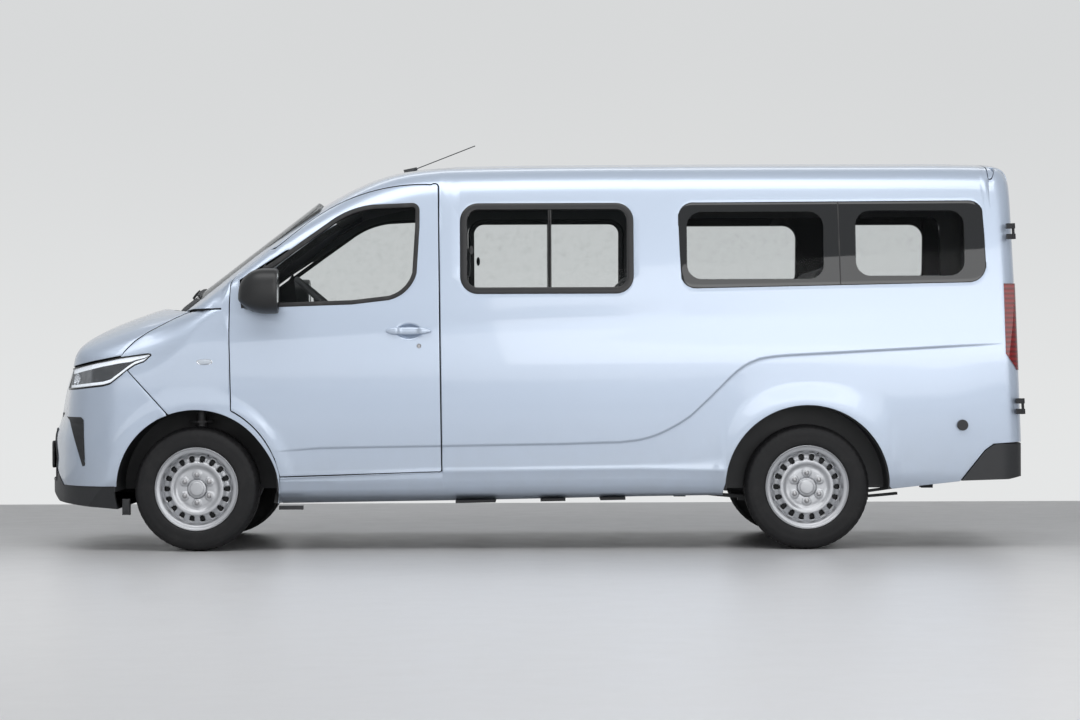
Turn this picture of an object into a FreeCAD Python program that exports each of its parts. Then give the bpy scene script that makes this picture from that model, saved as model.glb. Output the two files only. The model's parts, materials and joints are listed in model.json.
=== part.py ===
import FreeCAD, Part
import math
import os

# Minibus, full size, in millimetres. X forward, Y to the vehicle's left, Z up,
# origin on the ground under the middle of the bounding box.

# Running gear
front_axle_x = 1669.0
rear_axle_x = -1381.0
wheel_y = 752.5              # centre plane of every wheel
tyre_radius = 312.0
tyre_half_width = 97.5
bead_radius = 190.5
rim_flange_radius = 208.0
rim_half_width = 88.0        # between the flanges
rim_wall = 7.0
lug_circle_radius = 69.85
lug_count = 6
vent_circle_radius = 152.0
vent_radius = 12.5
vent_count = 18
cap_radius = 42.0
spindle_radius = 22.0
hub_radius = 62.0
kingpin_top = (585.0, 800.0)     # y, z
kingpin_foot = (690.0, 190.0)    # y, z

# Body shell
half_width = 900.0
outside = half_width + 100   # past the widest point, for cuts through a side
roof_z = 1965.0
side_wall = 58.0
roof_wall = 40.0
rear_wall = 55.0
screen_wall = 45.0
sill_z = 200.0               # below the lowest edge of the skin
roof_seam_y = half_width - 210
body_rear_x = -2482.0
rear_top_x = -2431.0         # rear face at the top of the doors
rear_crown_radius = 12000.0
rear_corner = 70.0
screen_foot = (1783.0, 1252.0)   # x, z on the centre line
screen_head = (1045.0, 1817.0)
screen_radius = 3600.0       # across the windscreen
screen_foot_half = half_width - 180
screen_head_half = half_width - 272
glass_thickness = 5.0
glass_inset = 8.0            # side glass below the skin
door_slant = 0.12            # door edges run forward going inboard
door_inner_y = half_width - 165

# Nose
nose_x = 2492.5
nose_radius = 1600.0
nose_corner_y = 620.0
nose_side_x = 1956.0         # the nose corner runs out into the side here
hood_tilt = 20.3             # degrees, nose down
hood_wall = 25.0
cowl_drop = 12.0             # cowl plate below the hood's underside
cowl_grille_half = half_width - 220
fender_wall = 30.0
fender_top_z = 1212.0        # foot of the windscreen pillars
bumper_wall = 40.0
arch_radius = 410.0
liner_wall = 5.0

# Clearances
gap = 6.0                    # between body panels
front_gap = 10.0             # ahead of the front doors
seam_gap = 0.8               # round glass, lamps, grilles and fixed panels
seat_gap = 0.3               # pieces that rest on each other
pin_gap = 0.3

# Floor and chassis
floor_top = 550.0
floor_thickness = 45.0
floor_front_x = 1245.0
door_floor_x = (430.0, 1300.0)   # the floor stops short of the doors here
rail_y = (370.0, 440.0)
rail_height = 104.0
rail_wall = 6.0
rail_front_x = 2345.0
tow_holes = (-2130.0, 453.0, 90.0, 50.0)     # x, z, spacing along x, spacing along z
tow_hole_radius = 6.5
lashing_holes = (-1905.0, 360.0, 800.0)      # x, spacing along x, spacing along y
lashing_hole_radius = 5.0
battery_x = (-690.0, 900.0)
battery_half_width = 560.0
wheelhouse_y = 632.0         # inner wall of the rear wheelhouses
front_liner_y = 465.0        # inner wall of the front wheel liners
firewall_half = half_width - 120
axle_tube_radius = 38.0
spring_y = 560.0
spring_width = 60.0
spring_eye = 22.0
spring_eyes = ((-755.0, 290.0), (-2010.0, 330.0))    # x, z front and rear
leaf_reach = (480.0, 330.0)      # half lengths of the shorter leaves
cross_member_x = (-2340.0, -1900.0, -985.0, 980.0, 2200.0)
strap_x = ((176.0, 376.0), (-174.0, -49.0), (-474.0, -349.0))    # x0, x1
strap_half = 812.0
rear_sill_x = -2385.0

# Hinges
door_pin = (1450.0, half_width - 20)     # x, y of the front door pins, upright
door_pin_radius = 5.0
door_sleeve_radius = 10.0
door_hinge_z = (780.0, 1065.0)
door_sweep_radius = 25.5
door_sweep_z = (640.0, 692.0)
rear_pin_high = (-2410.0, half_width - 34, 1585.0)
rear_pin_low = (-2447.0, half_width + 14, 713.0)
rear_pin_radius = 7.0
rear_barrel_radius = 11.0
rear_hinge_height = 78.0
strap_gap = 2.0
rear_pillar = 88.0           # corner pillar beside each rear door
hood_pin = (1672.0, 1196.0)  # x, z
hood_pin_y = half_width - 232


# Fittings
header_x = -2296.0           # front edge of the panel above the rear doors
sliding_rail = (-1740.0, -650.0, 1062.0, 1092.0)    # x0, x1, z0, z1
rail_groove = 22.0           # groove floor, inboard of the widest point
repeater_centre = (1620.0, 947.0)
repeater_half = (37.0, 14.0)
mirror_reach = (45.0, 215.0)             # outboard of the widest point
mirror_box = (1240.0, 1440.0, half_width + mirror_reach[0], half_width + mirror_reach[1], 1180.0, 1408.0)
door_handle = (489.0, 717.0, 1098.0)                # x0, x1, z
door_stop_centre = (-2149.0, 620.0)      # x, z
door_stop_radius = 27.0
door_stop_height = 26.0
antenna_foot = (640.0, 0.0, 1945.0)
antenna_tip = (289.0, 0.0, 2081.0)
wiper_foot = 34.0            # shaft's place, up the screen from its foot
wiper_shaft_radius = 9.0
wiper_reach = ((600.0, 60.0), (-20.0, -560.0))      # y of shaft and tip
dash_half = half_width - 140
steering_centre = (1057.0, 400.0, 1250.0)
steering_tilt = 40.7         # degrees of the wheel's axis from upright
steering_radius = 185.0

seat_depth = 130.0           # cushion top to its underside
seat_lean = 0.28             # of each back, rearward per unit of height

middle_seat_width = half_width + 280
middle_seat_y = half_width - 120 - middle_seat_width / 2
rear_seat_width = 2 * (wheelhouse_y - 17)

# Seats: x of the cushion's front edge, y, width, cushion top, back top, head rest
seat_table = (
    (1010.0, 400.0, 500.0, 950.0, 1400.0, True),
    (1010.0, -400.0, 500.0, 950.0, 1400.0, True),
    (120.0, middle_seat_y, middle_seat_width, 950.0, 1395.0, False),
    (-880.0, 0.0, rear_seat_width, 980.0, 1445.0, False),
)

ORIGIN = FreeCAD.Vector(0, 0, 0)
X_AXIS = FreeCAD.Vector(1, 0, 0)
Y_AXIS = FreeCAD.Vector(0, 1, 0)
Z_AXIS = FreeCAD.Vector(0, 0, 1)

# Outlines. Each row is a corner (a, b), or (a, b, via_a, via_b) where the edge
# that reaches the corner is an arc through the via point.

# Half cross-section of the body: y, z, via_y, via_z
section_rows = (
    (half_width - 95, sill_z),
    (half_width - 28, 350.0),
    (half_width, 850.0, half_width - 7, 600.0),
    (half_width - 12, 1110.0, half_width - 2, 985.0),
    (half_width - 100, 1800.0, half_width - 51, 1460.0),
    (half_width - 200, 1918.0, half_width - 130, 1876.0),
    (0.0, roof_z, half_width - 548, 1953.2),
)

# Front door seen from the side: x, z, via_x, via_z
front_door_rows = (
    (460.0, 1828.0),
    (445.0, 437.0),
    (467.0, 398.0),
    (1248.0, 375.0),
    (1488.0, 705.0, 1335.0, 575.0),
    (1497.0, 1090.0),
    (1495.0, 1250.0),
    (1430.0, 1381.0, 1478.0, 1325.0),
    (1109.0, 1646.0),
    (460.0, 1828.0, 785.0, 1792.0),
)

# Front door window
door_glass_rows = (
    (1436.0, 1215.0),
    (1448.0, 1325.0),
    (1001.0, 1645.0),
    (784.0, 1730.0, 895.0, 1704.0),
    (590.0, 1738.0),
    (552.0, 1700.0, 562.0, 1727.0),
    (552.0, 1620.0),
    (566.0, 1388.0),
    (705.0, 1253.0, 612.0, 1305.0),
    (888.0, 1232.0),
    (1436.0, 1215.0),
)

# Middle side window
middle_glass = (-517.0, 346.0, 1282.0, 1735.0)   # x0, x1, z0, z1
middle_glass_corner = 87.0

# Rear side window
rear_glass_rows = (
    (-742.0, 1655.0),
    (-829.0, 1736.0, -762.0, 1714.0),
    (-2190.0, 1742.0),
    (-2268.0, 1660.0, -2248.0, 1720.0),
    (-2274.0, 1440.0),
    (-2195.0, 1331.0, -2250.0, 1355.0),
    (-830.0, 1305.0),
    (-752.0, 1390.0, -773.0, 1328.0),
    (-742.0, 1655.0),
)

# Sliding door on the right: x0, x1, z0, z1
sliding_door = (-640.0, 432.0, 400.0, 1828.0)
sliding_door_corner = 60.0

# Nose on the centre line: x, z, via_x, via_z
nose_rows = (
    (1235.0, 205.0),
    (2070.0, 212.0),
    (2400.0, 243.0),
    (2476.0, 290.0),
    (nose_x, 400.0),
    (2486.0, 470.0),
    (2484.0, 585.0),
    (2462.0, 625.0),
    (2426.0, 803.0),
    (2400.0, 892.0),
    (2262.0, 1088.0, 2358.0, 995.0),
    (2202.0, 1118.0),
    (1912.0, 1226.0),
    (1775.0, 1243.0),
    (1235.0, 1243.0),
    (1235.0, 205.0),
)
hood_crest = (1912.0, 1226.0)    # x, z where the hood's slope starts

# Crown of the hood and fenders, below its crest: y, drop, via_y, via_drop
crown_rows = (
    (half_width, -1400.0),
    (half_width, -380.0),
    (half_width - 28, -200.0),
    (half_width - 300, -48.0, half_width - 95, -100.0),
    (0.0, 0.0, half_width - 598, -12.0),
)

# Hood seen from the side, above the seam with the fenders
hood_rows = (
    (2560.0, 918.0),
    (2042.0, 977.0),
    (1972.0, 1053.0),
    (1863.0, 1123.0),
    (1600.0, 1232.0),
    (1600.0, 1400.0),
    (2560.0, 1400.0),
    (2560.0, 918.0),
)

# Rear edge of the hood in plan: centre x, side x, side y
hood_rear_edge = (1905.0, 1702.0, half_width - 100)

# Head lamp seen from the side
lamp_rows = (
    (2560.0, 902.0),
    (2301.0, 914.0),
    (2050.0, 966.0),
    (1890.0, 983.0),
    (1921.0, 945.0),
    (1995.0, 912.0),
    (2092.0, 838.0),
    (2130.0, 828.0),
    (2560.0, 806.0),
    (2560.0, 902.0),
)
lamp_inner_y = 440.0
lamp_wall = 70.0

# Seam between bumper and fender, from the lamp to the arch
bumper_seam = ((2006.0, 917.0), (1812.0, 690.0))

# Air slot on each corner of the bumper
corner_slot_rows = (
    (2400.0, 672.0),
    (2252.0, 672.0),
    (2233.0, 655.0),
    (2231.0, 430.0),
    (2250.0, 426.0),
    (2325.0, 668.0),
    (2400.0, 672.0),
)
corner_slot_y = (560.0, 720.0)

# Lower black lip seen from the side
lip_rows = (
    (2560.0, 430.0),
    (2440.0, 420.0),
    (2368.0, 327.0),
    (2020.0, 325.0),
    (2020.0, 190.0),
    (2560.0, 190.0),
    (2560.0, 430.0),
)

# Front grille seen from ahead: y, z
grille_rows = (
    (330.0, 600.0),
    (470.0, 455.0),
    (440.0, 345.0),
    (-440.0, 345.0),
    (-470.0, 455.0),
    (-330.0, 600.0),
    (330.0, 600.0),
)
grille_bar_z = (400.0, 440.0, 480.0, 520.0, 560.0)

# Lower edge of the body side: x, z
sill_line = (
    (1249.0, 236.0),
    (-972.0, 272.0),
    (-1769.0, 298.0),
    (-2147.0, 338.0),
)

# Rear bumper seen from the side
rear_bumper_rows = (
    (-2147.0, 343.0),
    (-2262.0, 490.0),
    (-2305.0, 521.0),
    (-2330.0, 526.0),
    (-2560.0, 529.0),
    (-2560.0, 362.0),
    (-2443.0, 362.0),
    (-2381.0, 350.0),
    (-2147.0, 343.0),
)
rear_bumper_x = -2492.5
rear_bumper_wall = 60.0

# Rear door, top and bottom, and its window: y0, y1 at the foot, z0, z1
rear_door_z = (536.0, 1845.0)
rear_window = (110.0, half_width - 245, 1335.0, 1738.0)
rear_window_corner = 60.0

# Tail lamp seen from the side
tail_rows = (
    (-2362.0, 1325.0),
    (-2560.0, 1322.0),
    (-2560.0, 893.0),
    (-2427.0, 893.0),
    (-2366.0, 975.0),
    (-2362.0, 1325.0),
)


def vector(x, y, z):
    return FreeCAD.Vector(x, y, z)


def on_side(x, z):
    return vector(x, 0, z)


def on_section(y, z):
    return vector(0, y, z)


def on_plan(x, y):
    return vector(x, y, 0)


def outline_edges(rows, place):
    edges = []
    start = place(rows[0][0], rows[0][1])
    for row in rows[1:]:
        end = place(row[0], row[1])
        if len(row) == 4:
            edges.append(Part.Arc(start, place(row[2], row[3]), end).toShape())
        else:
            edges.append(Part.LineSegment(start, end).toShape())
        start = end
    return edges


def outline_face(rows, place):
    return Part.Face(Part.Wire(outline_edges(rows, place)))


def side_prism(rows, y0, y1, slant=0.0):
    # The outline moves forward by the slant for each unit that it goes inboard.
    face = outline_face(rows, on_side)
    face.translate(vector(-slant * (abs(y0) - half_width), y0, 0))
    return face.extrude(vector(-slant * (abs(y1) - abs(y0)), y1 - y0, 0))


def section_prism(rows, x0, x1):
    face = outline_face(rows, on_section)
    face.translate(vector(x0, 0, 0))
    return face.extrude(vector(x1 - x0, 0, 0))


def plan_prism(rows, z0, z1):
    face = outline_face(rows, on_plan)
    face.translate(vector(0, 0, z0))
    return face.extrude(vector(0, 0, z1 - z0))


def symmetric_face(rows, place):
    edges = outline_edges(rows, place)
    mirrored = [edge.mirror(ORIGIN, Y_AXIS) for edge in edges]
    closing = []
    for row in (rows[0], rows[-1]):
        end = place(row[0], row[1])
        if abs(end.y) > 0.01:
            closing.append(Part.LineSegment(end, vector(end.x, -end.y, end.z)).toShape())
    return Part.Face(Part.Wire(Part.sortEdges(edges + mirrored + closing)[0]))


def block(x0, x1, y0, y1, z0, z1):
    return Part.makeBox(x1 - x0, y1 - y0, z1 - z0, vector(x0, y0, z0))


def rounded_rows(a0, a1, b0, b1, radius):
    d = radius * (1 - math.sqrt(0.5))
    return (
        (a0 + radius, b0),
        (a1 - radius, b0),
        (a1, b0 + radius, a1 - d, b0 + d),
        (a1, b1 - radius),
        (a1 - radius, b1, a1 - d, b1 - d),
        (a0 + radius, b1),
        (a0, b1 - radius, a0 + d, b1 - d),
        (a0, b0 + radius),
        (a0 + radius, b0, a0 + d, b0 + d),
    )


def rod(radius, start, end):
    along = end - start
    return Part.makeCylinder(radius, along.Length, start, along)


def other_side(shape):
    return shape.mirror(ORIGIN, Y_AXIS)


def common(first, *others):
    for other in others:
        first = first.common(other)
    return first


def grown(rows, amount):
    face = outline_face(rows, on_side)
    bigger = face.makeOffset2D(amount, 2)
    return bigger if bigger.ShapeType == "Face" else Part.Face(bigger.Wires[0])


def grown_prism(rows, amount, y0, y1, slant=0.0):
    face = grown(rows, amount)
    face.translate(vector(-slant * (abs(y0) - half_width), y0, 0))
    return face.extrude(vector(-slant * (abs(y1) - abs(y0)), y1 - y0, 0))


# Envelopes

def shrink_section(inset, roof_inset):
    share = (half_width - inset) / half_width
    rows = []
    for row in section_rows:
        moved = [row[0] * share, row[1] - (roof_inset if row[1] > 1700 else 0)]
        if len(row) == 4:
            moved += [row[2] * share, row[3] - (roof_inset if row[3] > 1700 else 0)]
        rows.append(tuple(moved))
    return rows


def screen_frame():
    foot = vector(screen_foot[0], 0, screen_foot[1])
    head = vector(screen_head[0], 0, screen_head[1])
    up = head - foot
    up.normalize()
    normal = vector(up.z, 0, -up.x)
    return foot, up, normal


def screen_cylinder(inset):
    foot, up, normal = screen_frame()
    start = foot - normal * screen_radius - up * 1500
    return Part.makeCylinder(screen_radius - inset, 6000, start, up)


def rear_plan(inset):
    edge_y = half_width - rear_corner
    drop = rear_crown_radius - math.sqrt(rear_crown_radius ** 2 - edge_y ** 2)
    rows = (
        (3000.0, outside),
        (-2300.0, outside),
        (-2300.0, half_width + 1),
        (body_rear_x + drop + rear_corner + inset, half_width + 1),
        (body_rear_x + drop + inset, edge_y, body_rear_x + drop + 0.293 * rear_corner + inset,
         edge_y + 0.72 * rear_corner),
        (body_rear_x + inset, 0.0, body_rear_x + inset + drop / 4, edge_y / 2),
    )
    return symmetric_face(rows, on_plan)


def rear_limit(inset):
    lean = (rear_top_x - body_rear_x) / (1851.0 - 530.0)
    face = rear_plan(inset)
    face.translate(vector(lean * (0 - 530.0), 0, 0))
    return face.extrude(vector(lean * 2100.0, 0, 2100.0))


def body_profile(roof_inset):
    rows = (
        (-2600.0, 0.0),
        (-2600.0, 1952.0 - roof_inset),
        (-2330.0, 1961.0 - roof_inset),
        (440.0, 1955.0 - roof_inset, -900.0, roof_z + 1.5 - roof_inset),
        (screen_head[0] - roof_inset, screen_head[1] - roof_inset, 765.0, 1911.0 - roof_inset),
        (screen_foot[0], screen_foot[1] - roof_inset),
        (screen_foot[0], 0.0),
        (-2600.0, 0.0),
    )
    return side_prism(rows, -outside, outside)


def body_envelope(inset, roof_inset, rear_inset, screen_inset):
    section = symmetric_face(shrink_section(inset, roof_inset), on_section)
    section.translate(vector(-2600, 0, 0))
    hull = section.extrude(vector(4500, 0, 0))
    profile = body_profile(roof_inset)
    return common(hull, profile, rear_limit(rear_inset), screen_cylinder(screen_inset))


def shrunk(rows, centre, share_a, share_b):
    # Outline rows scaled towards a centre, which keeps arcs as arcs.
    moved = []
    for row in rows:
        values = [centre[i % 2] + (v - centre[i % 2]) * (share_a, share_b)[i % 2]
                  for i, v in enumerate(row)]
        moved.append(tuple(values))
    return moved


def nose_plan(inset):
    arc_drop = nose_radius - math.sqrt(nose_radius ** 2 - nose_corner_y ** 2)
    bend = math.asin(nose_corner_y / nose_radius)
    side_y = half_width - inset
    corner_x = nose_x - inset - arc_drop
    chord = math.hypot(side_y - nose_corner_y, corner_x - nose_side_x)
    turn = math.pi / 2 - bend
    bulge = chord / 2 * math.tan(turn / 4)
    slope = math.atan2(side_y - nose_corner_y, nose_side_x - corner_x)
    middle = ((corner_x + nose_side_x) / 2, (nose_corner_y + side_y) / 2)
    via = (middle[0] + bulge * math.sin(slope), middle[1] - bulge * math.cos(slope))
    rows = (
        (1100.0, side_y),
        (nose_side_x, side_y),
        (corner_x, nose_corner_y, via[0], via[1]),
        (nose_x - inset, 0.0, nose_x - inset - arc_drop / 4, nose_corner_y / 2),
    )
    return symmetric_face(rows, on_plan)


def nose_crown(inset):
    rows = []
    for row in crown_rows:
        moved = [row[0] * (half_width - inset) / half_width, row[1] - inset]
        if len(row) == 4:
            moved += [row[2] * (half_width - inset) / half_width, row[3] - inset]
        rows.append(tuple(moved))
    face = symmetric_face(rows, on_section)
    face.translate(vector(hood_crest[0] - 1200, 0, hood_crest[1]))
    prism = face.extrude(vector(2400, 0, 0))
    prism.rotate(vector(hood_crest[0], 0, hood_crest[1]), Y_AXIS, hood_tilt)
    return prism


def nose_envelope(inset):
    plan = nose_plan(inset)
    plan.translate(vector(0, 0, 150))
    column = plan.extrude(vector(0, 0, 1200))
    section = symmetric_face(shrink_section(inset, 0), on_section)
    section.translate(vector(1100, 0, 0))
    hull = section.extrude(vector(1600, 0, 0))
    centre = nose_rows[0]
    top_z = nose_rows[-2][1]
    share_x = (nose_x - inset - centre[0]) / (nose_x - centre[0])
    share_z = (top_z - inset - centre[1]) / (top_z - centre[1])
    profile = side_prism(shrunk(nose_rows, centre, share_x, share_z), -outside, outside)
    return common(column, hull, profile, nose_crown(inset))


# Panels

def wheel_cylinder(axle_x, radius, y0, y1):
    return Part.makeCylinder(radius, y1 - y0, vector(axle_x, y0, tyre_radius), Y_AXIS)


def door_prism(offset, front_offset=None):
    # Left front door with its edges moved outward by the offset.
    depth = door_inner_y - 2 * offset
    prism = grown_prism(front_door_rows, offset, outside, depth, door_slant)
    if front_offset is None:
        return prism
    ahead = grown_prism(front_door_rows, front_offset, outside, depth, door_slant)
    return prism.fuse(ahead.common(block(1200, 1700, 400, outside + 100, 385, 1215)))


def sliding_prism(offset):
    x0, x1, z0, z1 = sliding_door
    rows = rounded_rows(x0 - offset, x1 + offset, z0 - offset, z1 + offset,
                        sliding_door_corner + offset)
    return side_prism(rows, -outside, -500)


def middle_window(offset, y0, y1):
    x0, x1, z0, z1 = middle_glass
    rows = rounded_rows(x0 - offset, x1 + offset, z0 - offset, z1 + offset,
                        middle_glass_corner + offset)
    return side_prism(rows, y0, y1)


def screen_rows(offset):
    # Windscreen outline in its own plane: distance up the screen, y.
    foot_y = screen_foot_half + offset
    head_y = screen_head_half + offset
    return (
        (58.0 - offset, 0.0),
        (100.0 - offset, foot_y - 30, 68.0 - offset, screen_foot_half - 340),
        (150.0, foot_y, 108.0, foot_y - 5),
        (800.0, head_y),
        (842.0 + offset, head_y - 43, 834.0 + offset, head_y - 11),
        (862.0 + offset, 0.0, 857.0 + offset, screen_head_half - 328),
    )


def screen_placement():
    foot, up, normal = screen_frame()
    return FreeCAD.Placement(foot, FreeCAD.Rotation(up, normal.cross(up), normal, "XZY"))


def on_screen(face):
    # A plan outline stood on the windscreen's plane as a prism through it.
    prism = face.extrude(vector(0, 0, 500))
    prism.Placement = screen_placement()
    prism.translate(screen_frame()[2] * -250)
    return prism


def screen_prism(offset):
    return on_screen(symmetric_face(screen_rows(offset), on_plan))


def rear_door_edge(z):
    # Half width of the rear door opening at a height.
    lower = (half_width, 850.0)
    upper = (half_width - 100, 1800.0)
    share = max(0.0, (z - lower[1]) / (upper[1] - lower[1]))
    return lower[0] - share * (lower[0] - upper[0]) - rear_pillar


def rear_door_rows(offset):
    # Rear view of the left door: y, z.
    z0, z1 = rear_door_z
    return (
        (gap / 2 - offset, z0 - offset),
        (rear_door_edge(z0) + offset, z0 - offset),
        (rear_door_edge(850.0) + offset, 850.0),
        (rear_door_edge(z1) + offset, z1 + offset),
        (gap / 2 - offset, z1 + offset),
        (gap / 2 - offset, z0 - offset),
    )


def rear_window_rows(offset):
    y0, y1, z0, z1 = rear_window
    return rounded_rows(y0 - offset, y1 + offset, z0 - offset, z1 + offset,
                        rear_window_corner + offset)


def exported(name, *shapes):
    shape = shapes[0] if len(shapes) == 1 else Part.makeCompound(list(shapes))
    for solid in shape.Solids:
        if not solid.isValid() or solid.Volume <= 0:
            raise ValueError(name + " has a broken solid")
    print(name, len(shape.Solids), "solids", round(shape.Volume / 1e6, 2), "litres")
    shape.exportStep("parts/" + name + ".step")


def clean(shape):
    return shape.removeSplitter()


def sill_height(x):
    # Height of the body's lower edge between the axles.
    (x0, z0), (x1, z1) = sill_line[0], sill_line[1]
    return z0 + (x - x0) * (z1 - z0) / (x1 - x0)


def underside_cut():
    rows = [(1300.0, 100.0), (1300.0, sill_line[0][1])]
    rows += list(sill_line)
    rows += [(-2600.0, sill_line[-1][1]), (-2600.0, 100.0), (1300.0, 100.0)]
    return side_prism(rows, -outside, outside)


def side_region():
    # Everything of the shell that belongs to the left body side.
    low = (
        (1249.0, 150.0),
        (1249.0, 378.0),
        (1200.0, 420.0),
        (1200.0, 1300.0),
        (1100.0, 2100.0),
        (-2600.0, 2100.0),
        (-2600.0, 150.0),
        (1249.0, 150.0),
    )
    rear = side_prism(low, roof_seam_y, outside)
    middle = block(1100, 1500, half_width - 360, outside, fender_top_z, 2100)
    front = block(1400, 1900, roof_seam_y, outside, fender_top_z, 2100)
    return rear.fuse(middle).fuse(front)


def hinge_pillar():
    # Post behind the fender, with a foot that joins it to the windscreen pillar.
    band = nose_envelope(fender_wall + seat_gap)
    x0 = front_door_rows[5][0] + front_gap
    y0 = firewall_half + seat_gap
    post = band.common(block(x0, x0 + 70, y0, outside, 722, fender_top_z + 24))
    foot = block(x0, x0 + 70, y0, outside, fender_top_z, fender_top_z + 50)
    return post.fuse(foot.common(body_envelope(side_wall / 2, 0, 0, screen_wall / 2)))


def body_sides(shell):
    side = common(shell, side_region())
    side = side.cut(wheel_cylinder(rear_axle_x, arch_radius, 400, outside))
    side = side.cut(header_region(seam_gap))
    side = side.cut(section_prism(rear_door_rows(gap), -2600, -2200))
    for z in (rear_pin_high[2], rear_pin_low[2]):
        side = side.cut(strap_pocket(z))
    side = side.cut(grown_prism(rear_bumper_rows, seam_gap, 400, outside))
    side = side.cut(grown_prism(tail_rows, seam_gap, half_width - 300, outside))
    side = side.cut(underside_cut())
    side = side.cut(screen_prism(seam_gap))
    side = side.cut(side_prism(rear_glass_rows, 500, outside))
    side = side.fuse(hinge_pillar()).cut(door_prism(gap, front_gap))
    left = side.cut(middle_window(0, 500, outside))
    x0, x1, z0, z1 = sliding_rail
    groove = block(x0 - 4, x1 + 4, -outside, -half_width + rail_groove, z0 - 4, z1 + 4)
    right = other_side(side).cut(sliding_prism(gap)).cut(groove)
    return clean(left), clean(right)


def header_region(offset):
    z = rear_door_z[1] + gap
    return block(-2700, header_x + offset, -outside, outside, z - offset, 2100)


def roof(shell):
    edge = roof_seam_y - seam_gap
    panel = shell.common(block(header_x + seam_gap, 1100, -edge, edge, 1600, 2100))
    return clean(panel.cut(screen_prism(seam_gap)))


def rear_header(shell):
    return clean(shell.common(header_region(0)))


def cowl(shell):
    # Panel below the windscreen, with the hood's hinge brackets and the firewall.
    edge = roof_seam_y - seam_gap
    top = shell.common(block(1560, 1900, -edge, edge, 1180, 1400)).cut(screen_prism(seam_gap))
    rows = (
        (floor_front_x + seat_gap, floor_top - floor_thickness),
        (floor_front_x + 20.0, floor_top - floor_thickness),
        (1352.0, 620.0),
        (1450.0, 700.0),
        (1560.0, 745.0),
        (1640.0, 900.0),
        (1640.0, 1212.0),
        (1760.0, 1212.0),
        (1760.0, 1240.0),
        (1622.0, 1240.0),
        (1622.0, 905.0),
        (1548.0, 762.0),
        (1440.0, 716.0),
        (1340.0, 636.0),
        (floor_front_x + seat_gap, floor_top),
        (floor_front_x + seat_gap, floor_top - floor_thickness),
    )
    wall = side_prism(rows, -firewall_half, firewall_half)
    wall = wall.common(screen_cylinder(screen_wall - 5))
    for side in (-1, 1):
        ends = sorted((side * edge, side * outside))
        wall = wall.cut(block(1500, 1900, ends[0], ends[1], 1180, 1400))
    piece = wall.fuse(top).fuse(cowl_grille())
    for side in (-1, 1):
        y = side * hood_pin_y
        piece = piece.cut(block(1640, 1900, y - 6 - gap, y + 6 + gap, 1120, 1400))
        piece = piece.fuse(hood_bracket(side))
    for shaft_y, tip_y in wiper_reach:
        start = wiper_pivot(shaft_y, -60)
        piece = piece.cut(rod(wiper_shaft_radius + pin_gap, start, wiper_pivot(shaft_y, 20)))
    return clean(piece)


def hood_plan(forward):
    # Plan region ahead of the hood's rear edge, which is moved forward.
    centre_x, side_x, side_y = hood_rear_edge
    rows = (
        (2700.0, outside),
        (side_x + forward, outside),
        (side_x + forward, side_y),
        (centre_x + forward, 0.0, (centre_x * 3 + side_x) / 4 + forward, side_y / 2),
    )
    plan = symmetric_face(rows, on_plan)
    plan.translate(vector(0, 0, 800))
    return plan.extrude(vector(0, 0, 700))


def cowl_grille():
    # Plate under the hood's rear edge, from there back to the windscreen.
    top = hood_wall + cowl_drop
    layer = nose_envelope(top).cut(nose_envelope(top + 25))
    layer = layer.common(block(1700, 2000, -cowl_grille_half, cowl_grille_half, 1000, 1300))
    return layer.cut(hood_plan(40))


def hood_bracket(side):
    x, z = hood_pin
    y = side * hood_pin_y
    plate = block(1625, x + 14, min(y + side * 9, y + side * 17), max(y + side * 9, y + side * 17),
                  z - 46, z + 12)
    pin = rod(6, vector(x, y - side * 9, z), vector(x, y + side * 12, z))
    return plate.fuse(pin)


def hood():
    shell = nose_envelope(0).cut(nose_envelope(hood_wall))
    lid = shell.common(side_prism(hood_rows, -outside, outside)).common(hood_plan(0))
    x, z = hood_pin
    arm_rows = (
        (x - 12, z - 12),
        (x - 12, z + 12),
        (x + 14, z + 12),
        (x + 50, z + 8),
        (x + 150, z - 10),
        (x + 150, z - 60),
        (x + 50, z - 40),
        (x - 12, z - 12),
    )
    for side in (-1, 1):
        y = side * hood_pin_y
        arm = side_prism(arm_rows, y - 6, y + 6)
        arm = arm.cut(rod(6 + pin_gap, vector(x, y - 20, z), vector(x, y + 20, z)))
        lid = lid.fuse(arm)
    return clean(lid)


def seam_region(offset):
    # Side view region ahead of the seam between bumper and fender.
    (x0, z0), (x1, z1) = bumper_seam
    rows = (
        (x0 + offset + 20, z0 + 20 * (z0 - z1) / (x0 - x1)),
        (x1 + offset - 60, z1 - 60 * (z0 - z1) / (x0 - x1)),
        (x1 + offset - 60, 150.0),
        (2700.0, 150.0),
        (2700.0, 1300.0),
        (x0 + offset + 20, 1300.0),
        (x0 + offset + 20, z0 + 20 * (z0 - z1) / (x0 - x1)),
    )
    return side_prism(rows, -outside, outside)


def fender(shell):
    rear_x = front_door_rows[5][0] + front_gap
    skin = shell.cut(grown_prism(hood_rows, gap, -outside, outside))
    skin = skin.cut(seam_region(0)).cut(wheel_cylinder(front_axle_x, arch_radius, 300, outside))
    skin = skin.cut(door_prism(gap, front_gap)).cut(grown_prism(lamp_rows, seam_gap, 300, outside))
    ahead = block(rear_x, 2200, half_width - 200, outside, 150, fender_top_z - seam_gap)
    band = block(1249, rear_x + 1, half_width - 200, outside, 150, 900)
    skin = skin.common(ahead.fuse(band)).cut(underside_cut())
    skin = skin.cut(ellipse_plug(0)).cut(door_sweep())
    return clean(largest(skin))


def door_sweep():
    # Room in the fender's edge for the door's lower front corner as it swings.
    x, y = door_pin
    z0, z1 = door_sweep_z
    return rod(door_sweep_radius, vector(x, y, z0), vector(x, y, z1))


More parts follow.
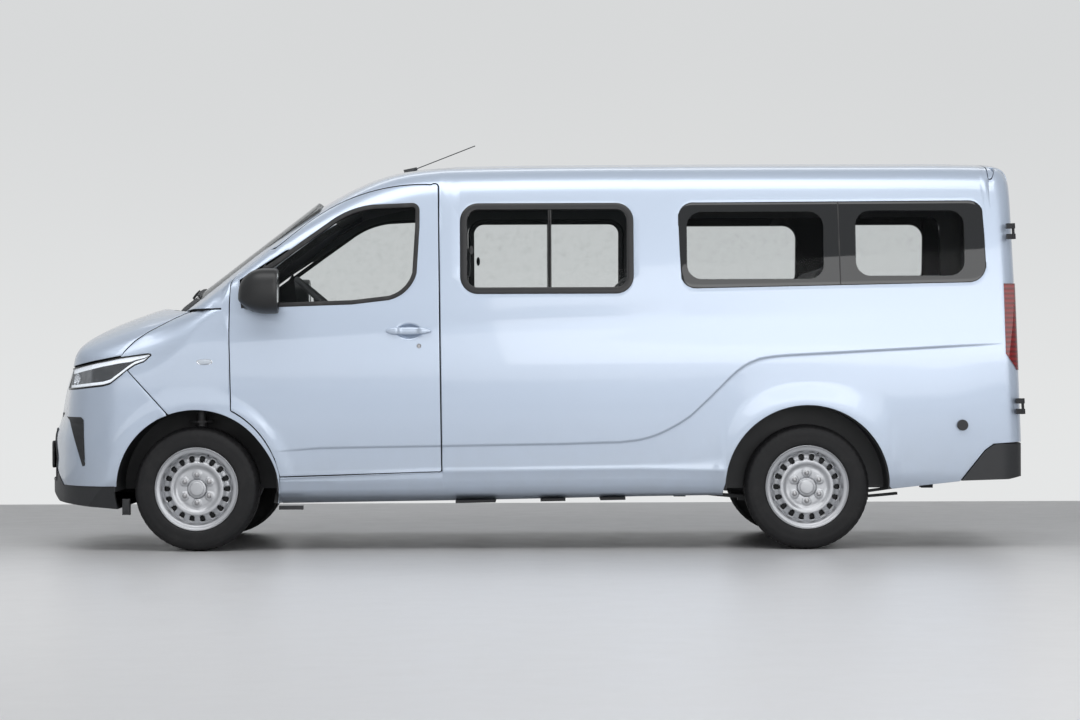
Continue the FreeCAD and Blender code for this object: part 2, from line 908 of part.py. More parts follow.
def ellipse_plug(inset):
    # Side repeater lamp on the fender.
    x, z = repeater_centre
    ring = Part.Ellipse(vector(x, 0, z + 0), repeater_half[0] - inset, repeater_half[1] - inset)
    edge = ring.toShape()
    edge.rotate(vector(x, 0, z), X_AXIS, 90)
    face = Part.Face(Part.Wire(edge))
    face.translate(vector(0, half_width - 200, 0))
    return face.extrude(vector(0, 400, 0))


def bumper_openings(offset):
    slot = grown_prism(corner_slot_rows, offset, corner_slot_y[0], outside)
    grille = section_prism(grille_rows, 2200, 2600)
    return [slot, other_side(slot), grille]


def front_bumper():
    skin = nose_envelope(0).cut(nose_envelope(bumper_wall))
    skin = skin.common(seam_region(seam_gap))
    skin = skin.cut(grown_prism(hood_rows, gap, -outside, outside))
    lamps = grown_prism(lamp_rows, seam_gap, lamp_inner_y - seam_gap, outside)
    skin = skin.cut(lamps).cut(other_side(lamps))
    skin = skin.cut(wheel_cylinder(front_axle_x, arch_radius, -outside, outside))
    skin = skin.cut(grown_prism(lip_rows, seam_gap, -outside, outside))
    for opening in bumper_openings(0):
        skin = skin.cut(opening)
    return clean(largest(skin))


def largest(shape):
    return max(shape.Solids, key=lambda solid: solid.Volume)


def front_lip():
    skin = nose_envelope(0).cut(nose_envelope(bumper_wall))
    lip = skin.common(side_prism(lip_rows, -outside, outside))
    lip = lip.cut(wheel_cylinder(front_axle_x, arch_radius, -outside, outside))
    lip = lip.cut(section_prism(grille_rows, 2200, 2600))
    return clean(largest(lip))


def grilles():
    # Black pieces set into the bumper: the barred grille and the corner slots.
    rows = [(y * 0.998, z) for y, z in grille_rows]
    skin = nose_envelope(0).cut(nose_envelope(bumper_wall))
    grille = skin.common(section_prism(rows, 2200, 2600))
    inner = section_prism(shrunk(rows, (0.0, 455.0), 0.93, 0.84), 2200, 2600)
    low = 0.0
    for bar_z in grille_bar_z:
        grille = grille.cut(inner.common(block(2200, 2600, -500, 500, low, bar_z - 5)))
        low = bar_z + 5
    slot = nose_envelope(4).cut(nose_envelope(bumper_wall))
    slot = slot.common(grown_prism(corner_slot_rows, -seam_gap, corner_slot_y[0] + seam_gap, outside))
    return [largest(grille), largest(slot), other_side(largest(slot))]


def head_lamp():
    wall = nose_envelope(0).cut(nose_envelope(lamp_wall))
    return largest(wall.common(side_prism(lamp_rows, lamp_inner_y, outside)))


def tail_lamp(shell):
    lamp = shell.common(side_prism(tail_rows, half_width - 300, outside))
    lamp = lamp.cut(section_prism(rear_door_rows(gap + seam_gap), -2600, -2200))
    return largest(lamp)


def rear_bumper():
    shell = rear_bumper_plan(0).cut(rear_bumper_plan(rear_bumper_wall))
    piece = shell.common(side_prism(rear_bumper_rows, -outside, outside))
    return clean(largest(piece))


def rear_bumper_plan(inset):
    rows = (
        (-2100.0, half_width - 5 - inset),
        (-2330.0, half_width - 5 - inset),
        (-2455.0 + inset, half_width - 100 - inset, -2418.0 + inset * 0.7, half_width - 35 - inset),
        (rear_bumper_x + inset, 0.0, rear_bumper_x + 10 + inset, 400.0),
    )
    face = symmetric_face(rows, on_plan)
    face.translate(vector(0, 0, 300))
    return face.extrude(vector(0, 0, 300))


# Doors

def front_door(shell):
    leaf = shell.common(door_prism(0)).cut(side_prism(door_glass_rows, 500, outside))
    x, y = door_pin
    for z in door_hinge_z:
        pocket = block(x - 12, x + 80, y - 95, y + 12, z - 32, z + 32)
        sleeve = rod(door_sleeve_radius, vector(x, y, z - 26), vector(x, y, z + 26))
        web = block(x - 40, x, y - 12, y + 4, z - 26, z + 26)
        bore = rod(door_pin_radius + pin_gap, vector(x, y, z - 60), vector(x, y, z + 60))
        leaf = leaf.cut(pocket).fuse(sleeve).fuse(web).cut(bore)
    return clean(largest(leaf))


def front_hinges():
    # Fixed half of the left door's hinges: an arm from the pillar and an upright pin.
    x, y = door_pin
    pieces = []
    pillar_x = front_door_rows[5][0] + front_gap - seat_gap
    for z in door_hinge_z:
        pin = rod(door_pin_radius, vector(x, y, z - 30), vector(x, y, z + 30))
        foot = rod(door_sleeve_radius, vector(x, y, z - 30), vector(x, y, z - 26.5))
        arm = block(x - 9, x + 9, y - 97, y, z - 30, z - 26.5)
        upright = block(x - 9, x + 9, y - 97, y - 87, z - 30, z + 26)
        reach = block(x, pillar_x, y - 97, y - 87, z - 30, z + 26)
        pieces.append(pin.fuse(foot).fuse(arm).fuse(upright).fuse(reach))
    return pieces


def door_mirror():
    # Left mirror on its arm, and the door handle.
    body = block(*mirror_box)
    body = body.makeFillet(38, body.Edges)
    x0, x1, y0, y1, z0, z1 = mirror_box
    arm_rows = (
        (x1 - 70, z0 + 30),
        (x1 + 8, z0 + 30),
        (x1 - 8, z0 + 85),
        (x1 - 90, z0 + 85),
        (x1 - 70, z0 + 30),
    )
    skin = body_envelope(-seat_gap, 0, 0, 0)
    arm = side_prism(arm_rows, half_width - 100, y0 + 60).cut(skin)
    mirror = largest(body.fuse(arm))
    bar_y = half_width - 6
    hx0, hx1, hz = door_handle
    bar = block(hx0, hx1, bar_y + 18, bar_y + 34, hz - 15, hz + 15)
    bar = bar.makeFillet(6, bar.Edges)
    for x in (hx0 + 22, hx1 - 22):
        bar = bar.fuse(block(x - 14, x + 14, half_width - 100, bar_y + 24, hz - 12, hz + 12))
    bar = largest(bar.cut(skin))
    return [mirror, bar]


def rear_door(shell):
    leaf = shell.common(section_prism(rear_door_rows(0), -2700, -2200))
    leaf = leaf.cut(section_prism(rear_window_rows(0), -2700, -2200))
    for z in (rear_pin_high[2], rear_pin_low[2]):
        leaf = leaf.fuse(rear_strap(z))
    return clean(largest(leaf))


def rear_pin_at(z):
    share = (z - rear_pin_low[2]) / (rear_pin_high[2] - rear_pin_low[2])
    low = vector(*rear_pin_low)
    high = vector(*rear_pin_high)
    return low + (high - low) * share


def rear_strap(z):
    # Strap from the door's outer face to the barrel, the middle third of the hinge.
    half = rear_hinge_height / 6 - strap_gap
    foot = rear_pin_at(z - half)
    top = rear_pin_at(z + half)
    pin = rear_pin_at(z)
    barrel = rod(rear_barrel_radius, foot, top)
    edge = rear_door_edge(z)
    strap = block(pin.x - rear_barrel_radius, pin.x - 1, edge - 60, pin.y, z - half, z + half)
    root = block(pin.x - 1, pin.x + 25, edge - 60, edge - 2, z - half, z + half)
    strap = strap.fuse(root.common(body_envelope(0, 0, 0, 0)))
    bore = rod(rear_pin_radius + pin_gap, rear_pin_at(z - 60), rear_pin_at(z + 60))
    return barrel.fuse(strap).cut(bore)


def strap_pocket(z):
    # Recess in the corner pillar behind the strap and its barrel.
    half = rear_hinge_height / 6 - 0.5 + gap
    pin = rear_pin_at(z)
    clear = rear_barrel_radius + gap
    return block(-2700, pin.x + clear, rear_door_edge(z) - 5, pin.y + clear, z - half, z + half)


def rear_hinge_brackets():
    # Fixed thirds of the left rear door's hinges, with the pin.
    pieces = []
    for z in (rear_pin_high[2], rear_pin_low[2]):
        half = rear_hinge_height / 2
        pin = rod(rear_pin_radius, rear_pin_at(z - half), rear_pin_at(z + half))
        for side in (-1, 1):
            near = rear_pin_at(z + side * (rear_hinge_height / 6 + 0.5))
            far = rear_pin_at(z + side * half)
            pin = pin.fuse(rod(rear_barrel_radius, near, far))
            centre = rear_pin_at(z)
            z0 = min(near.z, far.z)
            z1 = max(near.z, far.z)
            pin = pin.fuse(block(centre.x, centre.x + 32, centre.y - 70, centre.y + 9, z0, z1))
        pieces.append(pin)
    skin = body_envelope(-seat_gap, 0, -seat_gap, 0)
    return [largest(piece.cut(skin)) for piece in pieces]


def door_stop():
    # Round buffer on the left body side that the rear door opens against.
    x, z = door_stop_centre
    skin = body_envelope(-seat_gap, 0, 0, 0)
    reach = half_width + door_stop_height - 10
    return rod(door_stop_radius, vector(x, half_width - 100, z), vector(x, reach, z)).cut(skin)


# Running gear

def revolved(rows, x, y, z):
    # Outline in (y, radius) turned about the wheel's axis.
    face = outline_face(rows, lambda a, b: vector(0, a, b))
    solid = face.revolve(ORIGIN, Y_AXIS, 360)
    solid.translate(vector(x, y, z))
    return solid


def tyre(x, y):
    w = rim_half_width
    rows = (
        (-w, bead_radius),
        (-w, rim_flange_radius + 2),
        (-tyre_half_width + 17, tyre_radius - 12, -tyre_half_width - 3, 255.0),
        (-tyre_half_width + 36, tyre_radius - 1.5, -tyre_half_width + 23, tyre_radius - 4),
        (tyre_half_width - 36, tyre_radius - 1.5, 0.0, tyre_radius),
        (tyre_half_width - 17, tyre_radius - 12, tyre_half_width - 23, tyre_radius - 4),
        (w, rim_flange_radius + 2, tyre_half_width + 3, 255.0),
        (w, bead_radius),
        (-w, bead_radius),
    )
    return revolved(rows, x, y, tyre_radius)


def wheel(x, y, side):
    w = rim_half_width + pin_gap
    t = rim_wall
    inner = bead_radius - pin_gap
    barrel = (
        (-w - t, rim_flange_radius),
        (-w, rim_flange_radius),
        (-w, inner),
        (-30.0, inner),
        (-20.0, inner - 14),
        (20.0, inner - 14),
        (30.0, inner),
        (w, inner),
        (w, rim_flange_radius),
        (w + t, rim_flange_radius),
        (w + t, inner - t),
        (34.0, inner - t),
        (24.0, inner - 14 - t),
        (-24.0, inner - 14 - t),
        (-34.0, inner - t),
        (-w - t, inner - t),
        (-w - t, rim_flange_radius),
    )
    disc = (
        (58.0, inner - 3),
        (66.0, inner - 3),
        (62.0, 172.0),
        (70.0, 158.0),
        (88.0, 134.0),
        (86.0, 126.0),
        (72.0, 112.0),
        (68.0, 46.0),
        (92.0, cap_radius - 4),
        (96.0, 0.0),
        (58.0, 0.0),
        (58.0, 112.0),
        (74.0, 127.0),
        (60.0, 150.0),
        (50.0, 170.0),
        (58.0, inner - 3),
    )
    hub = ((-18.0, 0.0), (-18.0, hub_radius), (60.0, hub_radius), (60.0, 0.0), (-18.0, 0.0))
    solid = revolved(barrel, 0, 0, 0).fuse(revolved(disc, 0, 0, 0)).fuse(revolved(hub, 0, 0, 0))
    for index in range(vent_count):
        angle = math.radians(360 / vent_count * index)
        cx = vent_circle_radius * math.cos(angle)
        cz = vent_circle_radius * math.sin(angle)
        solid = solid.cut(rod(vent_radius, vector(cx, 40, cz), vector(cx, 110, cz)))
    for index in range(lug_count):
        angle = math.radians(360 / lug_count * (index + 0.5))
        cx = lug_circle_radius * math.cos(angle)
        cz = lug_circle_radius * math.sin(angle)
        solid = solid.fuse(rod(11, vector(cx, 64, cz), vector(cx, 88, cz)))
    solid = solid.cut(rod(spindle_radius + pin_gap, vector(0, -20, 0), vector(0, 40, 0)))
    if side < 0:
        solid = other_side(solid)
    solid.translate(vector(x, y, tyre_radius))
    return clean(solid)


def kingpin_at(z):
    # Point of the left steering axis at a height.
    share = (z - kingpin_foot[1]) / (kingpin_top[1] - kingpin_foot[1])
    return vector(front_axle_x, kingpin_foot[0] + share * (kingpin_top[0] - kingpin_foot[0]), z)


def knuckle():
    # Left hub carrier with its spindle, strut tube and steering arm.
    x = front_axle_x
    inner_y = wheel_y - 18
    spindle = rod(spindle_radius, vector(x, inner_y - 20, tyre_radius), vector(x, wheel_y + 39, tyre_radius))
    carrier = rod(58, vector(x, inner_y - 52, tyre_radius), vector(x, inner_y - 6, tyre_radius))
    foot_y, foot_z = kingpin_foot
    lower = block(x - 22, x + 22, foot_y - 24, foot_y + 22, foot_z + 18, tyre_radius - 20)
    arm = block(x - 150, x, foot_y - 18, foot_y + 8, tyre_radius - 60, tyre_radius - 38)
    top_y, top_z = kingpin_top
    clamp = block(x - 26, x + 26, 578, foot_y + 5, 352, 412)
    riser = block(x - 26, x + 26, foot_y - 22, foot_y + 22, tyre_radius, 412)
    strut = rod(26, vector(x, top_y + 18, 352), vector(x, top_y, 690))
    ball_at = kingpin_at(top_z - 11 - seat_gap)
    piston = rod(11, vector(x, top_y, 680), ball_at).fuse(Part.makeSphere(11, ball_at))
    seat = rod(58, vector(x, top_y, 640), vector(x, top_y, 648))
    parts = [carrier, lower, arm, clamp, riser, strut, piston, seat]
    solid = spindle
    for part in parts:
        solid = solid.fuse(part)
    joint = rod(11 + pin_gap, kingpin_at(foot_z - 40), kingpin_at(foot_z + 38))
    return clean(solid.cut(joint))


def front_suspension():
    # Cross member, lower arms with their ball studs, rack, and strut towers.
    x = front_axle_x
    foot_y, foot_z = kingpin_foot
    solid = block(x - 60, x + 60, -rail_y[1], rail_y[1], 262, rail_bottom() - seat_gap)
    rack = rod(24, vector(x - 150, -430, 330), vector(x - 150, 430, 330))
    solid = solid.fuse(rack).fuse(block(x - 150, x - 50, -300, 300, 312, 346))
    for side in (-1, 1):
        arm_rows = (
            (x - 170, side * 400.0),
            (x + 120, side * 400.0),
            (x + 30, side * 560.0),
            (x + 24, side * (foot_y + 20)),
            (x - 24, side * (foot_y + 20)),
            (x - 30, side * 560.0),
            (x - 170, side * 400.0),
        )
        arm = plan_prism(arm_rows, foot_z - 12, foot_z + 8)
        pad = block(x - 60, x + 60, *sorted((side * 330, side * 430)), foot_z - 12, 270)
        stud = rod(11, kingpin_at(foot_z), kingpin_at(foot_z + 36))
        if side < 0:
            stud = other_side(stud)
        solid = solid.fuse(arm).fuse(pad).fuse(stud)
    return clean(solid)


def rail_bottom():
    return floor_top - floor_thickness - seat_gap - rail_height


def rail(side):
    # Box section rail, open at its ends, with the tow bar's bolt holes.
    y0, y1 = sorted((side * rail_y[0], side * rail_y[1]))
    z0 = rail_bottom()
    z1 = z0 + rail_height
    rear_x = rear_bumper_x + rear_bumper_wall + 14
    solid = block(rear_x, rail_front_x, y0, y1, z0, z1)
    t = rail_wall
    solid = solid.cut(block(rear_x - 1, rail_front_x + 1, y0 + t, y1 - t, z0 + t, z1 - t))
    for x in (tow_holes[0] - tow_holes[2] / 2, tow_holes[0] + tow_holes[2] / 2):
        for z in (tow_holes[1] - tow_holes[3] / 2, tow_holes[1] + tow_holes[3] / 2):
            solid = solid.cut(rod(tow_hole_radius, vector(x, y0 - 1, z), vector(x, y1 + 1, z)))
    return solid


def strut_tower(side):
    # Wall up from the rail and the cap over the strut.
    x = front_axle_x
    top_y, top_z = kingpin_top
    edge = rail_y[1]
    wall_y = sorted((side * (edge - rail_wall), side * (front_liner_y - 2)))
    cap_y = sorted((side * (edge - rail_wall), side * (top_y + 70)))
    z0 = rail_bottom() + rail_height - 30
    wall = block(x - 65, x + 65, wall_y[0], wall_y[1], z0, top_z + 18)
    return wall.fuse(block(x - 65, x + 65, cap_y[0], cap_y[1], top_z, top_z + 18))


def spring_hanger(side, x, z):
    # Bracket out from the rail with two cheeks and the pin of one spring eye.
    z1 = rail_bottom() + rail_height
    middle = side * spring_y
    ends = sorted((side * (rail_y[1] - rail_wall), side * (spring_y + 40)))
    solid = block(x - 45, x + 45, ends[0], ends[1], z1 - 40, z1)
    for edge in (-1, 1):
        inside = middle + edge * (spring_width / 2 + seat_gap)
        ends = sorted((inside, inside + edge * 7))
        solid = solid.fuse(block(x - 30, x + 30, ends[0], ends[1], z - 34, z1 - 20))
    return solid.fuse(rod(9, vector(x, middle - 36, z), vector(x, middle + 36, z)))


def chassis():
    # Two rails with cross members, spring hangers, strut towers and the bumper beam.
    z0 = rail_bottom()
    z1 = z0 + rail_height
    inner_y = rail_y[0] + rail_wall
    beam = nose_envelope(bumper_wall + seat_gap)
    solid = beam.common(block(rail_front_x - 60, 2600, -620, 620, 610, 690))
    for x in cross_member_x:
        solid = solid.fuse(block(x - 30, x + 30, -inner_y, inner_y, z0 + 20, z1))
    for side in (-1, 1):
        ends = sorted((side * rail_y[0], side * rail_y[1]))
        leg = block(rail_front_x - 60, rail_front_x, ends[0], ends[1], z0, 650)
        solid = solid.fuse(rail(side)).fuse(leg).fuse(strut_tower(side))
        for x, z in spring_eyes:
            solid = solid.fuse(spring_hanger(side, x, z))
    return clean(solid)


def leaf_spring(side):
    (x0, z0), (x1, z1) = spring_eyes
    middle_z = tyre_radius - axle_tube_radius - 14
    y0 = side * spring_y - spring_width / 2
    y1 = y0 + spring_width
    leaf = (
        (x0, z0 + 6),
        (x1, z1 + 6, rear_axle_x, middle_z),
        (x1, z1 - 6),
        (x0, z0 - 6, rear_axle_x, middle_z - 12),
        (x0, z0 + 6),
    )
    solid = side_prism(leaf, y0, y1)
    for number, reach in enumerate(leaf_reach):
        drop = 12 * (number + 1)
        low = middle_z - drop
        rise = 0.00011 * reach * reach
        extra = (
            (rear_axle_x + reach, low + rise),
            (rear_axle_x - reach, low + rise, rear_axle_x, low),
            (rear_axle_x - reach, low + rise - 12),
            (rear_axle_x + reach, low + rise - 12, rear_axle_x, low - 12),
            (rear_axle_x + reach, low + rise),
        )
        solid = solid.fuse(side_prism(extra, y0, y1))
    for x, z in spring_eyes:
        solid = solid.fuse(rod(spring_eye, vector(x, y0, z), vector(x, y1, z)))
        solid = solid.cut(rod(9 + pin_gap, vector(x, y0 - 5, z), vector(x, y1 + 5, z)))
    return clean(solid)


def rear_axle():
    x = rear_axle_x
    z = tyre_radius
    tip = wheel_y + 39
    solid = rod(axle_tube_radius, vector(x, -660, z), vector(x, 660, z))
    solid = solid.fuse(rod(spindle_radius, vector(x, -tip, z), vector(x, tip, z)))
    solid = solid.fuse(rod(115, vector(x, -120, z), vector(x, 130, z)))
    solid = solid.fuse(rod(100, vector(x + 175, -190, z + 25), vector(x + 175, 190, z + 25)))
    solid = solid.fuse(block(x, x + 175, -110, 120, z - 70, z + 90))
    for side in (-1, 1):
        plate = rod(135, vector(x, side * 648, z), vector(x, side * 660, z))
        pad_z = z - axle_tube_radius - 14 + seat_gap
        ends = sorted((side * (spring_y - 30), side * (spring_y + 30)))
        pad = block(x - 22, x + 22, ends[0], ends[1], pad_z + 0.8, z)
        solid = solid.fuse(plate).fuse(pad)
    return clean(solid)


def liner(axle_x, inner_y, strut_hole):
    radius = arch_radius - seam_gap
    outer_y = 858.0
    tub = wheel_cylinder(axle_x, radius, inner_y, outer_y)
    tub = tub.cut(wheel_cylinder(axle_x, radius - liner_wall, inner_y + liner_wall, outer_y + 5))
    tub = tub.cut(block(axle_x - 500, axle_x + 500, 0, outside, -200, 300))
    if strut_hole:
        top_y = kingpin_top[0]
        tub = tub.cut(block(axle_x - 80, axle_x + 80, top_y - 85, top_y + 80, 600, 800))
        tub = tub.cut(block(axle_x - 200, axle_x + 150, 0, inner_y + 40, 100, 430))
    else:
        slot = axle_tube_radius + 22
        tub = tub.cut(block(axle_x - slot, axle_x + slot, 0, inner_y + 20, 100, tyre_radius + slot))
    return clean(largest(tub))


def floor(hull):
    z0 = floor_top - floor_thickness
    pan = hull.common(block(-2600, floor_front_x, -outside, outside, z0, floor_top))
    sill = hull.common(block(-2600, rear_sill_x, -outside, outside, 400, z0 + 1))
    for side in (-1, 1):
        ends = sorted((side * (wheelhouse_y - seam_gap), side * outside))
        pan = pan.cut(wheel_cylinder(rear_axle_x, arch_radius, ends[0], ends[1]))
        ends = sorted((side * (rail_y[0] - 1), side * (rail_y[1] + 1)))
        sill = sill.cut(block(-2600, -2200, ends[0], ends[1], 300, z0 - 0.05))
    pan = pan.fuse(sill)
    for side in (-1, 1):
        ends = sorted((side * (half_width - side_wall - gap), side * outside))
        pan = pan.cut(block(door_floor_x[0], door_floor_x[1], ends[0], ends[1], z0 - 1, floor_top + 1))
    ring = block(-2600, -2100, -outside, outside, 300, rear_bumper_rows[4][1] + seat_gap)
    pan = pan.cut(ring.cut(rear_bumper_plan(rear_bumper_wall + seat_gap)))
    x, reach_x, reach_y = lashing_holes
    for dx in (-reach_x / 2, reach_x / 2):
        for y in (-reach_y / 2, reach_y / 2):
            hole = rod(lashing_hole_radius, vector(x + dx, y, z0 - 1), vector(x + dx, y, floor_top + 1))
            pan = pan.cut(hole)
    return clean(pan)


def battery():
    x0, x1 = battery_x
    top = rail_bottom() - seat_gap
    rows = (
        (x1, sill_height(x1)),
        (x1, top),
        (x0, top),
        (x0, sill_height(x0)),
        (x1, sill_height(x1)),
    )
    pack = side_prism(rows, -battery_half_width, battery_half_width)
    return pack


def battery_straps():
    straps = []
    for x0, x1 in strap_x:
        rows = (
            (x0, sill_height(x0) - seat_gap),
            (x1, sill_height(x1) - seat_gap),
            (x1, sill_height(x1) - 14),
            (x0, sill_height(x0) - 14),
            (x0, sill_height(x0) - seat_gap),
        )
        straps.append(side_prism(rows, -strap_half, strap_half))
    return straps


# Cabin

def seat(x, y, width, cushion_z, top_z, head):
    # Cushion and back as two solids, x at the cushion's front edge.
    lean = seat_lean * (top_z - cushion_z)
    cushion_rows = (
        (x, cushion_z - 100),
        (x, cushion_z - 15),
        (x - 40, cushion_z),
        (x - 470, cushion_z - 35),
        (x - 470, cushion_z - seat_depth),
        (x, cushion_z - seat_depth),
        (x, cushion_z - 100),
    )
    back_rows = (
        (x - 410, cushion_z - 25),
        (x - 470 - lean, top_z),
        (x - 560 - lean, top_z),
        (x - 540, cushion_z - 60),
        (x - 470 - seat_gap, cushion_z - 60),
        (x - 470 - seat_gap, cushion_z - 35 + 5 * seat_gap),
        (x - 410, cushion_z - 30 + 5 * seat_gap),
        (x - 410, cushion_z - 25),
    )
    cushion = side_prism(cushion_rows, y - width / 2, y + width / 2)
    back = side_prism(back_rows, y - width / 2 + 10, y + width / 2 - 10)
    if head:
        middle = x - 515 - lean
        back = back.fuse(block(middle - 45, middle + 45, y - 130, y + 130, top_z, top_z + 170))
    return [cushion, back]


def seat_frame(x, y, width, cushion_z):
    top = cushion_z - seat_depth - seat_gap
    solid = block(x - 460, x - 20, y - width / 2 + 20, y + width / 2 - 20, top - 19, top)
    for side in (-1, 1):
        edge = y + side * (width / 2 - 45)
        solid = solid.fuse(block(x - 440, x - 60, edge - 8, edge + 8, floor_top + seat_gap, top - 10))
    return solid


def dashboard():
    rows = (
        (1180.0, 1000.0),
        (1205.0, 1120.0),
        (1330.0, 1185.0),
        (1560.0, 1200.0),
        (1622.0 - seat_gap, 1200.0),
        (1622.0 - seat_gap, 980.0),
        (1420.0, 880.0),
        (1250.0, 900.0),
        (1180.0, 1000.0),
    )
    solid = side_prism(rows, -dash_half, dash_half)
    centre = vector(*steering_centre)
    down = steering_down()
    column = rod(34, centre + down * 45, centre + down * 330)
    shaft = rod(14, centre + down * 300, centre + down * 620)
    return clean(solid.fuse(column).fuse(shaft))


def steering_down():
    tilt = math.radians(steering_tilt)
    return vector(math.sin(tilt), 0, -math.cos(tilt))


def steering_wheel():
    centre = vector(*steering_centre)
    down = steering_down()
    ring = Part.makeTorus(steering_radius, 15, ORIGIN, Z_AXIS)
    hub = Part.makeCylinder(62, 40, vector(0, 0, -30), Z_AXIS)
    solid = ring.fuse(hub)
    for angle in (0, 180, 270):
        spoke = Part.makeBox(steering_radius, 34, 12, vector(0, -17, -12))
        spoke.rotate(ORIGIN, Z_AXIS, angle + 90)
        solid = solid.fuse(spoke)
    neck = Part.makeCylinder(16, 30, vector(0, 0, -45 + seat_gap), Z_AXIS)
    solid = clean(solid.fuse(neck))
    solid.rotate(ORIGIN, Y_AXIS, -steering_tilt)
    solid.translate(centre)
    return solid


def wiper_pivot(y, rise):
    # Point above the windscreen's foot, at a height over its curved surface.
    foot, up, normal = screen_frame()
    sink = screen_radius - math.sqrt(screen_radius ** 2 - y ** 2)
    return foot + up * wiper_foot + Y_AXIS * y + normal * (rise - sink)


def wiper(pivot_y, tip_y):
    # Blade on the glass, its arm above it and the shaft through the cowl.
    y0, y1 = sorted((pivot_y, tip_y))
    u = wiper_foot
    blade_rows = ((u + 56, y0), (u + 66, y0), (u + 78, y1), (u + 68, y1), (u + 56, y0))
    middle = (y0 + y1) / 2
    arm_rows = (
        (u - 12, pivot_y - 10),
        (u - 12, pivot_y + 10),
        (u + 64, middle + 9),
        (u + 64, middle - 9),
        (u - 12, pivot_y - 10),
    )
    low = screen_cylinder(-14).cut(screen_cylinder(-seat_gap))
    high = screen_cylinder(-22).cut(screen_cylinder(-10))
    blade = low.common(on_screen(outline_face(blade_rows, on_plan)))
    arm = high.common(on_screen(outline_face(arm_rows, on_plan)))
    shaft = rod(wiper_shaft_radius, wiper_pivot(pivot_y, -40), wiper_pivot(pivot_y, 14))
    return largest(blade.fuse(arm).fuse(shaft))


def antenna():
    foot = vector(*antenna_foot)
    tip = vector(*antenna_tip)
    along = tip - foot
    along.normalize()
    base = Part.makeCone(20, 8, 70, foot - along * 22, along)
    whip = rod(2.5, foot, tip)
    solid = base.fuse(whip).cut(body_envelope(0, -seat_gap, 0, 0))
    return largest(solid)


os.makedirs("parts", exist_ok=True)

outer = body_envelope(0, 0, 0, 0)
shell = outer.cut(body_envelope(side_wall, roof_wall, rear_wall, screen_wall))
nose_skin = nose_envelope(0).cut(nose_envelope(fender_wall))
glass_in = glass_inset + glass_thickness
glass_layer = body_envelope(glass_inset, 0, glass_inset, 0)
glass_layer = glass_layer.cut(body_envelope(glass_in, 0, glass_in, glass_thickness))

side_left, side_right = body_sides(shell)
exported("body_side_left", side_left)
exported("body_side_right", side_right)
exported("roof_panel", roof(shell))
exported("rear_header", rear_header(shell))
exported("cowl_and_firewall", cowl(shell))
fender_left = fender(nose_skin)
exported("front_fenders", fender_left, other_side(fender_left))
exported("front_bumper", front_bumper())
exported("front_lip", front_lip())
exported("front_grilles", *grilles())
lamp_left = head_lamp()
exported("head_lamps", lamp_left, other_side(lamp_left))
tail_left = tail_lamp(shell)
exported("tail_lamps", tail_left, other_side(tail_left))
exported("rear_bumper", rear_bumper())
screen_pane = glass_layer.common(screen_prism(0))
exported("windscreen", screen_pane.common(block(1000, 1900, -half_width, half_width, 1200, 2100)))

rear_pane = largest(glass_layer.common(grown_prism(rear_glass_rows, -seam_gap, 500, outside)))
middle_pane = glass_layer.common(middle_window(-seam_gap, 500, outside))
exported("side_glass", middle_pane, rear_pane, other_side(rear_pane))
sliding_leaf = shell.common(sliding_prism(0)).cut(middle_window(0, -outside, -500))
exported("sliding_door", clean(sliding_leaf))
exported("sliding_door_glass", glass_layer.common(middle_window(-seam_gap, -outside, -500)))

floor_hull = body_envelope(side_wall + seat_gap, roof_wall, rear_wall + gap, screen_wall)
exported("floor_pan", floor(floor_hull))
exported("chassis_frame", chassis())
exported("battery_pack", battery())
exported("battery_straps", *battery_straps())
exported("front_suspension", front_suspension())
exported("rear_axle", rear_axle())
exported("leaf_springs", leaf_spring(1), leaf_spring(-1))
front_liner = liner(front_axle_x, front_liner_y, True)
rear_liner = liner(rear_axle_x, wheelhouse_y, False)
exported("wheel_arch_liners", front_liner, other_side(front_liner), rear_liner, other_side(rear_liner))

exported("dashboard", dashboard())
seats = [seat(*row) for row in seat_table]
exported("front_seats", *(seats[0] + seats[1]))
exported("rear_seats", *(seats[2] + seats[3]))
exported("seat_frames", *[seat_frame(*row[:4]) for row in seat_table])

hinges = front_hinges()
exported("front_door_hinges", *(hinges + [other_side(piece) for piece in hinges]))
brackets = rear_hinge_brackets()
exported("rear_door_hinges", *(brackets + [other_side(piece) for piece in brackets]))
exported("antenna", antenna())
exported("wipers", *[wiper(*reach) for reach in wiper_reach])
stop = door_stop()
exported("door_stops", stop, other_side(stop))
x0, x1, z0, z1 = sliding_rail
exported("sliding_rail", block(x0, x1, -half_width + 6, -half_width + rail_groove - seat_gap, z0, z1))
repeater = nose_envelope(-3).cut(nose_envelope(fender_wall)).common(ellipse_plug(seam_gap))
exported("side_repeaters", largest(repeater), other_side(largest(repeater)))

exported("hood", hood())
door_left = front_door(shell)
exported("front_door_left", door_left)
exported("front_door_right", other_side(door_left))
door_pane = largest(glass_layer.common(grown_prism(door_glass_rows, -seam_gap, 500, outside)))
exported("front_door_glass_left", door_pane)
exported("front_door_glass_right", other_side(door_pane))
trim = door_mirror()
exported("mirror_left", *trim)
exported("mirror_right", *[other_side(piece) for piece in trim])
rear_leaf = rear_door(shell)
exported("rear_door_left", rear_leaf)
exported("rear_door_right", other_side(rear_leaf))
rear_pane = largest(glass_layer.common(section_prism(rear_window_rows(-seam_gap), -2700, -2200)))
exported("rear_door_glass_left", rear_pane)
exported("rear_door_glass_right", other_side(rear_pane))

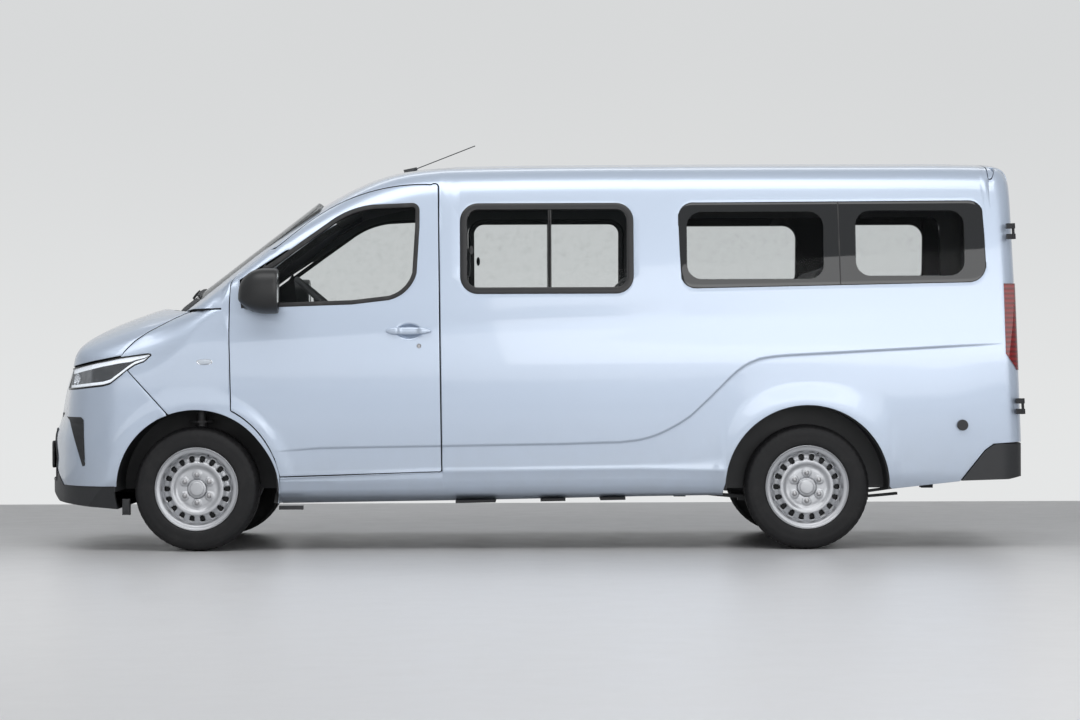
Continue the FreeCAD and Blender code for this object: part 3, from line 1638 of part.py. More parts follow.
carrier = knuckle()
exported("knuckle_left", carrier)
exported("knuckle_right", other_side(carrier))
for place, x, side in (("front_left", front_axle_x, 1), ("front_right", front_axle_x, -1),
                       ("rear_left", rear_axle_x, 1), ("rear_right", rear_axle_x, -1)):
    exported("tyre_" + place, tyre(x, side * wheel_y))
    exported("wheel_" + place, wheel(x, side * wheel_y, side))
exported("steering_wheel", steering_wheel())
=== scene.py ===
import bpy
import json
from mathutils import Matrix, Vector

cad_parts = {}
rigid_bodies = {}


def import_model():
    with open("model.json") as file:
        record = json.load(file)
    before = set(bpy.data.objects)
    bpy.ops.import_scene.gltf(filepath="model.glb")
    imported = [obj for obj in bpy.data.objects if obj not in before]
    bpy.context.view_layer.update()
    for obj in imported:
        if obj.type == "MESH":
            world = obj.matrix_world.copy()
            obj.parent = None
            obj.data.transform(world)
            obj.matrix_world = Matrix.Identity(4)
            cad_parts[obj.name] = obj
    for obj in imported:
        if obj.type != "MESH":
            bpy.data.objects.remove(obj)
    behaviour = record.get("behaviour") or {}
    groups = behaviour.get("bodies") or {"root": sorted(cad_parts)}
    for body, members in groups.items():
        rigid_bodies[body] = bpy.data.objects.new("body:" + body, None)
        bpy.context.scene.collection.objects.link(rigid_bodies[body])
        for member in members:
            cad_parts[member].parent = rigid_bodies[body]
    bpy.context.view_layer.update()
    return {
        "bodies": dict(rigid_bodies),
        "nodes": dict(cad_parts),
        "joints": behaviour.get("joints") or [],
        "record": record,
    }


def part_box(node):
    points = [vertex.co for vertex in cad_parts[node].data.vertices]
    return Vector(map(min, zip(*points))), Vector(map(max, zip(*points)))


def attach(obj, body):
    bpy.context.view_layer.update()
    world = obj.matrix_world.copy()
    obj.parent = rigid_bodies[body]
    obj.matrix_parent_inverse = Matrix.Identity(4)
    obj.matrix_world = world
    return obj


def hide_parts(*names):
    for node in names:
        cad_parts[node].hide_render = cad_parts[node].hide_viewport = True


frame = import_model()

import json
import math

import bmesh
import bpy
import numpy as np
from mathutils import Matrix, Vector

nodes = frame["nodes"]
mm = 0.001



def arcPoints(start, via, end, count):
    # Points on the circle through three points: centre from the perpendicular bisectors.
    (ax, ay), (bx, by), (cx, cy) = start, via, end
    d = 2 * (ax * (by - cy) + bx * (cy - ay) + cx * (ay - by))
    a2, b2, c2 = ax * ax + ay * ay, bx * bx + by * by, cx * cx + cy * cy
    ux = (a2 * (by - cy) + b2 * (cy - ay) + c2 * (ay - by)) / d
    uy = (a2 * (cx - bx) + b2 * (ax - cx) + c2 * (bx - ax)) / d
    t0, t1, t2 = (math.atan2(p[1] - uy, p[0] - ux) for p in (start, via, end))
    sweep = (t2 - t0) % (2 * math.pi)
    if (t1 - t0) % (2 * math.pi) > sweep:
        sweep -= 2 * math.pi
    angle = t0 + sweep * np.linspace(0, 1, count)
    radius = math.hypot(ax - ux, ay - uy)
    return np.stack([ux + radius * np.cos(angle), uy + radius * np.sin(angle)], 1)


def outline(rows, step=0.01, extra=3):
    # Rows of corners in millimetres, (a, b) or (a, b, viaA, viaB), as evenly spaced points.
    points = [np.array([rows[0][:2]], float)]
    for before, row in zip(rows[:-1], rows[1:]):
        length = math.hypot(row[0] - before[0], row[1] - before[1]) * mm
        count = max(2, int(length / step) + 1)
        (ax, ay), (bx, by) = before[:2], row[-2:]
        bent = len(row) == 4 and abs((row[0] - ax) * (by - ay) - (row[1] - ay) * (bx - ax)) > 0.01
        if bent:
            piece = arcPoints(before[:2], row[2:4], row[:2], count + extra)
        else:
            t = np.linspace(0, 1, count)[:, None]
            piece = (1 - t) * np.array(before[:2], float) + t * np.array(row[:2], float)
        points.append(piece[1:])
    return np.concatenate(points) * mm


def smoothCurve(xs, ys):
    # Cubic Hermite curve through the points, its slopes from the neighbours.
    xs, ys = np.array(xs, float), np.array(ys, float)
    slope = np.gradient(ys, xs)

    def at(x):
        x = np.clip(np.asarray(x, float), xs[0], xs[-1])
        i = np.clip(np.searchsorted(xs, x) - 1, 0, len(xs) - 2)
        h = xs[i + 1] - xs[i]
        t = (x - xs[i]) / h
        return ((1 + 2 * t) * (1 - t) ** 2 * ys[i] + t * (1 - t) ** 2 * h * slope[i]
                + t * t * (3 - 2 * t) * ys[i + 1] - t * t * (1 - t) * h * slope[i + 1])
    return at


def smoothStep(low, high, x):
    t = np.clip((x - low) / (high - low), 0, 1)
    return t * t * (3 - 2 * t)


def smoothMax(a, b, k):
    # The larger of two values, rounded over the width k where they are near.
    h = np.clip(0.5 + 0.5 * (a - b) / k, 0, 1)
    return b + (a - b) * h + k * h * (1 - h)


def bump(x, middle, width):
    return np.exp(-((x - middle) / width) ** 2)


def polylineDistance(x, z, points):
    # Distance from each (x, z) to a run of straight pieces, signed plus above it.
    best = np.full(np.shape(x), 9.0)
    sign = np.ones(np.shape(x))
    for (ax, az), (bx, bz) in zip(points[:-1], points[1:]):
        dx, dz = bx - ax, bz - az
        t = np.clip(((x - ax) * dx + (z - az) * dz) / (dx * dx + dz * dz), 0, 1)
        ex, ez = x - ax - t * dx, z - az - t * dz
        near = np.hypot(ex, ez)
        closer = near < best
        best = np.where(closer, near, best)
        sign = np.where(closer, np.where(dx * ez - dz * ex >= 0, 1.0, -1.0), sign)
    return best * sign



bodyShape = {
    "roofCorner": 0.085, "screenCorner": 0.035, "screenTop": 0.16, "rearCorner": 0.085,
    "crown": 0.096, "rearX": -2.482, "rearLean": 0.0386, "rearBow": 1 / 24.0,
    "screenFoot": (1.783, 1.252), "screenHead": (1.045, 1.817), "screenRadius": 3.6,
    "creaseDepth": 0.0065, "ridge": 0.004, "flare": 0.007, "archRadius": 0.41,
    "frontAxle": 1.669, "rearAxle": -1.381, "wheelY": 0.7525, "wheelR": 0.312,
}
sectionRows = ((805, 200), (872, 350), (900, 850, 893, 600), (888, 1110, 898, 985),
               (800, 1800, 849, 1460), (765, 2050))
sectionLine = outline(sectionRows, 0.003)
roofLine = smoothCurve((-2.6, -2.33, -1.6, -0.9, -0.2, 0.2, 0.44, 0.6, 0.765, 0.9, 1.045, 1.3),
                       (1.950, 1.960, 1.9655, 1.9665, 1.9650, 1.9612, 1.955, 1.939, 1.911, 1.873,
                        1.817, 1.70))
creaseLine = np.array([(1.35, 0.498), (1.2, 0.510), (1.046, 0.522), (0.449, 0.530), (-0.149, 0.538),
                       (-0.447, 0.546), (-0.540, 0.556), (-0.610, 0.574), (-0.665, 0.598),
                       (-0.730, 0.632), (-0.795, 0.675), (-0.895, 0.769), (-0.984, 0.858),
                       (-1.030, 0.900), (-1.080, 0.934), (-1.143, 0.959), (-1.215, 0.970),
                       (-1.293, 0.976), (-1.492, 0.986), (-1.840, 1.004), (-2.45, 1.036)])[::-1]
shoulderLine = np.array([(-2.6, 1.186), (-0.597, 1.158), (-0.049, 1.140), (0.449, 1.112),
                         (1.493, 1.041), (1.941, 0.998), (2.3, 0.972)])
handleCup = (0.603, 1.096, 0.066, 0.042)


def sideHalf(x, z):
    # Half width: the section's curve, a recess below the crease, a ridge at the shoulder,
    # a soft raised lip round both wheel arches and a step at the top of the sill.
    s = bodyShape
    y = np.interp(z, sectionLine[:, 1], sectionLine[:, 0])
    below = -polylineDistance(x, z, creaseLine)
    fade = smoothStep(1.30, 1.05, x) * smoothStep(-2.42, -2.0, x)
    depth = smoothStep(0.0, 0.012, below) * smoothStep(0.30, 0.05, below) * 0.75
    depth = depth + 0.25 * smoothStep(0.0, 0.012, below) * smoothStep(0.55, 0.2, below)
    y = y - s["creaseDepth"] * fade * depth
    rise = polylineDistance(x, z, shoulderLine)
    y = y + s["ridge"] * np.clip(1 - np.abs(rise) / 0.11, 0, 1) ** 1.3 * smoothStep(-2.0, -0.3, x)
    for axle in (s["frontAxle"], s["rearAxle"]):
        ring = np.hypot(x - axle, z - s["wheelR"]) - s["archRadius"]
        y = y + s["flare"] * smoothStep(0.075, 0.045, ring) * smoothStep(0.0, 0.3, z - 0.2)
    cx, cz, rx, rz = handleCup
    cup = np.hypot((x - cx) / rx, (z - cz) / rz)
    y = y - 0.016 * smoothStep(1.0, 0.55, cup)
    y = y - 2.2 * np.clip(0.289 - z, 0, 0.06) * smoothStep(1.27, 1.25, x) * smoothStep(-0.98, -0.96, x)
    sillTop = np.interp(x, (-0.97, -0.547, 0.451, 1.246), (0.400, 0.411, 0.401, 0.368))
    y = y + 0.004 * bump(z, sillTop - 0.002, 0.006) * smoothStep(-0.99, -0.95, x) * smoothStep(1.27, 1.24, x)
    return y


def screenDistance(x, y, z):
    # Outside the windscreen's cylinder is plus.
    s = bodyShape
    (fx, fz), (hx, hz) = s["screenFoot"], s["screenHead"]
    length = math.hypot(hx - fx, hz - fz)
    nx, nz = (hz - fz) / length, (fx - hx) / length
    out = nx * (x - fx) + nz * (z - fz) + s["screenRadius"]
    return np.hypot(y, out) - s["screenRadius"]


def bodyField(x, y, z):
    # Minus inside the body: side, roof, screen and rear walls, rounded where they meet.
    s = bodyShape
    side = np.abs(y) - sideHalf(x, z)
    roof = z - roofLine(x) + s["crown"] * y * y
    screen = screenDistance(x, y, z)
    rear = s["rearX"] + s["rearLean"] * (z - 0.53) + s["rearBow"] * y * y - x
    field = smoothMax(roof, screen, s["screenTop"])
    field = smoothMax(side, field, s["roofCorner"] * smoothStep(1.5, 0.7, x) + s["screenCorner"])
    return smoothMax(field, rear, s["rearCorner"])


def planTable():
    # Distance from (1.5, 0) to the nose's plan outline, against the angle.
    front = np.linspace(0, 0.62, 40)
    x = 2.4925 - 1.6 + np.sqrt(1.6 ** 2 - front ** 2)
    corner = arcPoints((x[-1], 0.62), (2.2155, 0.8200), (1.956, 0.9), 40)
    side = np.stack([np.linspace(1.95, 1.2, 60), np.full(60, 0.9)], 1)
    line = np.concatenate([np.stack([x, front], 1), corner[1:], side])
    angle = np.arctan2(line[:, 1], line[:, 0] - 1.5)
    return angle, np.hypot(line[:, 0] - 1.5, line[:, 1])


planAngle, planReach = planTable()
noseFront = smoothCurve((0.20, 0.243, 0.29, 0.34, 0.40, 0.47, 0.585, 0.625, 0.803, 0.892, 0.94, 0.995, 1.05,
                         1.088, 1.13),
                        (2.10, 2.400, 2.476, 2.488, 2.4925, 2.488, 2.480, 2.464, 2.426, 2.400, 2.383,
                         2.352, 2.305, 2.262, 2.20))
hoodTop = smoothCurve((1.6, 1.775, 1.912, 2.0, 2.1, 2.202, 2.262, 2.32, 2.38, 2.5),
                      (1.262, 1.2475, 1.226, 1.197, 1.160, 1.118, 1.088, 1.040, 0.968, 0.80))
hoodCrown = smoothCurve((0, 0.302, 0.6, 0.72, 0.805, 0.85, 0.88, 0.91, 1.2),
                        (0, 0.012, 0.048, 0.075, 0.112, 0.155, 0.225, 0.38, 1.6))


def insideOf(rows):
    # Distance to the nearest edge of a convex outline, plus inside it.
    points = np.array(rows) * mm
    edges = np.roll(points, -1, 0) - points
    normals = np.stack([-edges[:, 1], edges[:, 0]], 1) / np.linalg.norm(edges, axis=1, keepdims=True)
    area = np.sum(points[:, 0] * np.roll(points[:, 1], -1) - np.roll(points[:, 0], -1) * points[:, 1])
    normals = normals * np.sign(area)

    def at(a, b):
        near = np.full(np.shape(a), 9.0)
        for (px, pz), (nx, nz) in zip(points, normals):
            near = np.minimum(near, (a - px) * nx + (b - pz) * nz)
        return near
    return at


grilleRows = ((330, 600), (470, 455), (440, 345), (-440, 345), (-470, 455), (-330, 600))
slotRows = ((2346, 673), (2250, 673), (2233, 655), (2230, 430), (2243, 426), (2322, 655))
grilleInside = insideOf(grilleRows)
slotInside = insideOf([(2352, 675), (2250, 675), (2231, 657), (2228, 430), (2243, 422), (2326, 657)])


def noseField(x, y, z):
    # Minus inside the nose: its side, its plan moved by the front's profile, the hood's crown.
    away = np.abs(y)
    side = away - sideHalf(x, z)
    recess = 0.018 * smoothStep(0.0, 0.014, grilleInside(away, z)) + 0.005 * smoothStep(0.0, 0.008,
            slotInside(x, z))
    shift = (noseFront(z) - 2.4935 - recess) * smoothStep(0.9, 0.35, away)
    px = x - shift - 1.5
    plan = np.hypot(px, away) - np.interp(np.arctan2(away, px), planAngle, planReach)
    crown = hoodCrown(away) * (0.10 + 0.90 * smoothStep(1.48, 1.92, x))
    hood = (z - hoodTop(x) + crown) * 0.9
    field = smoothMax(side, plan, 0.012)
    return smoothMax(field, hood, 0.03)


def surfaceAlong(field, start, way, reach, count=34):
    # Where rays from the start points leave the field, by halving the span.
    low = np.zeros(start.shape[:-1])
    high = np.full(start.shape[:-1], reach)
    for _ in range(count):
        middle = (low + high) / 2
        point = start + way * middle[..., None]
        outside = field(point[..., 0], point[..., 1], point[..., 2]) > 0
        high = np.where(outside, middle, high)
        low = np.where(outside, low, middle)
    return start + way * low[..., None]


def fieldNormal(field, p, h=0.002):
    # The field's slope along each axis, as a unit vector.
    slope = [field(*np.moveaxis(p + h * step, -1, 0)) - field(*np.moveaxis(p - h * step, -1, 0))
             for step in np.eye(3)]
    slope = np.stack(slope, -1)
    return slope / np.maximum(np.linalg.norm(slope, axis=-1, keepdims=True), 1e-9)


def sideAt(x, z, side=1, out=0.0, field=bodyField):
    # The surface straight out from the middle at side view positions, moved along its normal.
    x, z = np.broadcast_arrays(np.asarray(x, float), np.asarray(z, float))
    start = np.stack([x, np.full(x.shape, 0.40), z], -1)
    point = surfaceAlong(field, start, np.array([0, 1.0, 0]) + np.zeros(start.shape), 0.9)
    if np.any(out):
        point = point + fieldNormal(field, point) * np.asarray(out, float)[..., None]
    point[..., 1] *= side
    return point





def addMesh(name, points, faces, materials, smooth=True, faceMaterial=None):
    mesh = bpy.data.meshes.new(name)
    mesh.from_pydata(points.reshape(-1, 3).tolist(), [], faces.tolist())
    for material in materials if isinstance(materials, (list, tuple)) else [materials]:
        mesh.materials.append(material)
    if faceMaterial is not None:
        mesh.polygons.foreach_set("material_index", np.asarray(faceMaterial, np.int32))
    mesh.polygons.foreach_set("use_smooth", np.full(len(mesh.polygons), smooth))
    mesh.validate()
    mesh.update()
    piece = bpy.data.objects.new(name, mesh)
    bpy.context.scene.collection.objects.link(piece)
    return piece


def gridFaces(rows, columns, closeRows=False, closeColumns=False, flip=False):
    # Quads between neighbouring points of a grid, one row of points after another.
    i = np.arange(rows if closeRows else rows - 1)[:, None]
    j = np.arange(columns if closeColumns else columns - 1)[None, :]
    i2, j2 = (i + 1) % rows, (j + 1) % columns
    quads = np.stack([i * columns + j, i * columns + j2, i2 * columns + j2, i2 * columns + j], -1)
    quads = quads.reshape(-1, 4)
    return quads[:, ::-1] if flip else quads


def joined(parts):
    # Several (points, faces) as one pair.
    points, faces, start = [], [], 0
    for p, f in parts:
        p = p.reshape(-1, 3)
        points.append(p)
        faces.append(f + start)
        start += len(p)
    return np.concatenate(points), np.concatenate(faces)


def frames(path, closed):
    # Unit tangents of a path of points.
    if closed:
        tangent = np.roll(path, -1, 0) - np.roll(path, 1, 0)
    else:
        tangent = np.gradient(path, axis=0)
    return tangent / np.maximum(np.linalg.norm(tangent, axis=1, keepdims=True), 1e-9)


def normalized(v):
    return v / np.maximum(np.linalg.norm(v, axis=-1, keepdims=True), 1e-9)


def sweep(path, profile, up, closed=True, closeProfile=True):
    # A flat profile (sideways, up) carried along a path: point + sideways * side + up * up.
    tangent = frames(path, closed)
    up = normalized(np.broadcast_to(np.asarray(up, float), path.shape))
    side = normalized(np.cross(tangent, up))
    points = (path[:, None, :] + profile[None, :, :1] * side[:, None, :]
              + profile[None, :, 1:] * up[:, None, :])
    faces = gridFaces(len(path), len(profile), closed, closeProfile)
    parts = [(points, faces)]
    if not closed and closeProfile:
        for end, flip in ((points[0], True), (points[-1], False)):
            middle = np.broadcast_to(end.mean(0), end.shape)
            parts.append((np.stack([end, (end + middle) / 2, end * 0.02 + middle * 0.98]),
                          gridFaces(3, len(profile), False, True, flip)))
    return joined(parts)


def turned(profile, count, centre, axis=1):
    # Profile of (along, radius) turned about an axis line through the centre.
    angle = 2 * math.pi * np.arange(count) / count
    along, radius = profile[:, 0], profile[:, 1]
    a = radius[None, :] * np.cos(angle)[:, None]
    b = radius[None, :] * np.sin(angle)[:, None]
    points = np.empty((count, len(profile), 3))
    first, second = [k for k in range(3) if k != axis]
    points[..., axis] = along[None, :]
    points[..., first] = a
    points[..., second] = b
    return points + np.asarray(centre, float), gridFaces(count, len(profile), True, False)


def weld(piece, distance=0.00005):
    # Merge doubles in place and make all faces point outwards.
    bm = bmesh.new()
    bm.from_mesh(piece.data)
    bmesh.ops.remove_doubles(bm, verts=bm.verts, dist=distance)
    bmesh.ops.dissolve_degenerate(bm, edges=bm.edges, dist=distance / 4)
    bmesh.ops.recalc_face_normals(bm, faces=bm.faces)
    if bm.calc_volume(signed=True) < 0:
        bmesh.ops.reverse_faces(bm, faces=bm.faces)
    bm.to_mesh(piece.data)
    bm.free()
    return piece


def crisp(piece, degrees=35):
    # Smooth shading that keeps edges sharper than the angle.
    piece.data.set_sharp_from_angle(angle=math.radians(degrees))
    return piece


def place(piece, body, slot, *replaced):
    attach(piece, body)
    if replaced:
        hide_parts(*replaced)
    return piece



hem = {"radius": 0.0016, "depth": 0.040, "turns": 3}


def gridNormals(points):
    along = np.gradient(points, axis=0)
    across = np.gradient(points, axis=1)
    return normalized(np.cross(along, across))


def panelShell(points, keep, outward, depth=None, shift=(0, 0, 0), radius=None, field=None):
    # The kept cells of a grid, rounded over at every edge and closed by a second grid at
    # the depth: edge points step back by the radius, follow a quarter circle and go inward.
    depth = hem["depth"] if depth is None else depth
    radius = hem["radius"] if radius is None else radius
    n, m = points.shape[:2]
    normal = gridNormals(points)
    flip = np.sum(normal * outward) < 0
    normal = -normal if flip else normal
    if field is not None:
        half = np.where(np.mean(points[..., 1]) < 0, -1, 1) * np.array([0, 1, 0]) + [1, 0, 1]
        normal = fieldNormal(field, points * half) * half
    cells = gridFaces(n, m, flip=not flip)[keep.reshape(-1)]
    flat, flatNormal = points.reshape(-1, 3).copy(), normal.reshape(-1, 3)
    edges = np.concatenate([cells[:, [k, (k + 1) % 4]] for k in range(4)])
    code = edges[:, 0] * (n * m) + edges[:, 1]
    back = edges[:, 1] * (n * m) + edges[:, 0]
    rim = edges[~np.isin(code, back)]
    tangent = normalized(flat[rim[:, 1]] - flat[rim[:, 0]])
    away = np.cross(tangent, flatNormal[rim[:, 0]])
    out = np.zeros_like(flat)
    np.add.at(out, rim[:, 0], away)
    np.add.at(out, rim[:, 1], away)
    out = normalized(out)
    used = np.unique(rim)
    number = np.zeros(len(flat), int)
    number[used] = np.arange(len(used))
    base = flat[used].copy()
    inner = flat - flatNormal * depth + np.asarray(shift, float) * depth
    flat[used] = base - out[used] * radius
    angles = np.linspace(0, math.pi / 2, hem["turns"] + 1)[1:]
    rows = [base - out[used] * radius * (1 - math.sin(a)) - flatNormal[used] * radius * (1 - math.cos(a))
            for a in angles] + [base - flatNormal[used] * min(radius + 0.0003, depth * 0.5)]
    total = len(flat)
    allPoints = [flat] + rows + [inner]
    starts = [0] + [total + len(used) * k for k in range(len(rows) + 1)]
    faces = [cells]
    a, b = rim[:, 0], rim[:, 1]
    levels = [(a, b)] + [(number[a] + starts[k + 1], number[b] + starts[k + 1]) for k in range(len(rows))]
    last = starts[-1]
    levels.append((a + last, b + last))
    for (a0, b0), (a1, b1) in zip(levels[:-1], levels[1:]):
        faces.append(np.stack([b0, a0, a1, b1], 1))
    faces.append(cells[:, ::-1] + last)
    points, faces = np.concatenate(allPoints), np.concatenate(faces)
    usedPoints = np.unique(faces)
    renumber = np.zeros(len(points), int)
    renumber[usedPoints] = np.arange(len(usedPoints))
    return points[usedPoints], renumber[faces]


def bandGrid(xs, curves, counts):
    # Heights between boundary curves, each band divided evenly: one column of points per x.
    columns = [curves[0][:, None]]
    for low, high, count in zip(curves[:-1], curves[1:], counts):
        t = np.linspace(0, 1, count + 1)[None, 1:]
        columns.append(low[:, None] + (high - low)[:, None] * t)
    z = np.concatenate(columns, 1)
    return np.broadcast_to(xs[:, None], z.shape).copy(), z


def spacing(low, high, step, extra=()):
    # Evenly spaced values with the extra values among them. Even ones give way to near extras.
    wanted = np.unique(np.round(np.asarray(extra, float), 5))
    wanted = wanted[(wanted >= low) & (wanted <= high)]
    if len(wanted):
        wanted = wanted[np.concatenate([[True], np.diff(wanted) > 0.0012])]
    even = np.linspace(low, high, int((high - low) / step) + 2)
    if len(wanted):
        even = even[np.abs(even[:, None] - wanted[None, :]).min(1) > step * 0.3]
    return np.unique(np.concatenate([even, wanted, [low, high]]).round(6))


def outlineSpan(points, xs):
    # Lowest and highest crossing of a closed outline at each x.
    a, b = points, np.roll(points, -1, 0)
    low, high = np.full(len(xs), 9.0), np.full(len(xs), -9.0)
    for (ax, az), (bx, bz) in zip(a, b):
        inside = (xs >= min(ax, bx) - 1e-7) & (xs <= max(ax, bx) + 1e-7)
        t = (xs - ax) / (bx - ax) if abs(bx - ax) > 1e-9 else np.zeros(len(xs))
        z = az + np.clip(t, 0, 1) * (bz - az)
        low = np.where(inside, np.minimum(low, z), low)
        high = np.where(inside, np.maximum(high, z), high)
        if abs(bx - ax) <= 1e-9:
            low = np.where(inside, np.minimum(low, min(az, bz)), low)
            high = np.where(inside, np.maximum(high, max(az, bz)), high)
    return low, high


def cornerColumns(points, count=9, reach=0.085):
    # Columns closer together near both ends of an outline, for its round corners.
    x0, x1 = points[:, 0].min(), points[:, 0].max()
    t = 1 - np.cos(np.linspace(0, math.pi / 2, count))
    return np.concatenate([x0 + reach * t, x1 - reach * t])



class Value:
    # A shader socket with arithmetic: each operation adds a Math node, so a formula reads
    # as one. The node tree is kept with it.
    def __init__(self, shader, socket):
        self.shader, self.socket = shader, socket

    def math(self, operation, *others, clamp=False):
        return self.shader.node("ShaderNodeMath", {"operation": operation, "use_clamp": clamp},
                                dict(enumerate((self,) + others)))

    def __add__(self, other): return self.math("ADD", other)
    def __radd__(self, other): return self.math("ADD", other)
    def __sub__(self, other): return self.math("SUBTRACT", other)
    def __rsub__(self, other): return (self * -1) + other
    def __mul__(self, other): return self.math("MULTIPLY", other)
    def __rmul__(self, other): return self.math("MULTIPLY", other)
    def __truediv__(self, other): return self.math("DIVIDE", other)
    def __abs__(self): return self.math("ABSOLUTE")
    def least(self, other): return self.math("MINIMUM", other)
    def most(self, other): return self.math("MAXIMUM", other)
    def sine(self): return self.math("SINE")
    def root(self): return self.math("SQRT")
    def power(self, other): return self.math("POWER", other)

    def step(self, low, high):
        # 0 below low and 1 above high, smooth between.
        return self.shader.node("ShaderNodeMapRange", {"interpolation_type": "SMOOTHSTEP"},
                                {0: self, 1: low, 2: high, 3: 0.0, 4: 1.0})


class Shader:
    # One material's node tree, with its Principled shader and object coordinates.
    def __init__(self, name, color, roughness=0.5, **values):
        self.material = bpy.data.materials.new(name)
        self.material.use_nodes = True
        self.tree = self.material.node_tree
        self.tree.nodes.clear()
        self.output = self.tree.nodes.new("ShaderNodeOutputMaterial")
        self.main = self.tree.nodes.new("ShaderNodeBsdfPrincipled")
        self.tree.links.new(self.main.outputs[0], self.output.inputs[0])
        self.set("Base Color", color)
        self.set("Roughness", roughness)
        for key, value in values.items():
            self.set(key.replace("_", " "), value)
        self.color = color

    def feed(self, socket, value):
        if isinstance(value, Value):
            self.tree.links.new(value.socket, socket)
        elif isinstance(value, (tuple, list)):
            value = tuple(value)
            noAlpha = len(value) == 3 and len(socket.default_value) == 4
            socket.default_value = value + (1.0,) if noAlpha else value
        else:
            socket.default_value = value

    def node(self, kind, settings=None, inputs=None, output=0):
        node = self.tree.nodes.new(kind)
        for key, value in (settings or {}).items():
            setattr(node, key, value)
        for key, value in (inputs or {}).items():
            self.feed(node.inputs[key], value)
        return Value(self, node.outputs[output])

    def set(self, name, value):
        self.feed(self.main.inputs[name], value)
        return self

    def coords(self):
        if not hasattr(self, "place"):
            self.place = self.node("ShaderNodeTexCoord", output="Object")
        return self.place

    def xyz(self):
        if not hasattr(self, "axes"):
            split = self.node("ShaderNodeSeparateXYZ", inputs={0: self.coords()})
            self.axes = [Value(self, output) for output in split.socket.node.outputs]
        return self.axes

    def noise(self, scale, detail=4.0, rough=0.5, stretch=None):
        where = self.coords()
        if stretch:
            where = self.node("ShaderNodeVectorMath", {"operation": "MULTIPLY"}, {0: where, 1: stretch})
        return self.node("ShaderNodeTexNoise", {}, {"Vector": where, "Scale": scale, "Detail": detail,
                                                    "Roughness": rough})

    def cells(self, scale, output="Distance", stretch=None):
        where = self.coords()
        if stretch:
            where = self.node("ShaderNodeVectorMath", {"operation": "MULTIPLY"}, {0: where, 1: stretch})
        return self.node("ShaderNodeTexVoronoi", {}, {"Vector": where, "Scale": scale}, output)

    def mix(self, share, a, b):
        mixer = self.tree.nodes.new("ShaderNodeMix")
        mixer.data_type = "RGBA"
        self.feed(mixer.inputs[0], share)
        self.feed(mixer.inputs[6], a)
        self.feed(mixer.inputs[7], b)
        return Value(self, mixer.outputs[2])

    def relief(self, height, distance=0.001, strength=1.0, target="Normal"):
        bumped = self.node("ShaderNodeBump", {}, {"Height": height, "Distance": distance,
                                                  "Strength": strength})
        self.tree.links.new(bumped.socket, self.main.inputs[target])
        return self

    def blendWith(self, share, other):
        # Mix Shader between this material's surface and another shader's output.
        mixer = self.tree.nodes.new("ShaderNodeMixShader")
        self.feed(mixer.inputs[0], share)
        self.tree.links.new(self.output.inputs[0].links[0].from_socket, mixer.inputs[1])
        self.tree.links.new(other.socket, mixer.inputs[2])
        self.tree.links.new(mixer.outputs[0], self.output.inputs[0])
        return self


def paintMaterial():
    # Metallic paint: fine flakes in colour and sheen under a clear coat, dusted low down.
    s = Shader("body_paint", (0.46, 0.54, 0.66), 0.34, Metallic=0.55, Coat_Weight=1.0, Coat_Roughness=0.04)
    flake = s.cells(2600.0, "Color")
    tone = s.node("ShaderNodeSeparateColor", inputs={0: flake})
    broad = s.noise(1.3, 2.0)
    z = s.xyz()[2]
    dust = (1 - z.step(0.2, 0.75)) * s.noise(9.0, 5.0, 0.6) * 0.5
    base = s.mix(broad * 0.5, (0.50, 0.58, 0.70), (0.44, 0.52, 0.645))
    base = s.mix(tone * 0.22, base, (0.66, 0.73, 0.83))
    s.set("Base Color", s.mix(dust, base, (0.42, 0.45, 0.48)))
    s.set("Roughness", 0.30 + tone * 0.10 + dust * 0.25)
    return s.relief(s.noise(900.0, 2.0), 0.00002, 0.2)


def plasticMaterial(name, color, roughness=0.5, grain=900.0, depth=0.0002):
    # Moulded plastic: pebbled grain in relief and gloss, with faint dust tones.
    s = Shader(name, color, roughness)
    pebble = s.cells(grain)
    cloud = s.noise(6.0, 4.0)
    light = tuple(min(1.0, c * 1.28 + 0.004) for c in color)
    s.set("Base Color", s.mix(cloud * 0.7, color, light))
    s.set("Roughness", roughness - 0.05 + cloud * 0.14 + pebble * 0.05)
    return s.relief(pebble, depth, 0.35)


def metalShader(name, color, roughness=0.4, rust=0.0, metallic=0.85):
    # Rolled or cast metal: streaks, grain, and brown bloom where rust is asked for.
    s = Shader(name, color, roughness, Metallic=metallic)
    cloud = s.noise(14.0, 6.0, 0.62)
    fine = s.noise(220.0, 3.0)
    base = s.mix(cloud * 0.5, color, tuple(c * 0.72 for c in color))
    if rust:
        bloom = cloud.step(0.62 - 0.2 * rust, 0.78) * rust
        base = s.mix(bloom, base, (0.16, 0.085, 0.05))
        s.set("Metallic", (1 - bloom) * metallic)
    s.set("Base Color", base)
    s.set("Roughness", roughness - 0.06 + fine * 0.12 + cloud * 0.1)
    return s.relief(fine, 0.0003, 0.3)


def rubberMaterial(name, color=(0.026, 0.026, 0.028), roughness=0.62):
    # Rubber: dull and dusty, with a fine grain and faint mould rings left to the mesh.
    s = Shader(name, color, roughness)
    cloud = s.noise(11.0, 5.0, 0.6)
    fine = s.noise(420.0, 3.0)
    s.set("Base Color", s.mix(cloud.step(0.38, 0.75) * 0.6, color, (0.062, 0.060, 0.058)))
    s.set("Roughness", roughness + cloud * 0.16 - 0.05)
    return s.relief(fine, 0.0002, 0.4)


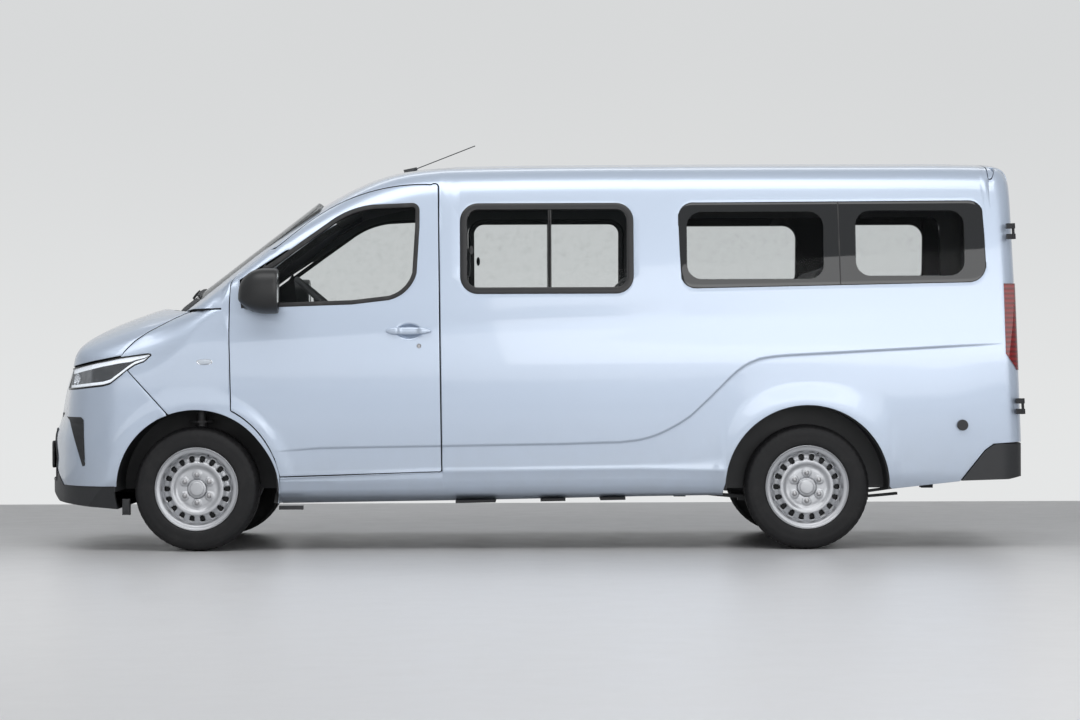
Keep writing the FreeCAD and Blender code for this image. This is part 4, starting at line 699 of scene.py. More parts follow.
def glassMaterial(name, tint=(0.972, 0.980, 0.980), density=0.02):
    # Thin window glass: mostly see-through with a clear reflection and faint dust.
    s = Shader(name, (0.02, 0.026, 0.028), 0.02, Specular_IOR_Level=0.6)
    through = s.node("ShaderNodeBsdfTransparent", {}, {0: tint})
    dust = s.noise(26.0, 5.0, 0.7).step(0.45, 0.9) * 0.05
    edge = s.node("ShaderNodeFresnel", {}, {"IOR": 1.5})
    s.set("Roughness", 0.015 + dust * 0.5)
    return s.blendWith(1 - (density + edge * 0.8 + dust).least(1.0), through)


def clothMaterial(name, color, accent):
    # Woven seat cloth: crossing threads in relief, mottled yarn and a soft sheen.
    s = Shader(name, color, 0.9, Sheen_Weight=0.35, Sheen_Roughness=0.5)
    x, y, z = s.xyz()
    warp = ((x + z) * 2600.0).sine()
    weft = ((y + z * 0.6) * 2600.0).sine()
    thread = warp * weft * 0.5 + 0.5
    yarn = s.noise(340.0, 3.0)
    s.set("Base Color", s.mix(thread * yarn * 1.2, color, accent))
    s.set("Roughness", 0.82 + yarn * 0.12)
    return s.relief(thread + yarn * 0.6, 0.0004, 0.5)


def lampMaterial(name, color, deep, ridges=260.0, axis=2, glow=0.0, coat=1.0):
    # Moulded lamp plastic: fluted optics showing through a glossy clear surface.
    s = Shader(name, color, 0.12, Coat_Weight=coat, Coat_Roughness=0.02, Emission_Strength=glow)
    s.set("Emission Color", color)
    flute = (s.xyz()[axis] * ridges).sine() * 0.5 + 0.5
    cloud = s.noise(18.0, 4.0)
    s.set("Base Color", s.mix(flute * 0.5 + cloud * 0.3, deep, color))
    s.set("Roughness", 0.10 + cloud * 0.10)
    return s.relief(flute, 0.0006, 0.5)


def clearMaterial(name, tint=(0.96, 0.97, 0.98), density=0.03):
    s = Shader(name, (0.9, 0.92, 0.94), 0.03)
    through = s.node("ShaderNodeBsdfTransparent", {}, {0: tint})
    haze = s.noise(30.0, 4.0).step(0.5, 0.9) * 0.04
    edge = s.node("ShaderNodeFresnel", {}, {"IOR": 1.45})
    s.set("Roughness", 0.03 + haze)
    return s.blendWith(1 - (density + edge * 0.2 + haze).least(1.0), through)


finish = {
    "body_paint": paintMaterial().material,
    "black_plastic": plasticMaterial("black_plastic", (0.018, 0.019, 0.021), 0.46).material,
    "lamp_clear": clearMaterial("lamp_clear").material,
    "lamp_red": lampMaterial("lamp_red", (0.33, 0.001, 0.003), (0.06, 0.0, 0.001), coat=0.25).material,
    "glazing": glassMaterial("glazing").material,
    "underbody": plasticMaterial("underbody", (0.045, 0.047, 0.050), 0.75, 500.0, 0.0006).material,
    "chassis_black": metalShader("chassis_black", (0.022, 0.023, 0.025), 0.5, 0.15, 0.3).material,
    "battery_case": metalShader("battery_case", (0.30, 0.31, 0.33), 0.42, 0.0, 0.9).material,
    "rail_steel": metalShader("rail_steel", (0.42, 0.43, 0.45), 0.32, 0.0, 0.95).material,
    "cast_parts": metalShader("cast_parts", (0.17, 0.17, 0.175), 0.55, 0.5, 0.8).material,
    "cabin_plastic": plasticMaterial("cabin_plastic", (0.075, 0.077, 0.080), 0.6, 1100.0).material,
    "seat_cloth": clothMaterial("seat_cloth", (0.035, 0.037, 0.042), (0.075, 0.080, 0.092)).material,
    "rubber_tyre": rubberMaterial("rubber_tyre").material,
    "wheel_silver": metalShader("wheel_silver", (0.52, 0.53, 0.55), 0.33, 0.0, 0.75).material,
}
print("materials", len(finish))



def finishNodes():
    slots = {part: row["material_slot"] for row in frame["record"]["subparts"] for part in [row["node"]]}
    for name, node in nodes.items():
        material = finish[slots[name]]
        if not node.material_slots:
            node.data.materials.append(material)
        for holder in node.material_slots:
            holder.link = "OBJECT"
            holder.material = material


finishNodes()



panelShape = {
    "rearTurn": -2.30, "rearReach": 0.19, "fanReach": 0.30, "gap": 0.0055, "step": 0.038,
    "doorTilt": 0.0108, "roofSeam": 0.690, "pillarRear": 0.088,
    "headerX": -2.296,
}
doorRows = ((452.5, 1798), (452.5, 437), (472, 398, 454, 400), (1248, 375), (1488, 705, 1335, 575),
            (1497, 1090),
            (1495, 1250), (1430, 1381, 1478, 1325), (1109, 1646), (486, 1829, 800, 1796), (452.5, 1798,
                    454, 1829))
doorGlassRows = ((1436, 1215), (1448, 1325), (1001, 1645), (784, 1730, 895, 1704), (590, 1738),
                 (552, 1700, 562, 1727), (552, 1620), (566, 1388), (705, 1253, 612, 1305),
                 (888, 1232), (1436, 1215))
rearGlassRows = ((-742, 1655), (-829, 1736, -762, 1714), (-2190, 1742), (-2268, 1660, -2248, 1720),
                 (-2274, 1440), (-2195, 1331, -2250, 1355), (-830, 1305), (-752, 1390, -773, 1328),
                 (-742, 1655))


def roundedRows(a0, a1, b0, b1, r):
    k = r * 0.2929
    return ((a0 + r, b0), (a1 - r, b0), (a1, b0 + r, a1 - k, b0 + k), (a1, b1 - r),
            (a1 - r, b1, a1 - k, b1 - k), (a0 + r, b1), (a0, b1 - r, a0 + k, b1 - k), (a0, b0 + r),
            (a0 + r, b0, a0 + k, b0 + k))


def grownOutline(points, amount):
    # Each point moved along the outline's own normal, outward for a plus amount.
    loop = points[:-1] if np.allclose(points[0], points[-1]) else points
    tangent = normalized(np.roll(loop, -1, 0) - np.roll(loop, 1, 0))
    area = np.sum(loop[:, 0] * np.roll(loop[:, 1], -1) - np.roll(loop[:, 0], -1) * loop[:, 1])
    out = np.stack([tangent[:, 1], -tangent[:, 0]], 1) * np.sign(area)
    moved = loop + out * amount
    return np.concatenate([moved, moved[:1]])


doorLine = outline(doorRows, 0.008)
doorCorner = 1 - np.cos(np.linspace(0, math.pi / 2, 7))
doorGlassLine = outline(doorGlassRows, 0.012)
rearGlassLine = outline(rearGlassRows, 0.012)
middleGlassLine = outline(roundedRows(-517, 346, 1282, 1735, 87), 0.012)
slidingLine = outline(roundedRows(-640, 432, 400, 1828, 60), 0.012)
fanFoot = smoothCurve((-2.6, 0.8, 0.95, 1.045, 1.2, 1.5, 1.8), (1.70, 1.70, 1.66, 1.60, 1.46, 1.20, 0.98))


def bodyRays(u, w, side=1):
    # Points of the body at side view positions. Behind the rear turn the rays fan round to
    # the rear face, and above the fan's foot they fan up to the roof.
    s = panelShape
    u, w = np.broadcast_arrays(np.asarray(u, float), np.asarray(w, float))
    foot = fanFoot(u)
    up = np.clip((w - foot) / s["fanReach"], 0, 1.7) * 1.18
    back = np.clip((s["rearTurn"] - u) / s["rearReach"], 0, 1.1) * math.pi / 2
    start = np.stack([np.maximum(u, s["rearTurn"]), np.full(u.shape, 0.52), np.minimum(w, foot)], -1)
    way = np.stack([-np.sin(back) * np.cos(up), np.cos(back) * np.cos(up), np.sin(up)], -1)
    point = surfaceAlong(bodyField, start, way, 0.9)
    point[..., 1] *= side
    return point


def fanWhere(u, value, axis=1, count=90):
    # The fan coordinate where the surface reaches a given half width (axis 1) or height (2).
    u = np.asarray(u, float)
    foot = fanFoot(u)
    trial = foot[:, None] + np.linspace(-0.45, 0.46, count)[None, :]
    reached = bodyRays(u[:, None], trial)[..., axis]
    want = np.broadcast_to(value, u.shape)
    if axis == 1:
        return np.array([np.interp(-v, -row[count // 2:], t[count // 2:])
                         for v, row, t in zip(want, np.minimum.accumulate(reached, 1), trial)])
    return np.array([np.interp(v, row, t)
                     for v, row, t in zip(want, np.maximum.accumulate(reached, 1), trial)])


def pillarEdge(x):
    # Half width of the roof seam, then of the windscreen's edge.
    return np.interp(x, (-3, 0.98, 1.09, 1.2, 1.66, 1.72, 1.80), (0.690, 0.690, 0.636, 0.645, 0.697, 0.712,
            0.716))


def bottomLine(x):
    s = bodyShape
    z = np.interp(x, (-2.44, -2.305, -2.262, -2.147, -2.14, -1.769, -0.972, -0.548, 0.25, 1.249),
                  (0.535, 0.526, 0.495, 0.349, 0.339, 0.298, 0.272, 0.266, 0.249, 0.234))
    reach = s["archRadius"] ** 2 - (x - s["rearAxle"]) ** 2
    return np.where(reach > 0, np.maximum(z, s["wheelR"] + np.sqrt(np.maximum(reach, 0))), z)


def doorFront(z):
    # The door's front edge between its lower and upper corners, and above and below them.
    return np.interp(z, (0.705, 1.09, 1.25, 1.325), (1.488, 1.497, 1.495, 1.488))


def slantShift(x, z):
    # Columns near the door's rear and front edges lean with them.
    rear = smoothStep(0.62, 0.455, x) * smoothStep(0.25, 0.44, x)
    front = smoothStep(1.36, 1.48, x) * smoothStep(1.62, 1.50, x)
    return (z - 1.09) * panelShape["doorTilt"] * rear + (doorFront(z) - 1.488) * front


def rearEdge(z):
    # Half width of the rear door at a height.
    return 0.900 - np.clip((z - 0.85) / 0.95, 0, None) * 0.1 - panelShape["pillarRear"]


def sideGrid(xs, curves, counts, side):
    # Columns at the side view positions. Behind the rear turn they spread evenly to the
    # rear door's edge.
    u, w = bandGrid(xs, curves, counts)
    if xs[0] < panelShape["rearTurn"]:
        level = w[0]
        trial = np.linspace(-2.34, -2.52, 60)
        reached = bodyRays(trial[:, None], level[None, :])
        wanted = rearEdge(reached[..., 2]) + panelShape["gap"]
        over = reached[..., 1] - wanted
        end = np.array([np.interp(0, -over[:, k], trial) for k in range(len(level))])
        share = np.clip((panelShape["rearTurn"] - u) / (panelShape["rearTurn"] - xs[0]), 0, 1)
        u = np.where(share > 0, panelShape["rearTurn"] + share * (end[None, :] - panelShape["rearTurn"]), u)
    return bodyRays(u + slantShift(u, np.minimum(w, 1.83)), w, side)


def stacked(curves, gap=0.004):
    # Boundary curves kept in rising order with a small gap between them.
    rows = [curves[0]]
    for curve in curves[1:-1]:
        rows.append(np.maximum(curve, rows[-1] + gap))
    rows.append(curves[-1])
    for k in range(len(rows) - 2, 0, -1):
        rows[k] = np.minimum(rows[k], rows[k + 1] - gap)
    return rows


def styleRows(xs):
    # Heights of the sill step, the crease and the shoulder at each column.
    sill = np.interp(xs, (-2.2, -2.041, -1.772, -0.97, -0.547, 0.451, 1.246), (0.470, 0.456, 0.432, 0.400,
            0.411, 0.401, 0.368))
    crease = np.interp(xs, creaseLine[:, 0], creaseLine[:, 1])
    shoulder = np.interp(xs, shoulderLine[:, 0], shoulderLine[:, 1])
    return [sill - 0.010, sill + 0.008, crease - 0.060, crease - 0.014, crease, crease + 0.008, shoulder]


def windowBands(xs, holes, low=1.30, high=1.73):
    # Lowest and highest edge of whichever hole a column crosses, carried across between them.
    lows, highs = np.full(len(xs), np.nan), np.full(len(xs), np.nan)
    for hole in holes:
        a, b = outlineSpan(hole, xs)
        inside = (xs >= hole[:, 0].min() - 1e-7) & (xs <= hole[:, 0].max() + 1e-7)
        lows, highs = np.where(inside, a, lows), np.where(inside, b, highs)
    known = ~np.isnan(lows)
    return carried(xs, lows, known, low), carried(xs, highs, known, high)


def carried(xs, values, known, rest):
    # Values between holes: held from the left hole, then turned to the right hole's in the
    # last few millimetres before it.
    if not known.any():
        return np.full(len(xs), rest)
    before = np.maximum.accumulate(np.where(known, np.arange(len(xs)), -1))
    held = np.where(before >= 0, values[np.maximum(before, 0)], values[known][0])
    after = np.minimum.accumulate(np.where(known, np.arange(len(xs)), len(xs))[::-1])[::-1]
    nextX = xs[np.minimum(after, len(xs) - 1)]
    nextValue = np.where(after < len(xs), values[np.minimum(after, len(xs) - 1)], held)
    share = np.where(np.abs(nextValue - held) < 0.4, (xs - xs[np.maximum(before, 0)])
                     / np.maximum(nextX - xs[np.maximum(before, 0)], 1e-9), smoothStep(nextX - 0.0026,
                             nextX, xs))
    return np.where(known, values, held + (nextValue - held) * np.clip(share, 0, 1))


def insideSpan(xs, hole):
    mid = (xs[:-1] + xs[1:]) / 2
    return (mid > hole[:, 0].min()) & (mid < hole[:, 0].max())


# Near-black painted shade for the deep walls of the gaps between panels, whose real jambs are body colour.
gapShadeBlack = rubberMaterial("gap_black", (0.010, 0.010, 0.011), 0.7).material


def paintedPanel(name, grid, keep, outward, body, *replaced, depth=0.040, inner="cabin_plastic",
                 shift=(0, 0, 0), field=None):
    points, faces = panelShell(grid, keep, outward, depth, shift, None, field)
    kept = int(keep.sum())
    ids = np.zeros(len(faces), int)
    ids[len(faces) - kept:] = 1
    # The deep wall of every gap takes the near-black painted shade, so the gaps read as dark lines.
    rim = (len(faces) - 2 * kept) // (hem["turns"] + 2)
    ids[len(faces) - kept - rim:len(faces) - kept] = 2
    piece = addMesh(name, points, faces, [finish["body_paint"], finish[inner], gapShadeBlack], True, ids)
    crisp(piece, 50)
    return place(piece, body, "body_paint", *replaced)


def makeBodySide(side):
    s = panelShape
    name = "left" if side > 0 else "right"
    door = grownOutline(doorLine, s["gap"])
    door[:, 0] = np.clip(door[:, 0], 0.4465, 1.4925)
    sliding = grownOutline(slidingLine, s["gap"])
    middle = middleGlassLine if side > 0 else sliding
    holes = [rearGlassLine, middle, door]
    ends = np.concatenate([[h[:, 0].min(), h[:, 0].max()] for h in holes])
    arch = bodyShape["rearAxle"] + 0.4095 * np.sin(np.linspace(-math.pi / 2, math.pi / 2, 41))
    flank = np.arange(0.41, 0.50, 0.012)
    extra = np.concatenate([ends, arch, bodyShape["rearAxle"] + flank, bodyShape["rearAxle"] - flank,
                            [-2.305, -2.262, -2.147, -2.14, 1.249, -2.49, 1.76], np.linspace(-2.30, -2.49,
                                    22),
                            [s["headerX"], 0.4435], 0.4465 + 0.04 * doorCorner] + [cornerColumns(h)
                                    for h in holes])
    xs = spacing(-2.49, 1.76, s["step"], extra)
    low, high = windowBands(xs, holes)
    beyond = xs > door[:, 0].max() + 1e-6
    low = np.where(beyond, fanWhere(xs, 1.2135, 2), low)
    high = np.where(beyond, fanWhere(xs, 1.2200, 2), high)
    low = np.where(xs > 1.249, np.maximum(low, 0.39), low)
    bottom = np.minimum(bottomLine(xs), low - 0.06)
    top = np.where(xs < s["headerX"], fanWhere(xs, 1.8475, 2), fanWhere(xs, pillarEdge(xs)))
    high = np.where(high > 1.5, fanWhere(xs, high, 2), high)
    styled = styleRows(xs)
    styled = [np.minimum(row, low - 0.004 * (len(styled) - k)) for k, row in enumerate(styled)]
    turn = np.maximum(bottom + 0.004, 0.291)
    curves = stacked([bottom, turn] + styled + [low, high, top], 0.0035)
    counts = (2, 3, 2, 5, 5, 4, 2, 12, 7, 9, 12)
    grid = sideGrid(xs, curves, counts, side)
    keep = np.ones((len(xs) - 1, sum(counts)), bool)
    first = sum(counts[:9])
    for hole in holes:
        keep[insideSpan(xs, hole), first:first + counts[9]] = False
    mid = (xs[:-1] + xs[1:]) / 2
    keep[mid > 1.249, :first] = False
    keep[mid > door[:, 0].max(), first:first + counts[9]] = True
    return paintedPanel("skin_side_" + name, grid, keep, (0, side, 0), "body", "body_side_" + name,
                        field=bodyField)


def makeFrontDoor(side):
    name = "left" if side > 0 else "right"
    hole = doorGlassLine
    xs = spacing(0.4525, 1.488, 0.025, np.concatenate([0.4525 + 0.0335 * doorCorner, [hole[:, 0].min(),
            hole[:, 0].max(), 0.467, 1.248],
                                                      cornerColumns(hole), 1.488 - 0.24 * (1
                                                              - np.sin(np.linspace(0, 1.57, 16))),
                                                      np.linspace(0.53, 0.68, 22)]))
    line = doorLine.copy()
    line[:, 0] = np.clip(line[:, 0], 0.4525, 1.488)
    bottom, top = outlineSpan(line, xs)
    low, high = windowBands(xs, [hole])
    low = np.clip(low, bottom + 0.03, top - 0.02)
    high = np.clip(high, low + 0.004, top - 0.006)
    top = np.where(top > 1.5, fanWhere(xs, np.minimum(top, 1.90), 2), top)
    high = np.where(high > 1.5, fanWhere(xs, high, 2), high)
    _, _, foot, under, crease, over, _ = styleRows(xs)
    cup = handleCup[1]
    curves = stacked([bottom, foot, under, crease, over, np.full(len(xs), cup - 0.055), np.full(len(xs),
            cup + 0.055),
                      low, high, top], 0.003)
    counts = (6, 5, 5, 2, 18, 16, 7, 9, 9)
    grid = sideGrid(xs, curves, counts, side)
    keep = np.ones((len(xs) - 1, sum(counts)), bool)
    first = sum(counts[:7])
    keep[insideSpan(xs, hole), first:first + counts[7]] = False
    return paintedPanel("skin_front_door_" + name, grid, keep, (0, side, 0), "front_door_" + name,
                        "front_door_" + name, depth=0.045)


def makeSlidingDoor():
    hole = middleGlassLine
    xs = spacing(-0.640, 0.432, 0.024, np.concatenate([[hole[:, 0].min(), hole[:, 0].max()],
                                                       cornerColumns(hole),
                                                      cornerColumns(slidingLine, 7, 0.06)]))
    bottom, top = outlineSpan(slidingLine, xs)
    low, high = windowBands(xs, [hole])
    top = fanWhere(xs, np.minimum(top, 1.90), 2)
    high = np.where(high > 1.5, fanWhere(xs, high, 2), high)
    _, _, foot, under, crease, over, shoulder = styleRows(xs)
    curves = stacked([bottom, foot, under, crease, over, shoulder, low, high, top])
    counts = (5, 6, 5, 2, 14, 8, 10, 12)
    grid = sideGrid(xs, curves, counts, -1)
    keep = np.ones((len(xs) - 1, sum(counts)), bool)
    first = sum(counts[:6])
    keep[insideSpan(xs, hole), first:first + counts[6]] = False
    return paintedPanel("skin_sliding_door", grid, keep, (0, -1, 0), "body", "sliding_door", depth=0.045)


def verticalRays(x, y, field):
    x, y = np.broadcast_arrays(np.asarray(x, float), np.asarray(y, float))
    start = np.stack([x, y, np.full(x.shape, 0.75)], -1)
    return surfaceAlong(field, start, np.array([0, 0, 1.0]) + np.zeros(start.shape), 1.5)


def roofRibs(x, y):
    # Pressed grooves along the roof, each fading out at its ends.
    depth = np.zeros(np.broadcast(x, y).shape)
    for centre in (0.0, 0.21, 0.42, -0.21, -0.42):
        depth = depth + smoothStep(0.045, 0.028, np.abs(y - centre))
    return 0.006 * depth * smoothStep(-2.18, -2.10, x) * smoothStep(0.42, 0.30, x)


def makeRoof():
    edge = panelShape["roofSeam"] - 0.002
    ys = spacing(-edge, edge, 0.03, np.concatenate([c + np.array([-0.045, -0.036, -0.028, 0, 0.028, 0.036,
            0.045])
                                                   for c in (0.0, 0.21, 0.42, -0.21, -0.42)]))
    xs = spacing(panelShape["headerX"] + 0.003, 0.98, 0.05, [0.42, 0.39, 0.36, 0.33, 0.30, -2.18, -2.16,
                                                             -2.13, -2.10])
    front = 1.094 - 0.028 * (ys / 0.6) ** 2
    rows = np.concatenate([xs[:, None] + np.zeros(len(ys)),
                           0.98 + (front - 0.98)[None, :] * np.linspace(0, 1, 6)[1:, None]])
    width = np.where(rows > 0.98, 1 + (np.minimum(pillarEdge(rows) - 0.002, edge) / edge - 1), 1)
    across = ys[None, :] * width
    grid = verticalRays(rows, across, bodyField)
    grid[..., 2] -= roofRibs(rows, across)
    keep = np.ones((grid.shape[0] - 1, grid.shape[1] - 1), bool)
    return paintedPanel("skin_roof", grid, keep, (0, 0, 1), "body", "roof_panel", depth=0.03)


def makeHeader():
    # The panel above the rear doors: its middle turns from the roof to the rear face, and
    # its two ends cover the roof's corners.
    s = panelShape
    edge = s["roofSeam"]
    ys = np.linspace(-edge, edge, 47)
    angle = np.linspace(0, math.pi / 2, 21)
    start = np.stack(np.broadcast_arrays(np.full((21, 47), s["headerX"] - 0.005), ys[None, :], 1.851), -1)
    way = np.stack(np.broadcast_arrays(-np.sin(angle)[:, None], np.zeros((1, 47)), np.cos(angle)[:, None]),
                   -1)
    middle = surfaceAlong(bodyField, start, way, 0.5)
    keep = np.ones((20, 46), bool)
    parts = [panelShell(middle, keep, np.array([-0.5, 0, 1.0]), 0.03)]
    for side in (1, -1):
        us = np.linspace(s["headerX"] - 0.005, -2.49, 24)
        low = fanWhere(us, 1.8535, 2)
        top = fanWhere(us, np.full(len(us), edge))
        top = np.maximum(top, low + 0.01)
        grid = sideGrid(us[::-1], (low[::-1], top[::-1]), (8,), side)
        parts.append(panelShell(grid, np.ones((len(us) - 1, 8), bool), np.array([0, side, 0.5]), 0.03))
    points, faces = joined(parts)
    piece = addMesh("skin_header", points, faces, finish["body_paint"])
    crisp(piece, 50)
    return place(piece, "body", "body_paint", "rear_header")


def makeRearDoor(side):
    name = "left" if side > 0 else "right"
    z0, z1 = 0.5375, 1.845
    hole = outline(roundedRows(110, 655, 1335, 1738, 60), 0.012)
    ys = spacing(0.0025, 0.812, 0.03, np.concatenate([[0.110, 0.655, 0.68], cornerColumns(hole, 7, 0.06)]))
    low, high = windowBands(ys, [hole])
    plate = [np.full(len(ys), z) for z in (0.66, 0.68, 0.90, 0.92, 1.16, 1.18)]
    curves = stacked([np.full(len(ys), z0)] + plate + [low, high, np.full(len(ys), z1)])
    counts = (5, 3, 8, 3, 8, 3, 5, 10, 5)
    y, z = bandGrid(ys, curves, counts)
    outer = y > 0.68
    y = np.where(outer, 0.68 + (y - 0.68) / 0.132 * (rearEdge(z) - 0.68), y)
    start = np.stack([np.full(y.shape, -1.9), y, z], -1)
    grid = surfaceAlong(bodyField, start, np.array([-1.0, 0, 0]) + np.zeros(start.shape), 0.9)
    panel = smoothStep(0.09, 0.105, y) * smoothStep(0.665, 0.65, y)
    grid[..., 0] += 0.006 * panel * smoothStep(0.66, 0.68, z) * smoothStep(1.18, 1.16, z)
    grid[..., 1] *= side
    keep = np.ones((len(ys) - 1, sum(counts)), bool)
    first = sum(counts[:7])
    keep[insideSpan(ys, hole), first:first + counts[7]] = False
    return paintedPanel("skin_rear_door_" + name, grid, keep, (-1, 0, 0), "rear_door_" + name,
                        "rear_door_" + name, depth=0.045)


for side in (1, -1):
    makeBodySide(side)
    makeFrontDoor(side)
    makeRearDoor(side)
makeSlidingDoor()
makeRoof()
makeHeader()
print("body skins")


noseShape = {
    "lampTop": ((1886, 984), (1899, 989), (2050, 969), (2180, 943), (2301, 917), (2360, 911), (2460, 908)),
    "lampLow": ((1886, 982), (1921, 950), (1966, 934), (1998, 913), (2050, 872), (2092, 840), (2130, 829),
                (2277, 814), (2330, 811),
                (2460, 811)),
    "hoodEdge": ((2040, 979), (2180, 952), (2301, 926), (2360, 920), (2460, 917)),
    "seam": ((2010, 911), (1805, 684)), "lampInner": 0.445, "gap": 0.0035,
    "hoodSeam": ((1640, 1209), (1722, 1193), (1790, 1162), (1863, 1123), (1914, 1095), (1972, 1053),
                 (2010, 1015), (2044, 975)),
}
wheelY, wheelR = bodyShape["wheelY"], bodyShape["wheelR"]
wheelCentre = np.array([bodyShape["frontAxle"], wheelR])


def alongRows(rows, x):
    points = np.array(rows) * mm
    return np.interp(x, points[:, 0], points[:, 1])


def noseAt(angle, z, out=0.0):
    # Surface point of the nose at a plan angle about its middle and a height.
    angle, z = np.broadcast_arrays(np.asarray(angle, float), np.asarray(z, float))
    start = np.stack([np.full(z.shape, 1.5), 0 * z, z], -1)
    way = np.stack([np.cos(angle), np.sin(angle), 0 * z], -1)
    point = surfaceAlong(noseField, start, way, 1.3)
    return point + fieldNormal(noseField, point) * out if out else point


def noseOn(x, z, out=0.0):
    return sideAt(x, z, 1, out, noseField)


def planAngleAt(x, z):
    point = noseOn(x, z)
    return np.arctan2(point[..., 1], point[..., 0] - 1.5)


def noseEdge(angles, rows, shift=0.0):
    # Points of the nose at these plan angles whose heights follow the rows of (x, z).
    z = np.full(len(angles), 0.92)
    for _ in range(5):
        z = alongRows(rows, noseAt(angles, z)[:, 0]) + shift
    return noseAt(angles, z)


def coons(low, high, left, right):
    # Patch between four border curves: both pairs blended, less the corners' blend.
    u = np.linspace(0, 1, len(left))[:, None, None]
    v = np.linspace(0, 1, len(low))[None, :, None]
    ruled = (1 - u) * low[None] + u * high[None] + (1 - v) * left[:, None] + v * right[:, None]
    return ruled - ((1 - u) * ((1 - v) * low[0] + v * low[-1]) + u * ((1 - v) * high[0] + v * high[-1]))


def onNose(points, origin):
    # The points moved to the nose's surface along rays from an inner point.
    origin = np.asarray(origin, float) + np.zeros(points.shape)
    return surfaceAlong(noseField, origin, normalized(points - origin), 1.6)


def evenly(points, count):
    # The same curve with evenly spaced points.
    run = np.concatenate([[0], np.cumsum(np.linalg.norm(np.diff(points, axis=0), axis=1))])
    at = np.linspace(0, run[-1], count)
    return np.stack([np.interp(at, run, points[:, k]) for k in range(points.shape[1])], 1)


def reachOf(angles, line):
    # Distance from the wheel's centre to a line in the side view, at each angle.
    a, b = line[:-1] - wheelCentre, line[1:] - wheelCentre
    way = np.stack([np.cos(angles), np.sin(angles)], 1)[:, None]
    d = (b - a)[None]
    cross = way[..., 0] * d[..., 1] - way[..., 1] * d[..., 0]
    cross = np.where(np.abs(cross) < 1e-12, 1e-12, cross)
    reach = (a[None, :, 0] * d[..., 1] - a[None, :, 1] * d[..., 0]) / cross
    share = (a[None, :, 0] * way[..., 1] - a[None, :, 1] * way[..., 0]) / cross
    hit = (share > -1e-6) & (share < 1 + 1e-6) & (reach > 0)
    return np.where(hit, reach, 9.0).min(1)


def archReach(angles):
    # The arch is a circle, drawn out a little at the foot of its rear side.
    return 0.396 + 0.016 * smoothStep(math.radians(140), math.radians(176), angles)


def makeFender(side):
    # Columns are rays from the wheel's centre: arch, lamp's lower edge, upper edge, panel edge.
    s = noseShape
    deg = math.radians
    line = grownOutline(doorLine, 0.0055)
    door = line[(line[:, 0] > 1.20) & (line[:, 1] < 0.72)]
    door = door[np.argsort(door[:, 1])]
    front = door[:, 0].max()
    hoodSeam = np.array(s["hoodSeam"]) * mm
    outer = np.concatenate([[(1.247, 0.10)], door[(door[:, 1] > 0.385) & (door[:, 0] > 1.246)],
                            [(front + 0.0015, 0.715), (1.503, 1.2075),
                             (1.640, 1.2075)], hoodSeam[1:] - [0.002, 0.002]])
    tip, foot, top = (math.atan2(z - wheelR, x - wheelCentre[0]) for x, z in ((1.886, 0.983),
            (1.805, 0.684), (2.010, 0.911)))
    end = math.atan2(0.972 - wheelR, 2.038 - wheelCentre[0])
    angles = spacing(end, deg(190.5), 0.016, [tip, foot, top, deg(114.2), deg(100.6), deg(180),
                                              deg(176)])[::-1]
    outReach = reachOf(angles, outer)
    low = archReach(angles)
    seam = reachOf(angles, np.array([(2.08, 0.9885), (1.795, 0.6729)]) + [[-s["gap"], 0]])
    low = np.where(angles < foot + 0.02, np.maximum(low, np.where(seam < 5, seam, 0)), low)
    lampLow = reachOf(angles, np.concatenate([np.array(s["lampLow"]) * mm - [0, 0.003]]))
    lampTop = reachOf(angles, np.array(s["lampTop"]) * mm + [0, 0.003])
    share1 = np.interp(tip, angles[::-1], ((0.702 - low) / (outReach - low))[::-1])
    free = angles > tip + 1e-4
    lampLow = np.where(free, low + share1 * (outReach - low), np.minimum(lampLow, 0.702 + (tip - angles) * 9))
    lampTop = np.where(free, lampLow + 0.004, np.maximum(lampTop, lampLow + 0.002))
    outReach = np.maximum(outReach, lampTop + 0.0015)
    low = np.where(angles < top, lampLow - 0.02, np.minimum(low, lampLow - 0.001))
    grids = []
    for inner, out, count in ((low, lampLow, 12), (lampLow, lampTop, 2), (lampTop, outReach, 14)):
        t = np.linspace(0, 1, count + 1)[None, (1 if grids else 0):]
        grids.append(inner[:, None] + (out - inner)[:, None] * t)
    reach = np.concatenate(grids, 1)
    x = wheelCentre[0] + reach * np.cos(angles)[:, None]
    z = wheelCentre[1] + reach * np.sin(angles)[:, None]
    z = np.maximum(z, 0.236)
    grid = noseOn(x, z)
    grid[..., 1] *= side
    keep = np.ones((len(angles) - 1, reach.shape[1] - 1), bool)
    middle = (angles[1:] + angles[:-1]) / 2
    keep[middle < top, :12] = False
    keep[middle < tip, 12:14] = False
    name = "left" if side > 0 else "right"
    return paintedPanel("fender_" + name, grid, keep, (0, side, 0), "body", "front_fenders", depth=0.022)


def hoodBorders():
    s = noseShape
    corner = planAngleAt(2.036, 0.9815)
    across = np.linspace(-corner, corner, 61)
    half = np.abs(across)
    front = noseEdge(half, s["hoodEdge"], 0.002)
    front[:, 1] *= np.sign(across)
    xs = np.linspace(1.706, 2.036, 30)
    left = noseOn(xs, alongRows(s["hoodSeam"], xs) + 0.003)
    left[-1] = front[-1]
    right = left * [1, -1, 1]
    y = np.linspace(right[0, 1], left[0, 1], 61)
    rear = np.stack([1.905 - (1.905 - left[0, 0]) * (y / left[0, 1]) ** 2, y, np.full(61, 0.8)], 1)
    rear = surfaceAlong(noseField, rear, np.array([0, 0, 1.0]) + 0 * rear, 0.6)
    return rear, front, right, left


